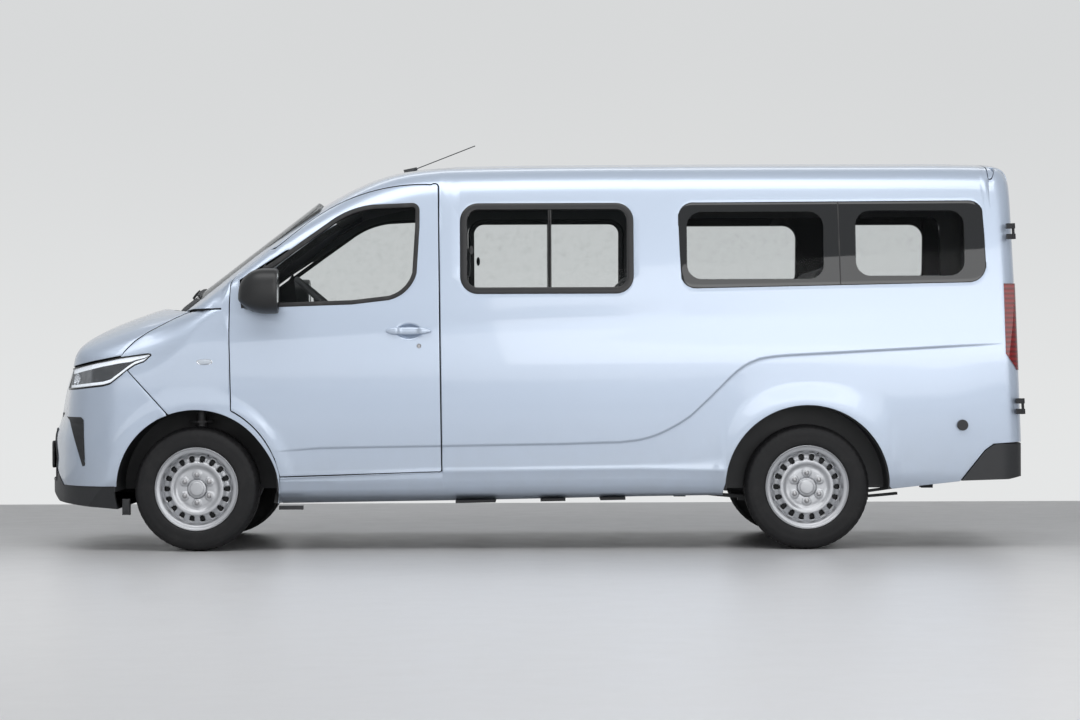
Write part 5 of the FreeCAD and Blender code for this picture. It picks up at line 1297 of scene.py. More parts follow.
def makeHood():
    # Lid between the screen and the lamps.
    rear, front, right, left = hoodBorders()
    grid = coons(evenly(rear, 61), evenly(front, 61), evenly(right, 46), evenly(left, 46))
    grid = onNose(grid, (1.80, 0, 0.60))
    keep = np.ones((grid.shape[0] - 1, grid.shape[1] - 1), bool)
    return paintedPanel("hood_skin", grid, keep, (0.3, 0, 1), "hood", "hood", depth=0.020)


def bumperBorders():
    s = noseShape
    a, b = np.array(s["seam"][0]) * mm, np.array(s["seam"][1]) * mm
    arch = np.linspace(math.atan2(b[1] - wheelR, b[0] - wheelCentre[0]), 0.034, 30)
    seam = np.concatenate([np.linspace(a, b, 16) + [0.0028, 0], wheelCentre + 0.396
                           * np.stack([np.cos(arch), np.sin(arch)], 1)[1:]])
    sidePart = noseOn(seam[:, 0], seam[:, 1])
    inner = math.atan2(s["lampInner"], 0.93)
    topAngle = math.atan2(sidePart[0, 1], sidePart[0, 0] - 1.5)
    angles = np.linspace(0, topAngle, 90)
    top = noseEdge(angles, s["lampLow"], -0.003)
    top[-1] = sidePart[0]
    lowAngle = math.atan2(sidePart[-1, 1], sidePart[-1, 0] - 1.5)
    bottomAngles = np.linspace(0, lowAngle, 90)
    z = np.full(90, 0.33)
    for _ in range(4):
        x = noseAt(bottomAngles, z)[:, 0]
        z = np.interp(x, (2.02, 2.368, 2.43, 2.46), (0.3265, 0.3285, 0.418, 0.432))
    bottom = noseAt(bottomAngles, z)
    bottom[-1] = sidePart[-1]
    return top, bottom, sidePart[::-1], inner


def makeBumper():
    # One half from the middle to the wheel arch, the strip between the lamps, then both halves.
    top, bottom, outer, inner = bumperBorders()
    count, rows = 78, 46
    low, high = evenly(bottom, count), evenly(top, count)
    ends = np.linspace(0, 1, rows)[:, None]
    middleLine = noseAt(np.zeros(rows), bottom[0, 2] + (top[0, 2] - bottom[0, 2]) * ends[:, 0])
    grid = onNose(coons(low, high, middleLine, evenly(outer, rows)), (1.70, 0, 0.62))
    angles = np.arctan2(grid[-1, :, 1], grid[-1, :, 0] - 1.5)
    edge = noseEdge(np.minimum(angles, inner + 0.2), noseShape["hoodEdge"], -0.004)
    t = np.linspace(0, 1, 9)[1:, None]
    strip = np.stack([noseAt(angles, grid[-1, :, 2] + (edge[:, 2] - grid[-1, :, 2]) * k) for k in t[:, 0]])
    grid = np.concatenate([grid, strip])
    keep = np.ones((grid.shape[0] - 1, grid.shape[1] - 1), bool)
    keep[rows - 1:, (angles[1:] + angles[:-1]) / 2 > inner] = False
    mirrored = grid[:, ::-1] * [1, -1, 1]
    grid = np.concatenate([mirrored[:, :-1], grid], 1)
    keep = np.concatenate([keep[:, ::-1], keep], 1)
    return paintedPanel("bumper_skin", grid, keep, (1, 0, 0), "body", "front_bumper", depth=0.022)


for side in (1, -1):
    makeFender(side)
makeHood()
makeBumper()
print("nose")



tyreShape = {"count": 52, "groove": 0.0075, "grooveWidth": 0.0075, "sipe": 0.0022, "rib": 0.0011,
             "ribCount": 104}
wheelShape = {"vents": 18, "ventR": 0.152, "ventHole": 0.0125, "lugs": 6, "lugR": 0.0699, "around": 216}


def tyreProfile():
    # Tyre section as (across, radius) from the outer bead over the tread to the inner bead.
    half = outline(((88, 208), (96.5, 226, 93, 213), (97.0, 252, 98.2, 240), (93, 283, 96.4, 270),
                    (79, 303, 88, 295), (62, 309.5, 71, 307.2), (0, 312, 30, 311.4)), 0.006, 1)
    inner = outline(((0, 300), (76, 292, 60, 299), (84, 250, 85, 275), (80, 212, 83, 228), (88, 208)), 0.02)
    outer = half
    mirrored = outer[::-1] * np.array([-1, 1])
    back = inner * np.array([-1, 1])
    return np.concatenate([outer, mirrored[1:], back[::-1][1:], inner[1:-1]]), len(outer), len(mirrored) - 1


def makeTyre(name, body, x, side):
    # Tread blocks: four grooves round the tyre and slanted sipes between them, with thin
    # radial ribs and two raised rings on each sidewall.
    t = tyreShape
    profile, first, second = tyreProfile()
    count = t["count"] * 4
    angle = 2 * math.pi * np.arange(count)[:, None] / count
    across, radius = profile[None, :, 0] + 0 * angle, profile[None, :, 1] + 0 * angle
    outer = np.arange(profile.shape[0])[None, :] < first + second
    tread = (radius > 0.3025) & outer
    grooves = sum(smoothStep(t["grooveWidth"], t["grooveWidth"] * 0.5, np.abs(across - c))
                  for c in (-0.052, -0.018, 0.018, 0.052))
    slant = np.sin(angle * t["count"] + np.sign(across) * across * 60)
    sipes = smoothStep(0.55, 0.9, slant) * (1 - np.clip(grooves, 0, 1))
    radius = radius - np.where(tread, t["groove"] * np.clip(grooves, 0, 1) + t["sipe"] * sipes, 0)
    wall = (radius < 0.296) & (radius > 0.222) & outer
    ribs = (np.sin(angle * t["ribCount"] / 2) * 0.5 + 0.5) * smoothStep(0.268, 0.272,
            radius) * smoothStep(0.290, 0.286, radius)
    rings = sum(bump(radius, r, 0.0016) for r in (0.2305, 0.2655, 0.2935))
    across = across + np.where(wall, np.sign(across) * (t["rib"] * ribs + 0.0024 * rings), 0)
    across = np.clip(across, -0.0975, 0.0975)
    notch = smoothStep(0.287, 0.293, radius) * smoothStep(0.2, 0.6, np.sin(angle * t["count"]))
    notch = notch * (np.abs(across) > 0.066) * outer
    across = across - np.sign(across) * 0.0030 * notch
    radius = radius - 0.0030 * notch * (radius > 0.302)
    points = np.stack([x + radius * np.cos(angle), side * wheelY + across, wheelR + radius
                       * np.sin(angle)], -1)
    piece = addMesh(name, points, gridFaces(count, profile.shape[0], True, True), tyreMaterial.material)
    weld(piece)
    crisp(piece, 40)
    return place(piece, body, "rubber_tyre", name.replace("shown_", ""))


def discProfile():
    # Wheel disc, from the hub face out to the rim's flange, as (outward from the wheel's
    # middle plane, radius).
    return outline(((50, 44), (55, 52, 53.5, 47), (55.5, 96, 56, 74), (62, 112, 57.5, 105), (66.5, 126, 66,
            119),
                    (65, 134, 66.8, 130), (58, 141, 61, 138), (48, 160, 52, 150), (44, 167, 45.5, 164),
                    (42, 171), (50, 173, 45, 174), (62, 176, 56, 174.5), (74, 181, 69, 177.5), (80, 189,
                            78, 184.5),
                    (82, 197, 81, 193), (88.5, 204, 84, 202), (88.5, 208, 89.6, 206), (85, 207.6, 86.6,
                            208.4)), 0.005, 1)


def makeWheel(name, body, x, side):
    w = wheelShape
    n = w["around"]
    profile = discProfile()
    angle = 2 * math.pi * np.arange(n) / n
    radius = profile[:, 1][None, :] + 0 * angle[:, None]
    out = profile[:, 0][None, :] + 0 * angle[:, None]
    turn = angle[:, None] + 0 * radius
    ring = np.abs(radius - w["ventR"]) < 0.0165
    period = 2 * math.pi / w["vents"]
    local = (turn + period / 2) % period - period / 2
    u, v = local * w["ventR"], radius - w["ventR"]
    away = np.hypot(u, v)
    # points near a vent's rim are pulled onto its circle, and those inside it are dropped
    pull = np.where(away < w["ventHole"] * 1.25, (w["ventHole"] - away) * smoothStep(1.25, 1.0,
            away / w["ventHole"]), 0)
    scale = (away + np.where(away > w["ventHole"] * 0.55, pull, 0)) / np.maximum(away, 1e-6)
    radius = np.where(ring, w["ventR"] + v * scale, radius)
    turn = np.where(ring, turn - local + u * scale / w["ventR"], turn)
    lugPeriod = 2 * math.pi / w["lugs"]
    lugLocal = turn % lugPeriod - lugPeriod / 2
    lugAway = np.hypot(lugLocal * w["lugR"], radius - w["lugR"])
    out = out + 0.004 * smoothStep(0.026, 0.017, lugAway) * (radius < 0.1) + 0.0015 * smoothStep(0.085,
            0.098, radius) * -np.cos(turn * w["lugs"]) * smoothStep(0.115, 0.105, radius)
    points = np.stack([x + radius * np.cos(turn), side * (wheelY + out), wheelR + radius * np.sin(turn)], -1)
    m = len(profile)
    cells = gridFaces(n, m, True, False)
    inside = (away < w["ventHole"] * 0.98) & ring
    corners = inside.reshape(-1)[cells]
    cells = cells[corners.sum(1) < 1]
    barrel = outline(((85, 207.6), (80, 203, 84, 205), (72, 188, 74, 196), (66, 183.5, 68, 184), (-60, 183.4),
                      (-72, 196, -70, 187), (-84, 204, -76, 203), (-88.5, 206, -88.8, 203), (-86, 208.2,
                              -88.6, 208.4),
                      (-78, 204, -80, 207), (-66, 189.5, -70, 199), (-58, 187)), 0.012, 2)
    barrelPoints, barrelFaces = turned(barrel, 72, (x, 0, wheelR), 1)
    barrelPoints[..., 1] = side * (wheelY + barrelPoints[..., 1])
    parts = [(points, cells), (barrelPoints, barrelFaces)]
    pointsAll, facesAll = joined(parts)
    piece = addMesh("shown_" + name, pointsAll, facesAll, finish["wheel_silver"])
    weld(piece, 0.0002)
    thick = piece.modifiers.new("thickness", "SOLIDIFY")
    thick.thickness, thick.offset = 0.0032, -1.0
    crisp(piece, 45)
    place(piece, body, "wheel_silver", name)
    nuts(name, body, x, side)
    drum = outline(((-20, 160), (24, 164), (31, 160, 29, 163), (33, 100), (33, 76), (30, 74)), 0.01)
    points, faces = turned(drum, 72, (x, 0, wheelR), 1)
    points[..., 1] = side * (wheelY + points[..., 1])
    drum = addMesh("drum_" + name, points, faces, finish["chassis_black"])
    crisp(weld(drum), 40)
    return place(drum, body, "chassis_black")


def nuts(name, body, x, side):
    # Six domed hexagon nuts, the centre cap with its step, and the valve.
    w = wheelShape
    parts = []
    for k in range(w["lugs"]):
        angle = 2 * math.pi * (k + 0.5) / w["lugs"]
        cx, cz = x + w["lugR"] * math.cos(angle), wheelR + w["lugR"] * math.sin(angle)
        shape = outline(((56, 13.5), (60, 13.5, 58, 14.2), (61.5, 10.4), (77, 10.4), (80, 8.2, 79.2, 9.8),
                         (82.5, 3, 82, 5.6), (82.8, 0.3)), 0.004)
        points, faces = turned(shape, 36, (cx, 0, cz), 1)
        spin = np.arctan2(points[..., 2] - cz, points[..., 0] - cx)
        reach = np.hypot(points[..., 0] - cx, points[..., 2] - cz)
        flat = 0.0103 * math.cos(math.pi / 6) / np.cos((spin + math.pi / 6) % (math.pi / 3) - math.pi / 6)
        body6 = (points[..., 1] > 0.0612) & (points[..., 1] < 0.0795)
        reach = np.where(body6, np.minimum(reach, flat * 1.05), reach)
        points[..., 0] = cx + reach * np.cos(spin)
        points[..., 2] = cz + reach * np.sin(spin)
        points[..., 1] = side * (wheelY + points[..., 1])
        parts.append((points, faces))
    piece = addMesh("nuts_" + name, *joined(parts), nutMaterial.material)
    crisp(weld(piece), 30)
    place(piece, body, "wheel_silver")
    cap = outline(((44, 46.5), (60, 45.5), (64, 43.5, 63.4, 45.2), (65, 41), (66, 36), (70.5, 34, 69.6,
            35.4), (72.5, 26, 72.2, 30),
                   (73.2, 12, 73.1, 18), (73.4, 0.3)), 0.004)
    points, faces = turned(cap, 72, (x, 0, wheelR), 1)
    points[..., 1] = side * (wheelY + points[..., 1])
    piece = addMesh("cap_" + name, points, faces, finish["wheel_silver"])
    crisp(weld(piece), 35)
    place(piece, body, "wheel_silver")
    stem = outline(((50, 5), (56, 5.4), (60, 4.2), (72, 4.0), (73, 3.6), (80, 3.4), (81, 0.2)), 0.004)
    points, faces = turned(stem, 20, (x + 0.176 * math.cos(1.9), 0, wheelR + 0.176 * math.sin(1.9)), 1)
    points[..., 1] = side * (wheelY + points[..., 1])
    piece = addMesh("valve_" + name, points, faces, finish["black_plastic"])
    crisp(weld(piece), 35)
    place(piece, body, "rubber_tyre")


def tyreFinish():
    # Tyre rubber: near black, with greyer patches of dust.
    s = Shader("tyre_black", (0.010, 0.010, 0.011), 0.58, Specular_IOR_Level=0.3)
    cloud = s.noise(15.0, 5.0, 0.6)
    fine = s.noise(500.0, 2.0)
    s.set("Base Color", s.mix(cloud.step(0.4, 0.8) * 0.5, (0.010, 0.010, 0.011), (0.026, 0.025, 0.025)))
    s.set("Roughness", 0.50 + cloud * 0.2)
    return s.relief(fine, 0.0002, 0.4)


tyreMaterial = tyreFinish()
nutMaterial = metalShader("nut_steel", (0.40, 0.40, 0.41), 0.28, 0.0, 0.9)
wheelPlaces = {"front_left": (bodyShape["frontAxle"], 1), "front_right": (bodyShape["frontAxle"], -1),
               "rear_left": (bodyShape["rearAxle"], 1), "rear_right": (bodyShape["rearAxle"], -1)}
for key, (x, side) in wheelPlaces.items():
    makeTyre("shown_tyre_" + key, "wheel_" + key, x, side)
    makeWheel("wheel_" + key, "wheel_" + key, x, side)
print("wheels")


lampShape = {"lens": 0.003, "deep": 0.048, "bar": 0.026, "strip": 0.014}
lampWhite = lampMaterial("lamp_white", (0.90, 0.92, 0.95), (0.66, 0.69, 0.73), 900.0, 0, 0.55).material
lampDark = plasticMaterial("lamp_dark", (0.030, 0.032, 0.036), 0.5, 700.0, 0.0002).material
lampMirror = metalShader("lamp_mirror", (0.80, 0.81, 0.83), 0.08, 0.0, 1.0).material
lampLens = lampMaterial("lamp_lens", (0.62, 0.67, 0.73), (0.50, 0.55, 0.62), 900.0, 0).material
glossBlack = plasticMaterial("gloss_black", (0.008, 0.008, 0.009), 0.16, 1500.0, 0.00005).material


def mirrored(points, side):
    return points * [1, side, 1]


def closedPiece(name, parts, material, degrees=35):
    piece = addMesh(name, *(joined(parts) if isinstance(parts, list) else parts), material)
    return crisp(weld(piece), degrees)


def strip(low, high, out, rows=3):
    # Grid between two border curves of the nose, at a depth from its surface.
    t = np.linspace(0, 1, rows)[:, None, None]
    grid = onNose(low[None] * (1 - t) + high[None] * t, (1.70, 0, 0.70))
    return grid + fieldNormal(noseField, grid) * np.asarray(out, float)[..., None]


def slab(low, high, out, thick, side, rows=4):
    grid = mirrored(strip(low, high, np.full((rows, len(low)), out), rows), side)
    keep = np.ones((rows - 1, len(low) - 1), bool)
    return panelShell(grid, keep, (1, side, 0), thick, radius=0.0008)


def turnedAt(profile, count, centre, way):
    # Profile of (along, radius) turned about any axis through the centre.
    points, faces = turned(profile, count, (0, 0, 0), 0)
    first = normalized(np.cross(way, (0, 0, 1)))
    basis = np.stack([way, first, np.cross(way, first)])
    return points @ basis + centre, faces


def lampBorders():
    inner = math.atan2(noseShape["lampInner"], 0.93) + 0.003
    tip = float(planAngleAt(1.8895, 0.983))
    angles = inner + (tip - inner) * np.linspace(0, 1, 72)
    return noseEdge(angles, noseShape["lampLow"], 0.0008), noseEdge(angles, noseShape["lampTop"], -0.0008)


def makeHeadLamp(side):
    # Clear lens over a dark bowl, with a white bar along the top, a lit strip along the
    # bottom, two reflectors with their lenses and a black rim.
    s = lampShape
    name = "left" if side > 0 else "right"
    low, high = lampBorders()
    tall = np.linalg.norm(high - low, axis=1)
    part = lambda share: low + (high - low) * np.asarray(share)[:, None]
    lens = closedPiece("head_lens_" + name, slab(low, high, -0.0012, s["lens"], side, 9),
                       finish["lamp_clear"], 40)
    place(lens, "body", "lamp_clear", "head_lamps")
    depth = np.full((14, len(low)), -s["deep"])
    depth = depth * np.clip(tall / 0.06, 0.12, 1)[None, :]
    depth[0] = depth[-1] = depth[:, 0] = depth[:, -1] = -0.0048
    rows = strip(low, high, 0 * depth, 14)
    rows[1], rows[-2] = rows[0] * 0.97 + rows[1] * 0.03, rows[-1] * 0.97 + rows[-2] * 0.03
    bowl = mirrored(rows + fieldNormal(noseField, rows) * depth[..., None], side)
    faces = gridFaces(14, len(low), flip=side < 0)
    place(closedPiece("head_bowl_" + name, (bowl, faces), lampDark, 50), "body", "black_plastic")
    barShare = np.minimum(s["bar"], tall * 0.42) / tall
    bar = slab(part(1 - barShare), part(np.full(len(low), 0.965)), -0.0075, 0.006, side)
    stripLow = np.minimum(0.007, tall * 0.10) / tall
    stripHigh = stripLow + np.minimum(s["strip"], tall * 0.30) / tall
    lit = slab(part(stripLow), part(stripHigh), -0.0075, 0.006, side)
    place(closedPiece("head_bars_" + name, [bar, lit], lampWhite, 40), "body", "lamp_clear")
    parts, domes = [], []
    shape = outline(((0, 6), (3, 16, 1, 11), (14, 25, 8, 22), (20, 27), (21, 28.5), (19, 29)), 0.003)
    dome = outline(((2, 15), (10, 14.5), (15, 10, 13, 13), (18, 0.3, 17.5, 5)), 0.002)
    for share in (0.16, 0.40):
        k = int(share * len(low))
        centre = strip(low[k:k + 1] * 1.0, high[k:k + 1], [[-0.040]] * 3)[1, 0]
        way = fieldNormal(noseField, centre) * 0.6 + np.array([0.4, 0.25, 0])
        way = normalized(way)
        size = min(1.0, tall[k] * 0.5 / 0.036)
        for target, profile in ((parts, shape), (domes, dome)):
            points, faces = turnedAt(profile * size, 40, centre, way)
            target.append((mirrored(points, side), faces))
    place(closedPiece("head_reflectors_" + name, parts, lampMirror, 40), "body", "wheel_silver")
    place(closedPiece("head_domes_" + name, domes, finish["lamp_clear"], 60), "body", "lamp_clear")
    border = np.concatenate([low, high[::-1][1:-1] if np.allclose(low[-1], high[-1]) else high[::-1]])
    rim = np.array([(-0.0035, -0.006), (-0.0035, 0.0004), (-0.0015, 0.0010), (0.0015, 0.0008),
                    (0.0025, -0.0004), (0.0025, -0.006)])
    points, faces = sweep(mirrored(border, side), rim, mirrored(fieldNormal(noseField, border), side))
    place(closedPiece("head_rim_" + name, (points, faces), glossBlack, 40), "body", "black_plastic")


def makeSlot(side):
    # Black corner slot: a plate in the bumper with blades raised one above another.
    name = "left" if side > 0 else "right"
    line = outline(slotRows + (slotRows[0],), 0.010)
    xs = spacing(line[:, 0].min() + 0.0005, line[:, 0].max() - 0.0005, 0.006)
    low, high = outlineSpan(line, xs)
    high = np.maximum(high, low + 0.002)
    x, z = bandGrid(xs, (low, high), (30,))
    grid = mirrored(noseOn(x, z), side)
    normal = mirrored(fieldNormal(noseField, mirrored(grid, side)), side)
    wave = 0.0018 + 0.0022 * np.abs(np.sin((z - 0.43) * math.pi / 0.035)) * smoothStep(0, 0.006,
            np.minimum(z - low[:, None], high[:, None] - z))
    keep = np.ones((len(xs) - 1, 30), bool)
    points, faces = panelShell(grid + normal * wave[..., None], keep, (0.5, side, 0), 0.010, radius=0.001)
    place(closedPiece("corner_slot_" + name, (points, faces), finish["black_plastic"]), "body",
          "black_plastic", "front_grilles")


def noseFace(y, z, out=0.0):
    # Point on the nose's front straight ahead of a (y, z) position.
    y, z = np.broadcast_arrays(np.asarray(y, float), np.asarray(z, float))
    start = np.stack([np.full(y.shape, 1.9), y, z], -1)
    point = surfaceAlong(noseField, start, np.array([1.0, 0, 0]) + 0 * start, 0.8)
    point[..., 0] += out
    return point


def makeGrille():
    # Backing plate in the bumper's recess, a frame round it, six bars and a blank plate holder.
    line = outline(grilleRows + (grilleRows[0],), 0.008)
    ys = spacing(line[:, 0].min() + 0.001, line[:, 0].max() - 0.001, 0.015)
    low, high = outlineSpan(line, ys)
    y, z = bandGrid(ys, (low, np.maximum(high, low + 0.002)), (26,))
    grid = noseFace(y * 0.985, 0.47 + (z - 0.47) * 0.95, 0.0015)
    plate = panelShell(grid, np.ones((len(ys) - 1, 26), bool), (1, 0, 0), 0.005)
    piece = closedPiece("grille_plate", plate, finish["black_plastic"])
    place(piece, "body", "black_plastic", "front_grilles")
    parts = []
    for z0 in (0.385, 0.425, 0.465, 0.505, 0.545, 0.580):
        reach = np.interp(z0, (0.345, 0.455, 0.600), (0.440, 0.470, 0.330)) - 0.012
        ys = np.linspace(-reach, reach, 61)
        path = noseFace(ys, np.full(61, z0), 0.0035)
        path[:, 0] = np.minimum(path[:, 0], 2.4790)
        a = 2 * math.pi * np.arange(16) / 16
        profile = np.stack([0.0065 * np.cos(a), 0.0085 * np.sin(a)], 1)
        parts.append(sweep(path, profile, (0, 0, 1), False))
    place(closedPiece("grille_bars", parts, glossBlack, 40), "body", "black_plastic")
    path = noseFace(line[:-1, 0] * 1.002, 0.47 + (line[:-1, 1] - 0.47) * 1.004, 0.0005)
    path[:, 0] = np.minimum(path[:, 0], 2.4845)
    a = 2 * math.pi * np.arange(14) / 14
    frame = sweep(path, np.stack([0.0075 * np.cos(a), 0.0055 * np.sin(a)], 1), (1, 0, 0))
    place(closedPiece("grille_frame", frame, finish["black_plastic"], 40), "body", "black_plastic")
    back = roundedPlate((2.4760, 2.4880), (-0.225, 0.225), (0.400, 0.540), 0.020)
    place(closedPiece("plate_holder", back, finish["black_plastic"], 35), "body", "black_plastic")


def roundedPlate(along, across, up, corner, cuts=10):
    # Flat plate facing +X with round corners, a small rounded edge and a shallow dished face.
    half = ((across[1] - across[0]) / 2, (up[1] - up[0]) / 2)
    centre = ((across[0] + across[1]) / 2, (up[0] + up[1]) / 2)
    a = 2 * math.pi * np.arange(cuts * 4) / (cuts * 4) + math.pi / (cuts * 4)
    rows = []
    for x, inset in ((along[0], 0.001), (along[0] + 0.001, 0), (along[1] - 0.002, 0), (along[1] - 0.0005,
            0.0005),
                     (along[1], 0.002), (along[1], 0.007), (along[1] - 0.002, 0.009), (along[1] - 0.002,
                             0.03),
                     (along[1] - 0.002, half[1] - 0.001)):
        r = max(corner - inset, 0.001)
        ky = np.sign(np.cos(a)) * (half[0] - inset - r) + r * np.cos(a)
        kz = np.sign(np.sin(a)) * (half[1] - inset - r) + r * np.sin(a)
        rows.append(np.stack([np.full(len(a), x), centre[0] + ky, centre[1] + kz], 1))
    rows.append(rows[-1] * [1, 1, 0] + [0, 0, centre[1]])
    return np.stack(rows), gridFaces(len(rows), len(a), False, True)


def makeRepeater(side):
    name = "left" if side > 0 else "right"
    a = 2 * math.pi * np.arange(48) / 48
    ring = lambda r, out: mirrored(noseOn(1.620 + 0.037 * r * np.cos(a), 0.947 + 0.0135 * r
                                          * np.sign(np.sin(a))
                                          * np.abs(np.sin(a)) ** 0.8, np.full(48, out)), side)
    rim = [ring(r, out) for r, out in ((1.06, -0.004), (1.06, 0.0012), (1.0, 0.0022), (0.93, 0.0014),
                                       (0.93, -0.002))]
    place(closedPiece("repeater_rim_" + name, (np.stack(rim), gridFaces(5, 48, False, True)), lampMirror),
          "body", "wheel_silver",
          "side_repeaters")
    lens = [ring(r, out) for r, out in ((0.93, -0.002), (0.93, 0.0012), (0.85, 0.0026), (0.6, 0.0040),
                                        (0.3, 0.0046), (0.01, 0.0048))]
    place(closedPiece("repeater_lens_" + name, (np.stack(lens), gridFaces(6, 48, False, True)), lampLens,
                      50), "body", "lamp_clear")


for side in (1, -1):
    makeHeadLamp(side)
    makeSlot(side)
    makeRepeater(side)
makeGrille()
print("lamps and grille")



glassShape = {"gap": 0.003, "inset": 0.0015, "thick": 0.0045}
paneRows = {"front": (-1467, -784, 1351, 1689), "rear": (-2170, -1627, 1365, 1693)}


def ringOn(line, profile, side, turn=False):
    # A band round an outline on the body: profile rows are (inward from the outline, out).
    rows = [sideAt(*grownOutline(line, -inward)[:-1].T, side, np.full(len(line) - 1, out)) for inward,
            out in profile]
    points = np.stack(rows, 1)
    return points, gridFaces(len(points), len(profile), True, True, flip=turn)


def addRing(name, line, profile, side, body, material, slot="black_plastic"):
    points, faces = ringOn(line, profile, side)
    piece = addMesh(name, points, faces, material)
    crisp(weld(piece), 30)
    return place(piece, body, slot)


def paneGrid(line, side, out, count=14, step=0.03):
    ends = line[:, 0].min(), line[:, 0].max()
    xs = np.clip(spacing(*ends, step, cornerColumns(line)), *ends)
    low, high = outlineSpan(line, xs)
    thin = high - low < 0.004
    low, high = np.where(thin, (low + high) / 2 - 0.002, low), np.where(thin, (low + high) / 2 + 0.002, high)
    x, z = bandGrid(xs, (low, high), (count,))
    return sideAt(x, z, side, np.full(x.shape, out))


def addPane(name, line, side, body, material, *replaced, out=None, thick=None):
    out = -glassShape["inset"] if out is None else out
    grid = paneGrid(line, side, out)
    keep = np.ones((grid.shape[0] - 1, grid.shape[1] - 1), bool)
    points, faces = panelShell(grid, keep, (0, side, 0), thick or glassShape["thick"], radius=0.001)
    piece = addMesh(name, points, faces, material)
    crisp(piece, 40)
    return place(piece, body, "glazing", *replaced)


def fritGlass(name, panes, corner, axis=0, blur=0.003):
    # Glass with a black printed border: clear inside the rounded panes, black outside.
    s = Shader(name, (0.012, 0.013, 0.014), 0.03, Specular_IOR_Level=0.6)
    a, z = s.xyz()[axis], s.xyz()[2]
    clear = None
    for a0, a1, z0, z1 in panes:
        halfA, halfZ = (a1 - a0) / 2000 - corner, (z1 - z0) / 2000 - corner
        da = (abs(a - (a0 + a1) / 2000) - halfA).most(0.0)
        dz = (abs(z - (z0 + z1) / 2000) - halfZ).most(0.0)
        away = (da * da + dz * dz).root() - corner
        inside = 1 - away.step(-blur, blur)
        clear = inside if clear is None else clear.most(inside)
    through = s.node("ShaderNodeBsdfTransparent", {}, {0: (0.972, 0.980, 0.980)})
    edge = s.node("ShaderNodeFresnel", {}, {"IOR": 1.5})
    dust = s.noise(26.0, 5.0, 0.7).step(0.45, 0.9) * 0.04
    s.set("Roughness", 0.015 + dust * 0.5)
    return s.blendWith(clear * (1 - (0.03 + edge * 0.8 + dust).least(1.0)), through).material


windowGlass = finish["glazing"]
rearSideGlass = fritGlass("glass_rear_side", paneRows.values(), 0.075)
rimBlack = plasticMaterial("window_black", (0.010, 0.010, 0.011), 0.30, 1400.0, 0.0001).material
sealBlack = rubberMaterial("seal_rubber", (0.012, 0.012, 0.013), 0.55).material
frameProfile = ((-0.001, -0.010), (-0.001, 0.0022), (0.002, 0.0036), (0.028, 0.0036), (0.0315, 0.0022),
                (0.0325, -0.004),
                (0.0325, -0.014), (0.010, -0.016))
sealProfile = ((-0.0015, -0.010), (-0.0015, 0.0008), (0.001, 0.0020), (0.016, 0.0018), (0.0195, 0.0004),
               (0.021, -0.004),
               (0.021, -0.014), (0.008, -0.016))


def makeMiddleWindow(side):
    # Sliding window: a raised black frame, a fixed and a sliding pane that overlap, their
    # two slim edges and the catch.
    name = "left" if side > 0 else "right"
    line = middleGlassLine
    addRing("middle_frame_" + name, line, frameProfile, side, "body", rimBlack)
    rear = line.copy()
    rear[:, 0] = np.minimum(rear[:, 0], -0.088)
    front = line.copy()
    front[:, 0] = np.maximum(front[:, 0], -0.106)
    addPane("middle_pane_rear_" + name, grownOutline(rear, -0.026), side, "body", windowGlass,
            *(("side_glass",) if side > 0 else ("sliding_door_glass",)), out=-0.0035)
    addPane("middle_pane_front_" + name, grownOutline(front, -0.026), side, "body", windowGlass, out=-0.0105)
    z = np.linspace(1.312, 1.706, 24)
    parts = []
    for x, out, half in ((-0.104, -0.0030, 0.0040), (-0.094, -0.0005, 0.0026)):
        rows = [sideAt(np.full(24, x + dx), z, side, np.full(24, out + dy))
                for dx, dy in ((-half, -0.004), (-half, 0.001), (0, 0.002), (half, 0.001), (half, -0.004))]
        parts.append((np.stack(rows, 1), gridFaces(24, 5, False, True)))
    piece = addMesh("middle_stile_" + name, *joined(parts), sealBlack)
    crisp(weld(piece), 30)
    place(piece, "body", "black_plastic")
    a = np.linspace(0, 2 * math.pi, 29)[:-1]
    rows = [sideAt(0.292 + r * 0.010 * np.cos(a), 1.500 + r * 0.024 * np.sin(a), side, np.full(28, out))
            for r, out in ((1, -0.008), (1, -0.002), (0.9, 0.001), (0.5, 0.0025), (0.02, 0.0030))]
    piece = addMesh("middle_catch_" + name, np.stack(rows, 1), gridFaces(28, 5, True, False), rimBlack)
    crisp(weld(piece), 40)
    place(piece, "body", "black_plastic")


def makeRearSide(side):
    name = "left" if side > 0 else "right"
    addPane("rear_side_pane_" + name, grownOutline(rearGlassLine, -glassShape["gap"]), side, "body",
            rearSideGlass)
    edge = ((-0.001, -0.012), (-0.001, -0.0035), (0.003, -0.0025), (0.006, -0.004), (0.006, -0.012))
    addRing("rear_side_seal_" + name, rearGlassLine, edge, side, "body", sealBlack)
    z = np.linspace(1.322, 1.734, 20)
    rows = [sideAt(np.interp(z, (1.322, 1.728), (-1.549, -1.541)) + dx, z, side, np.full(20, dy))
            for dx, dy in ((-0.003, -0.003), (-0.003, -0.0006), (0.003, -0.0006), (0.003, -0.003))]
    piece = addMesh("rear_side_joint_" + name, np.stack(rows, 1), gridFaces(20, 4, False, True), sealBlack)
    crisp(weld(piece), 40)
    place(piece, "body", "black_plastic")


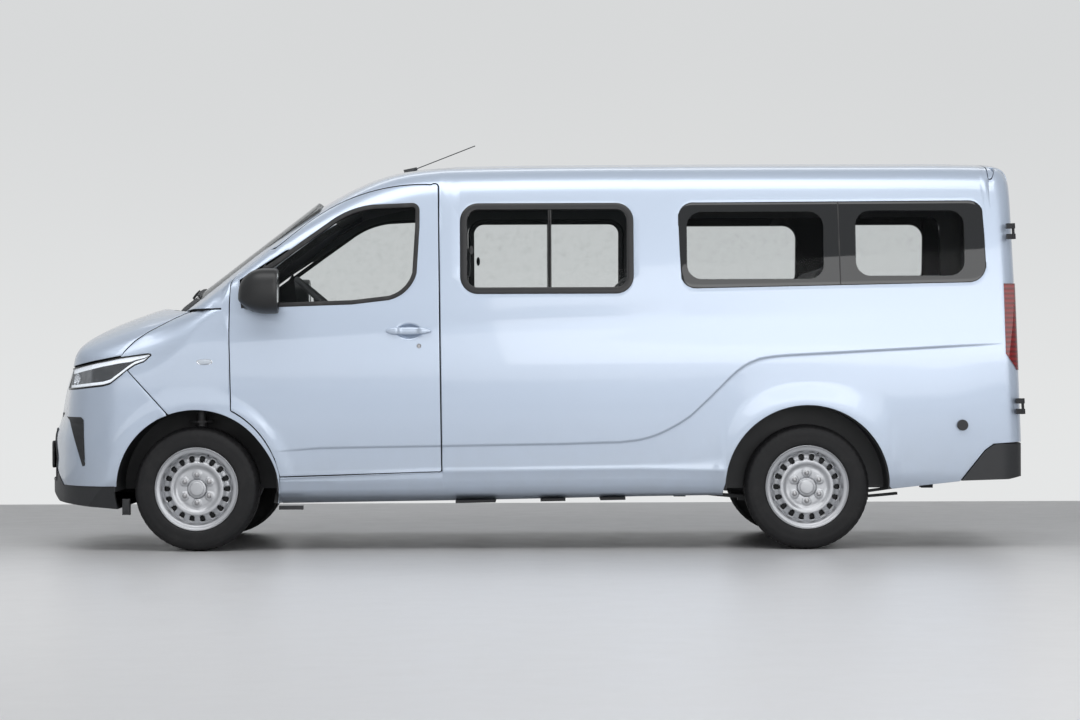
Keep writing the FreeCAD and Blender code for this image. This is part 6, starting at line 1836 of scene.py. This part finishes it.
def makeDoorWindow(side):
    # Door glass behind its rubber, with the black corner panel that carries the mirror.
    name = "left" if side > 0 else "right"
    body = "front_door_" + name
    addRing("door_seal_" + name, doorGlassLine, sealProfile, side, body, sealBlack)
    addPane("door_pane_" + name, grownOutline(doorGlassLine, -0.012), side, body, windowGlass,
            "front_door_glass_" + name,
            out=-0.008, thick=0.004)
    inner = grownOutline(doorGlassLine, -0.001)
    corner = inner.copy()
    corner[:, 0] = np.maximum(corner[:, 0], np.interp(corner[:, 1], (1.21, 1.42), (1.292, 1.318)))
    xs = spacing(1.292, corner[:, 0].max(), 0.012)
    low, high = outlineSpan(inner, xs)
    x, z = bandGrid(xs, (low, np.maximum(high, low + 0.003)), (12,))
    x = x + (z - 1.21) * 0.12 * smoothStep(1.36, 1.29, x)
    grid = sideAt(x, z, side, np.full(x.shape, 0.0012))
    points, faces = panelShell(grid, np.ones((len(xs) - 1, 12), bool), (0, side, 0), 0.012, radius=0.0015)
    piece = addMesh("door_corner_" + name, points, faces, rimBlack)
    crisp(piece, 40)
    place(piece, body, "black_plastic")


def superRing(centre, half, power, count=64):
    # Rounded-rectangle ring of points (a, b): a circle squared off by the power.
    t = 2 * math.pi * np.arange(count) / count
    c, s = np.cos(t), np.sin(t)
    shape = lambda v: np.sign(v) * np.abs(v) ** (2 / power)
    return np.stack([centre[0] + half[0] * shape(c), centre[1] + half[1] * shape(s)], 1)


def makeMirror(side):
    # Housing in rings from its glass forward to a blunt nose, a rim, the glass and the foot.
    name = "left" if side > 0 else "right"
    body = "front_door_" + name
    box0, box1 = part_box("mirror_" + name)
    parts = []
    rows = []
    front = 1.440 - 0.135 * (1 - np.sin(np.linspace(0, math.pi / 2, 15)))
    stations = [(1.2450, 0.80), (1.2415, 0.86), (1.2415, 0.955), (1.2480, 0.99), (1.262, 1.0), (1.285, 1.0)]
    stations += [(x, max(0.006, math.sqrt(max(0, 1 - ((x - 1.305) / 0.1352) ** 2)) ** 0.9)) for x in front]
    for x, scale in stations:
        drop = 0.046 * (1 - scale) ** 1.3
        ring = superRing((1.030 - 0.020 * (1 - scale), 1.306 - drop), (0.085 * scale, 0.1015 * scale), 2.7)
        ring[:, 1] -= 0.026 * smoothStep(1.25, 1.20, ring[:, 1]) * smoothStep(1.10, 0.98, ring[:, 0]) * scale
        rows.append(np.stack([np.full(64, x), side * ring[:, 0], ring[:, 1]], 1))
    parts.append((np.stack(rows), gridFaces(len(rows), 64, False, True)))
    path = np.stack([np.linspace(1.352, 1.392, 12), np.linspace(0.985, 0.868, 12), 1.212 + 0.018
                     * np.sin(np.linspace(0, 1.6, 12))], 1)
    path[:, 1] *= side
    foot = superRing((0, 0), (0.034, 0.020), 3.2, 28)
    grow = np.linspace(0.9, 1.25, 12)[:, None, None]
    footPoints = path[:, None, :] + np.stack([foot[:, 0], 0 * foot[:, 0], foot[:, 1]], 1)[None] * grow
    parts.append((footPoints, gridFaces(12, 28, False, True)))
    piece = addMesh("mirror_housing_" + name, *joined(parts), mirrorBlack)
    crisp(weld(piece), 40)
    place(piece, body, "black_plastic", "mirror_" + name)
    face = [np.stack([np.full(64, x), side * ring[:, 0], ring[:, 1]], 1)
            for x, ring in ((x, superRing((1.028, 1.306), (0.085 * k, 0.1015 * k), 3.0)) for x, k in
                            ((1.2470, 0.84), (1.2440, 0.83), (1.2436, 0.6), (1.2434, 0.3), (1.2434, 0.01)))]
    piece = addMesh("mirror_glass_" + name, np.stack(face), gridFaces(5, 64, False, True), mirrorSilver)
    crisp(weld(piece), 30)
    place(piece, body, "glazing")


def makeHandle(side):
    # Pull handle: a bowed bar with rounded ends over its cup, and the key lock below.
    name = "left" if side > 0 else "right"
    body = "front_door_" + name
    x = 0.489 + 0.228 * (0.5 - 0.5 * np.cos(np.linspace(0, math.pi, 40)))
    t = (x - 0.603) / 0.114
    out = 0.033 - 0.016 * np.abs(t) ** 2.6
    half = 0.0185 * np.sqrt(np.clip(1 - np.abs(t) ** 5, 0.0, 1)) * (1 - 0.16 * smoothStep(0.1, 0.9, -t))
    thick = 0.0105 * np.clip(1 - np.abs(t) ** 7, 0.02, 1) + 0.009 * smoothStep(0.72, 0.9, np.abs(t))
    a = 2 * math.pi * np.arange(28) / 28
    shape = lambda v: np.sign(v) * np.abs(v) ** 0.72
    base = sideAt(x, np.full(40, 1.098), 1)
    y = base[:, 1][:, None] + out[:, None] - thick[:, None] + thick[:, None] * shape(np.cos(a))[None]
    y = np.where(np.cos(a)[None] < -0.3, np.minimum(y, base[:, 1][:, None] + out[:, None] - thick[:, None]
                                                    * 1.2), y)
    z = 1.098 + half[:, None] * shape(np.sin(a))[None]
    points = np.stack([np.broadcast_to(x[:, None], y.shape), side * y, z], -1)
    piece = addMesh("door_handle_" + name, points, gridFaces(40, 28, False, True), finish["body_paint"])
    crisp(weld(piece), 40)
    place(piece, body, "body_paint")
    a = 2 * math.pi * np.arange(32) / 32
    rows = [sideAt(0.553 + r * np.cos(a), 1.023 + r * np.sin(a), side, np.full(32, o))
            for r, o in ((0.0115, -0.004), (0.0115, 0.0015), (0.0100, 0.0028), (0.0085, 0.0020),
                         (0.0080, 0.0010), (0.0002, 0.0010))]
    piece = addMesh("door_lock_" + name, np.stack(rows), gridFaces(6, 32, False, True), nutMaterial.material)
    crisp(weld(piece), 30)
    place(piece, body, "wheel_silver")


mirrorBlack = plasticMaterial("mirror_black", (0.013, 0.0135, 0.014), 0.32, 1500.0, 0.0001).material
mirrorSilver = metalShader("mirror_silver", (0.72, 0.74, 0.76), 0.04, 0.0, 1.0).material
for side in (1, -1):
    makeMiddleWindow(side)
    makeRearSide(side)
    makeDoorWindow(side)
    makeMirror(side)
    makeHandle(side)
print("windows, mirrors, handles")


cabinShape = {"crown": 0.016}
seatTone = clothMaterial("seat_weave", (0.030, 0.032, 0.036), (0.090, 0.095, 0.105)).material
liningTone = clothMaterial("lining_felt", (0.10, 0.10, 0.105), (0.16, 0.16, 0.165)).material
seatRows = ((1010, 400, 500, 950, 1400, True), (1010, -400, 500, 950, 1400, True),
            (120, 190, 1180, 950, 1395, False), (-880, 0, 1230, 980, 1445, False))


def padGrid(rows, y0, y1, places, n=20, pull=0.010):
    # Closed cushion from its side outline: rings across its width, drawn in at both ends and
    # crowned between the places' seams.
    line = outline(tuple(rows) + (rows[0],), 0.014)[:-1]
    centre = line.mean(0)
    count = n * places
    t = np.linspace(0, 1, count + 1)
    t = np.concatenate([[0, 0.002, 0.006], 0.012 + t[1:-1] * 0.976, [0.994, 0.998, 1]])
    ends = np.minimum(t, 1 - t) * (y1 - y0)
    rounding = 1 - (1 - np.clip(ends / 0.035, 0, 1)) ** 2.4
    seam = np.abs((t * places + 0.5) % 1 - 0.5) / places * (y1 - y0)
    crown = 1 - 0.55 * bump(seam, 0, 0.008) * ((t > 0.02) & (t < 0.98))
    away = line - centre
    reach = np.linalg.norm(away, axis=1, keepdims=True)
    inset = pull + cabinShape["crown"] * (1 - crown)[:, None, None] + 0.034 * (1 - rounding)[:, None, None]
    moved = centre + away[None] * (1 - inset / reach[None])
    moved[0] = moved[1] * 0.05 + centre * 0.95
    moved[-1] = moved[-2] * 0.05 + centre * 0.95
    y = np.broadcast_to((y0 + (y1 - y0) * t)[:, None], moved.shape[:2])
    points = np.stack([moved[..., 0], y, moved[..., 1]], -1)
    return points, gridFaces(len(t), len(line), False, True)


def plump(piece, rise=0.018):
    # Cloth pressure puffs the welded cushion; its growth is capped and kept in its solid's box.
    low = np.array([v.co for v in piece.data.vertices])
    box0, box1 = low.min(0), low.max(0)
    remesh = piece.modifiers.new("remesh", "REMESH")
    remesh.mode, remesh.voxel_size = "VOXEL", 0.016
    cloth = piece.modifiers.new("cloth", "CLOTH")
    cloth.settings.use_pressure = True
    cloth.settings.uniform_pressure_force = 3.0
    cloth.settings.effector_weights.gravity = 0.0
    cloth.settings.quality = 4
    cloth.point_cache.frame_start, cloth.point_cache.frame_end = 1, 14
    scene = bpy.context.scene
    before = None
    for frameNumber in range(1, 15):
        scene.frame_set(frameNumber)
        shape = piece.evaluated_get(bpy.context.evaluated_depsgraph_get())
        if before is None:
            before = np.empty(len(shape.data.vertices) * 3)
            shape.data.vertices.foreach_get("co", before)
    mesh = bpy.data.meshes.new_from_object(shape)
    after = np.empty(len(mesh.vertices) * 3)
    mesh.vertices.foreach_get("co", after)
    move = (after - before).reshape(-1, 3)
    length = np.linalg.norm(move, axis=1, keepdims=True)
    grown = before.reshape(-1, 3) + move * np.minimum(1, rise / np.maximum(length, 1e-9))
    grown = np.clip(grown, box0 - 0.008, box1 + 0.008)
    mesh.vertices.foreach_set("co", grown.reshape(-1))
    piece.modifiers.clear()
    piece.data = mesh
    mesh.polygons.foreach_set("use_smooth", np.full(len(mesh.polygons), True))
    scene.frame_set(1)
    return piece


def makeSeat(number, x, y, width, cushionZ, topZ, head):
    lean = 0.28 * (topZ - cushionZ)
    half = width / 2
    name = ("front_left", "front_right", "middle", "rear")[number]
    node = "front_seats" if head else "rear_seats"
    places = 1 if head else (2 if number == 2 else 3)
    cushion = ((x - 4, cushionZ - 95), (x - 6, cushionZ - 26), (x - 44, cushionZ - 2, x - 18, cushionZ
            - 8), (x - 240, cushionZ - 20),
               (x - 466, cushionZ - 36), (x - 466, cushionZ - 128), (x - 20, cushionZ - 128), (x - 4,
                       cushionZ - 95, x - 8, cushionZ - 122))
    back = ((x - 420, cushionZ - 22), (x - 446, cushionZ + 110, x - 428, cushionZ + 40), (x - 474 - lean,
            topZ - 22), (x - 515 - lean, topZ - 2, x - 484 - lean, topZ - 4),
            (x - 556 - lean, topZ - 26, x - 546 - lean, topZ - 6), (x - 538, cushionZ - 56), (x - 476,
                    cushionZ - 56), (x - 420, cushionZ - 22, x - 440, cushionZ - 30))
    parts = [("cushion", cushion, half - 4, places, 0.55), ("back", back, half - 14, places, 0.6)]
    for part, rows, reach, count, fill in parts:
        points, faces = padGrid(rows, (y - reach) * mm, (y + reach) * mm, count, pull=0.010
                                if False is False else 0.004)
        piece = addMesh(part + "_" + name, points, faces, seatTone)
        weld(piece)
        plump(piece)
        place(piece, "body", "seat_cloth", node)
    if not head:
        return
    middle = (x - 515 - lean) * mm
    ring = outline(((-40, 4), (-43, 90, -45, 40), (-30, 160, -40, 140), (0, 168, -16, 168),
                    (32, 158, 18, 168), (42, 90, 44, 130), (38, 4, 43, 40), (-40, 4))) [:-1]
    points, faces = padGrid([tuple(row * 1000 + [middle * 1000, topZ]) for row in ring], (y - 126) * mm,
                            (y + 126) * mm, 1, pull=0.002)
    piece = addMesh("head_rest_" + name, points, faces, seatTone)
    weld(piece)
    place(piece, "body", "seat_cloth", node)


def makeSteeringWheel():
    # Rim with a thumb grip section, three flat spokes and a soft-edged hub, on the tilted axis.
    a = 2 * math.pi * np.arange(96) / 96
    rim = 0.185 * np.stack([np.cos(a), np.sin(a), 0 * a], 1)
    b = 2 * math.pi * np.arange(18) / 18
    profile = np.stack([0.0135 * np.cos(b), 0.0145 * np.sin(b) - 0.002 * np.abs(np.cos(3 * b))], 1)
    parts = [sweep(rim, profile, (0, 0, 1))]
    hub = outline(((-30, 40), (-20, 56, -29, 50), (4, 60, -6, 60), (10, 52, 9.4, 58), (12, 30, 12, 42),
                   (12, 24), (10, 22), (10, 0.3)), 0.004)
    parts.append(turned(hub, 64, (0, 0, 0), 2))
    for angle in (90, 270, 0):
        way = np.array([math.cos(math.radians(angle)), math.sin(math.radians(angle)), 0])
        t = np.linspace(0, 1, 14)
        path = way * (0.045 + 0.135 * t)[:, None] + np.array([0, 0, 1]) * (-0.004 * np.sin(t * math.pi))[:,
                None]
        half = 0.017 * (1 - 0.25 * np.sin(t * math.pi))
        c = 2 * math.pi * np.arange(16) / 16
        shape = np.stack([np.sign(np.cos(c)) * np.abs(np.cos(c)) ** 0.6, 0.0055 * np.sin(c) / 1.0], 1)
        side = np.cross(way, (0, 0, 1))
        points = path[:, None] + side * (half[:, None, None] * shape[None, :, :1]) + np.array([0, 0,
                1]) * shape[None, :, 1:]
        parts.append((points, gridFaces(14, 16, False, True)))
    points, faces = joined(parts)
    turn = math.radians(-40.7)
    c, s = math.cos(turn), math.sin(turn)
    points = np.stack([points[:, 0] * c + points[:, 2] * s, points[:, 1], -points[:, 0] * s + points[:, 2]
                       * c], 1)
    piece = addMesh("steering_wheel_skin", points + np.array([1.057, 0.400, 1.250]), faces,
                    finish["cabin_plastic"])
    crisp(weld(piece), 40)
    place(piece, "steering_wheel", "cabin_plastic", "steering_wheel")


def makeDash():
    # Moulded dashboard from its side outline, with a hood over the dials and a centre stack.
    rows = ((1184, 1004), (1196, 1060), (1212, 1118, 1200, 1100), (1262, 1160, 1228, 1146),
            (1335, 1182, 1300, 1176), (1450, 1194), (1560, 1198),
            (1616, 1198), (1618, 984), (1425, 884), (1260, 902), (1184, 1004, 1206, 940))
    line = outline(rows, 0.022)[:-1]
    ys = spacing(-0.756, 0.756, 0.022, (0.22, 0.58))
    middle = line.mean(0)
    edge = smoothStep(0.756, 0.735, np.abs(ys))[:, None]
    pod = smoothStep(0.24, 0.20, np.abs(ys - 0.40))[:, None]
    top = smoothStep(1.10, 1.17, line[:, 1])[None] * smoothStep(1.46, 1.36, line[:, 0])[None]
    stack = smoothStep(0.15, 0.12, np.abs(ys))[:, None] * smoothStep(1.20, 1.05,
            line[:, 1])[None] * smoothStep(1.30, 1.20, line[:, 0])[None]
    x = line[None, :, 0] * (0.3 + 0.7 * edge) + middle[0] * 0.7 * (1 - edge)
    z = line[None, :, 1] * (0.3 + 0.7 * edge) + middle[1] * 0.7 * (1 - edge)
    z = z - 0.020 * (1 - pod) * top
    x = x + 0.014 * (1 - stack) * smoothStep(1.16, 1.05, line[:, 1])[None] * smoothStep(1.26, 1.20,
            line[:, 0])[None]
    y = np.broadcast_to(ys[:, None], x.shape)
    parts = [(np.stack([x, y, z], -1), gridFaces(len(ys), len(line), False, True))]
    for end in (0, -1):
        ring = np.stack([x[end], y[end], z[end]], -1)
        centre = ring.mean(0)
        parts.append((np.stack([ring, ring * 0.5 + centre * 0.5, ring * 0.02 + centre * 0.98]),
                      gridFaces(3, len(line), False, True)))
    piece = closedPiece("dash_skin", parts, finish["cabin_plastic"], 45)
    place(piece, "body", "cabin_plastic", "dashboard")
    down = np.array([math.sin(math.radians(40.7)), 0, -math.cos(math.radians(40.7))])
    column = outline(((45, 30), (60, 38, 48, 36), (200, 42), (320, 36)), 0.01)
    points, faces = turnedAt(column, 40, np.array([1.057, 0.400, 1.250]), down)
    place(closedPiece("column_shroud", (points, faces), finish["cabin_plastic"]), "body", "cabin_plastic")


def makeLining():
    # Roof lining below the roof panel.
    xs = np.linspace(-2.20, 0.92, 70)
    ys = np.linspace(-0.66, 0.66, 31)
    z = roofLine(xs)[:, None] - 0.096 * ys[None] ** 2 - 0.060
    z = z - 0.05 * smoothStep(0.58, 0.66, np.abs(ys))[None] + 0.0016 * np.cos(xs * 2 * math.pi / 0.52)[:,
            None]
    grid = np.stack([np.broadcast_to(xs[:, None], z.shape), np.broadcast_to(ys[None], z.shape), z], -1)
    points, faces = panelShell(grid, np.ones((69, 30), bool), (0, 0, -1), 0.008)
    place(closedPiece("roof_lining", (points, faces), liningTone), "body", "seat_cloth")


def makeBrackets():
    # Step bracket below the sill and the liner's foot below the bumper, on both sides.
    def bar(x0, x1, z0, z1, y0, y1, r):
        rows = ((x0 + r, z0), (x1 - r, z0), (x1, z0 + r, x1, z0), (x1, z1 - r), (x1 - r, z1, x1, z1),
                (x0 + r, z1),
                (x0, z1 - r, x0, z1), (x0, z0 + r), (x0 + r, z0, x0, z0))
        line = outline(rows, 0.003)[:-1]
        middle = line.mean(0)
        ys = np.array([y0, y0, y0 + 0.002, y1 - 0.002, y1, y1])
        share = np.array([0.02, 0.93, 1, 1, 0.93, 0.02])[:, None, None]
        flat = middle + (line - middle)[None] * share
        points = np.stack([flat[..., 0], np.broadcast_to(ys[:, None], flat.shape[:2]), flat[..., 1]], -1)
        return points, gridFaces(6, len(line), False, True)
    parts = []
    for side in (1, -1):
        for x0, x1, z0, z1, y0, y1, r in ((1137, 1257, 208, 227, 0.800, 0.838, 4), (2009, 2047, 182, 262,
                0.748, 0.790, 5)):
            points, faces = bar(x0, x1, z0, z1, y0, y1, r)
            parts.append((mirrored(points, side), faces))
    place(closedPiece("brackets", parts, finish["black_plastic"], 40), "body", "black_plastic")


makeBrackets()
for number, row in enumerate(seatRows):
    makeSeat(number, *row)
makeSteeringWheel()
makeDash()
makeLining()
print("cabin")



stageShape = {"half": 30.0, "wallY": -4.3, "wallHeight": 12.0, "curve": 0.12}
lightShape = {"key": 250.0, "fill": 110.0, "back": 120.0, "band": 420.0, "world": 0.56}


def floorMaterial():
    # Floor: mid grey near the wall as painted shade and paler to the front as painted light, nearly black far
    # to the front, smooth enough to mirror a little.
    s = Shader("floor_grey", (0.6, 0.6, 0.6), 0.35)
    y = s.xyz()[1]
    cloud = s.noise(0.7, 5.0, 0.6)
    scuff = s.noise(5.0, 6.0, 0.7)
    # painted shade near the wall fading to painted light towards the front
    front = (y + cloud * 1.2).step(-1.8, 3.6)
    shade = s.mix(front, (0.34, 0.34, 0.345), (0.66, 0.66, 0.665))
    s.set("Base Color", s.mix(y.step(8.6, 10.5), shade, (0.10, 0.10, 0.105)))
    s.set("Roughness", 0.26 + scuff * 0.22)
    return s.relief(s.noise(30.0, 3.0), 0.0003, 0.1).material


def wallMaterial():
    # Pale wall: the camera, mirrors and windows see its own even light, with painted shade making it a little
    # darker higher up.
    s = Shader("wall_grey", (0.80, 0.80, 0.80), 0.9)
    z = s.xyz()[2]
    # painted shade: darker with height, with faint random patches
    shade = s.mix(z.step(0.0, 3.2) * 0.7 + s.noise(0.4, 3.0) * 0.2, (0.80, 0.81, 0.81), (0.655, 0.665, 0.67))
    s.set("Base Color", s.mix(0.5, shade, (0.9, 0.9, 0.9)))
    glow = s.node("ShaderNodeEmission", {}, {"Color": shade, "Strength": 1.0})
    seen = (s.node("ShaderNodeLightPath", output="Is Camera Ray")
            + s.node("ShaderNodeLightPath", output="Is Glossy Ray") * 0.6)
    return s.blendWith(seen.least(1.0), glow).material


def makeStage():
    s = stageShape
    x = np.linspace(-s["half"], s["half"], 61)
    y = np.linspace(s["half"], s["wallY"] + s["curve"], 61)
    a = np.linspace(0, math.pi / 2, 9)[1:]
    bendY = s["wallY"] + s["curve"] * (1 - np.sin(a))
    bendZ = s["curve"] * (1 - np.cos(a))
    wallZ = np.linspace(s["curve"], s["wallHeight"], 12)[1:]
    floorGrid = np.stack(np.meshgrid(x, y, [0.0], indexing="ij"), -1).reshape(61, 61, 3)
    ys = np.concatenate([[s["wallY"] + s["curve"]], bendY, np.full(len(wallZ), s["wallY"])])
    zs = np.concatenate([[0.0], bendZ, wallZ])
    wallGrid = np.stack([np.broadcast_to(x[:, None], (61, len(ys))), np.broadcast_to(ys, (61, len(ys))),
                         np.broadcast_to(zs, (61, len(ys)))], -1)
    pieces = [addMesh("studio_floor", floorGrid, gridFaces(61, 61, flip=True), floorMaterial()),
              addMesh("studio_wall", wallGrid, gridFaces(61, len(ys), flip=True), wallMaterial())]


def areaLight(name, place, target, size, power, shade=(1, 1, 1)):
    light = bpy.data.lights.new(name, "AREA")
    light.shape = "RECTANGLE"
    light.size, light.size_y = size
    light.energy = power
    light.color = shade
    lamp = bpy.data.objects.new(name, light)
    lamp.matrix_world = (Vector(target) - Vector(place)).to_track_quat("-Z", "Y").to_matrix().to_4x4()
    lamp.location = place
    bpy.context.scene.collection.objects.link(lamp)
    return lamp


def makeLights():
    areaLight("key_light", (0.5, 5.0, 6.4), (0, 0.2, 0.9), (9.0, 3.6), lightShape["key"])
    areaLight("fill_light", (-3.0, 9.0, 2.6), (0, 0.6, 0.9), (7.0, 2.6), lightShape["fill"])
    areaLight("band_light", (0.0, 22.0, 2.2), (0, 0, 1.6), (36.0, 3.4), lightShape["band"])
    areaLight("back_light", (0.0, -4.5, 6.0), (0, -0.4, 1.2), (9.0, 3.0), lightShape["back"])
    world = bpy.data.worlds.new("studio")
    bpy.context.scene.world = world
    world.use_nodes = True
    world.node_tree.nodes["Background"].inputs[0].default_value = (0.95, 0.97, 1.0, 1.0)
    world.node_tree.nodes["Background"].inputs[1].default_value = lightShape["world"]


def makeCamera():
    # Level, square to the left side, the picture's content rising a little to the right.
    data = bpy.data.cameras.new("camera")
    data.lens, data.sensor_width, data.sensor_fit = 100.2, 36.0, "HORIZONTAL"
    data.clip_end = 200.0
    camera = bpy.data.objects.new("camera", data)
    bpy.context.scene.collection.objects.link(camera)
    turn = Matrix.Rotation(math.pi, 4, "Z") @ Matrix.Rotation(math.pi / 2, 4,
                                                              "X") @ Matrix.Rotation(-0.0035, 4, "Z")
    camera.matrix_world = Matrix.Translation((-0.049, 15.85, 0.951)) @ turn
    bpy.context.scene.camera = camera


makeStage()
makeLights()
makeCamera()
bpy.context.scene.view_settings.view_transform = "Standard"
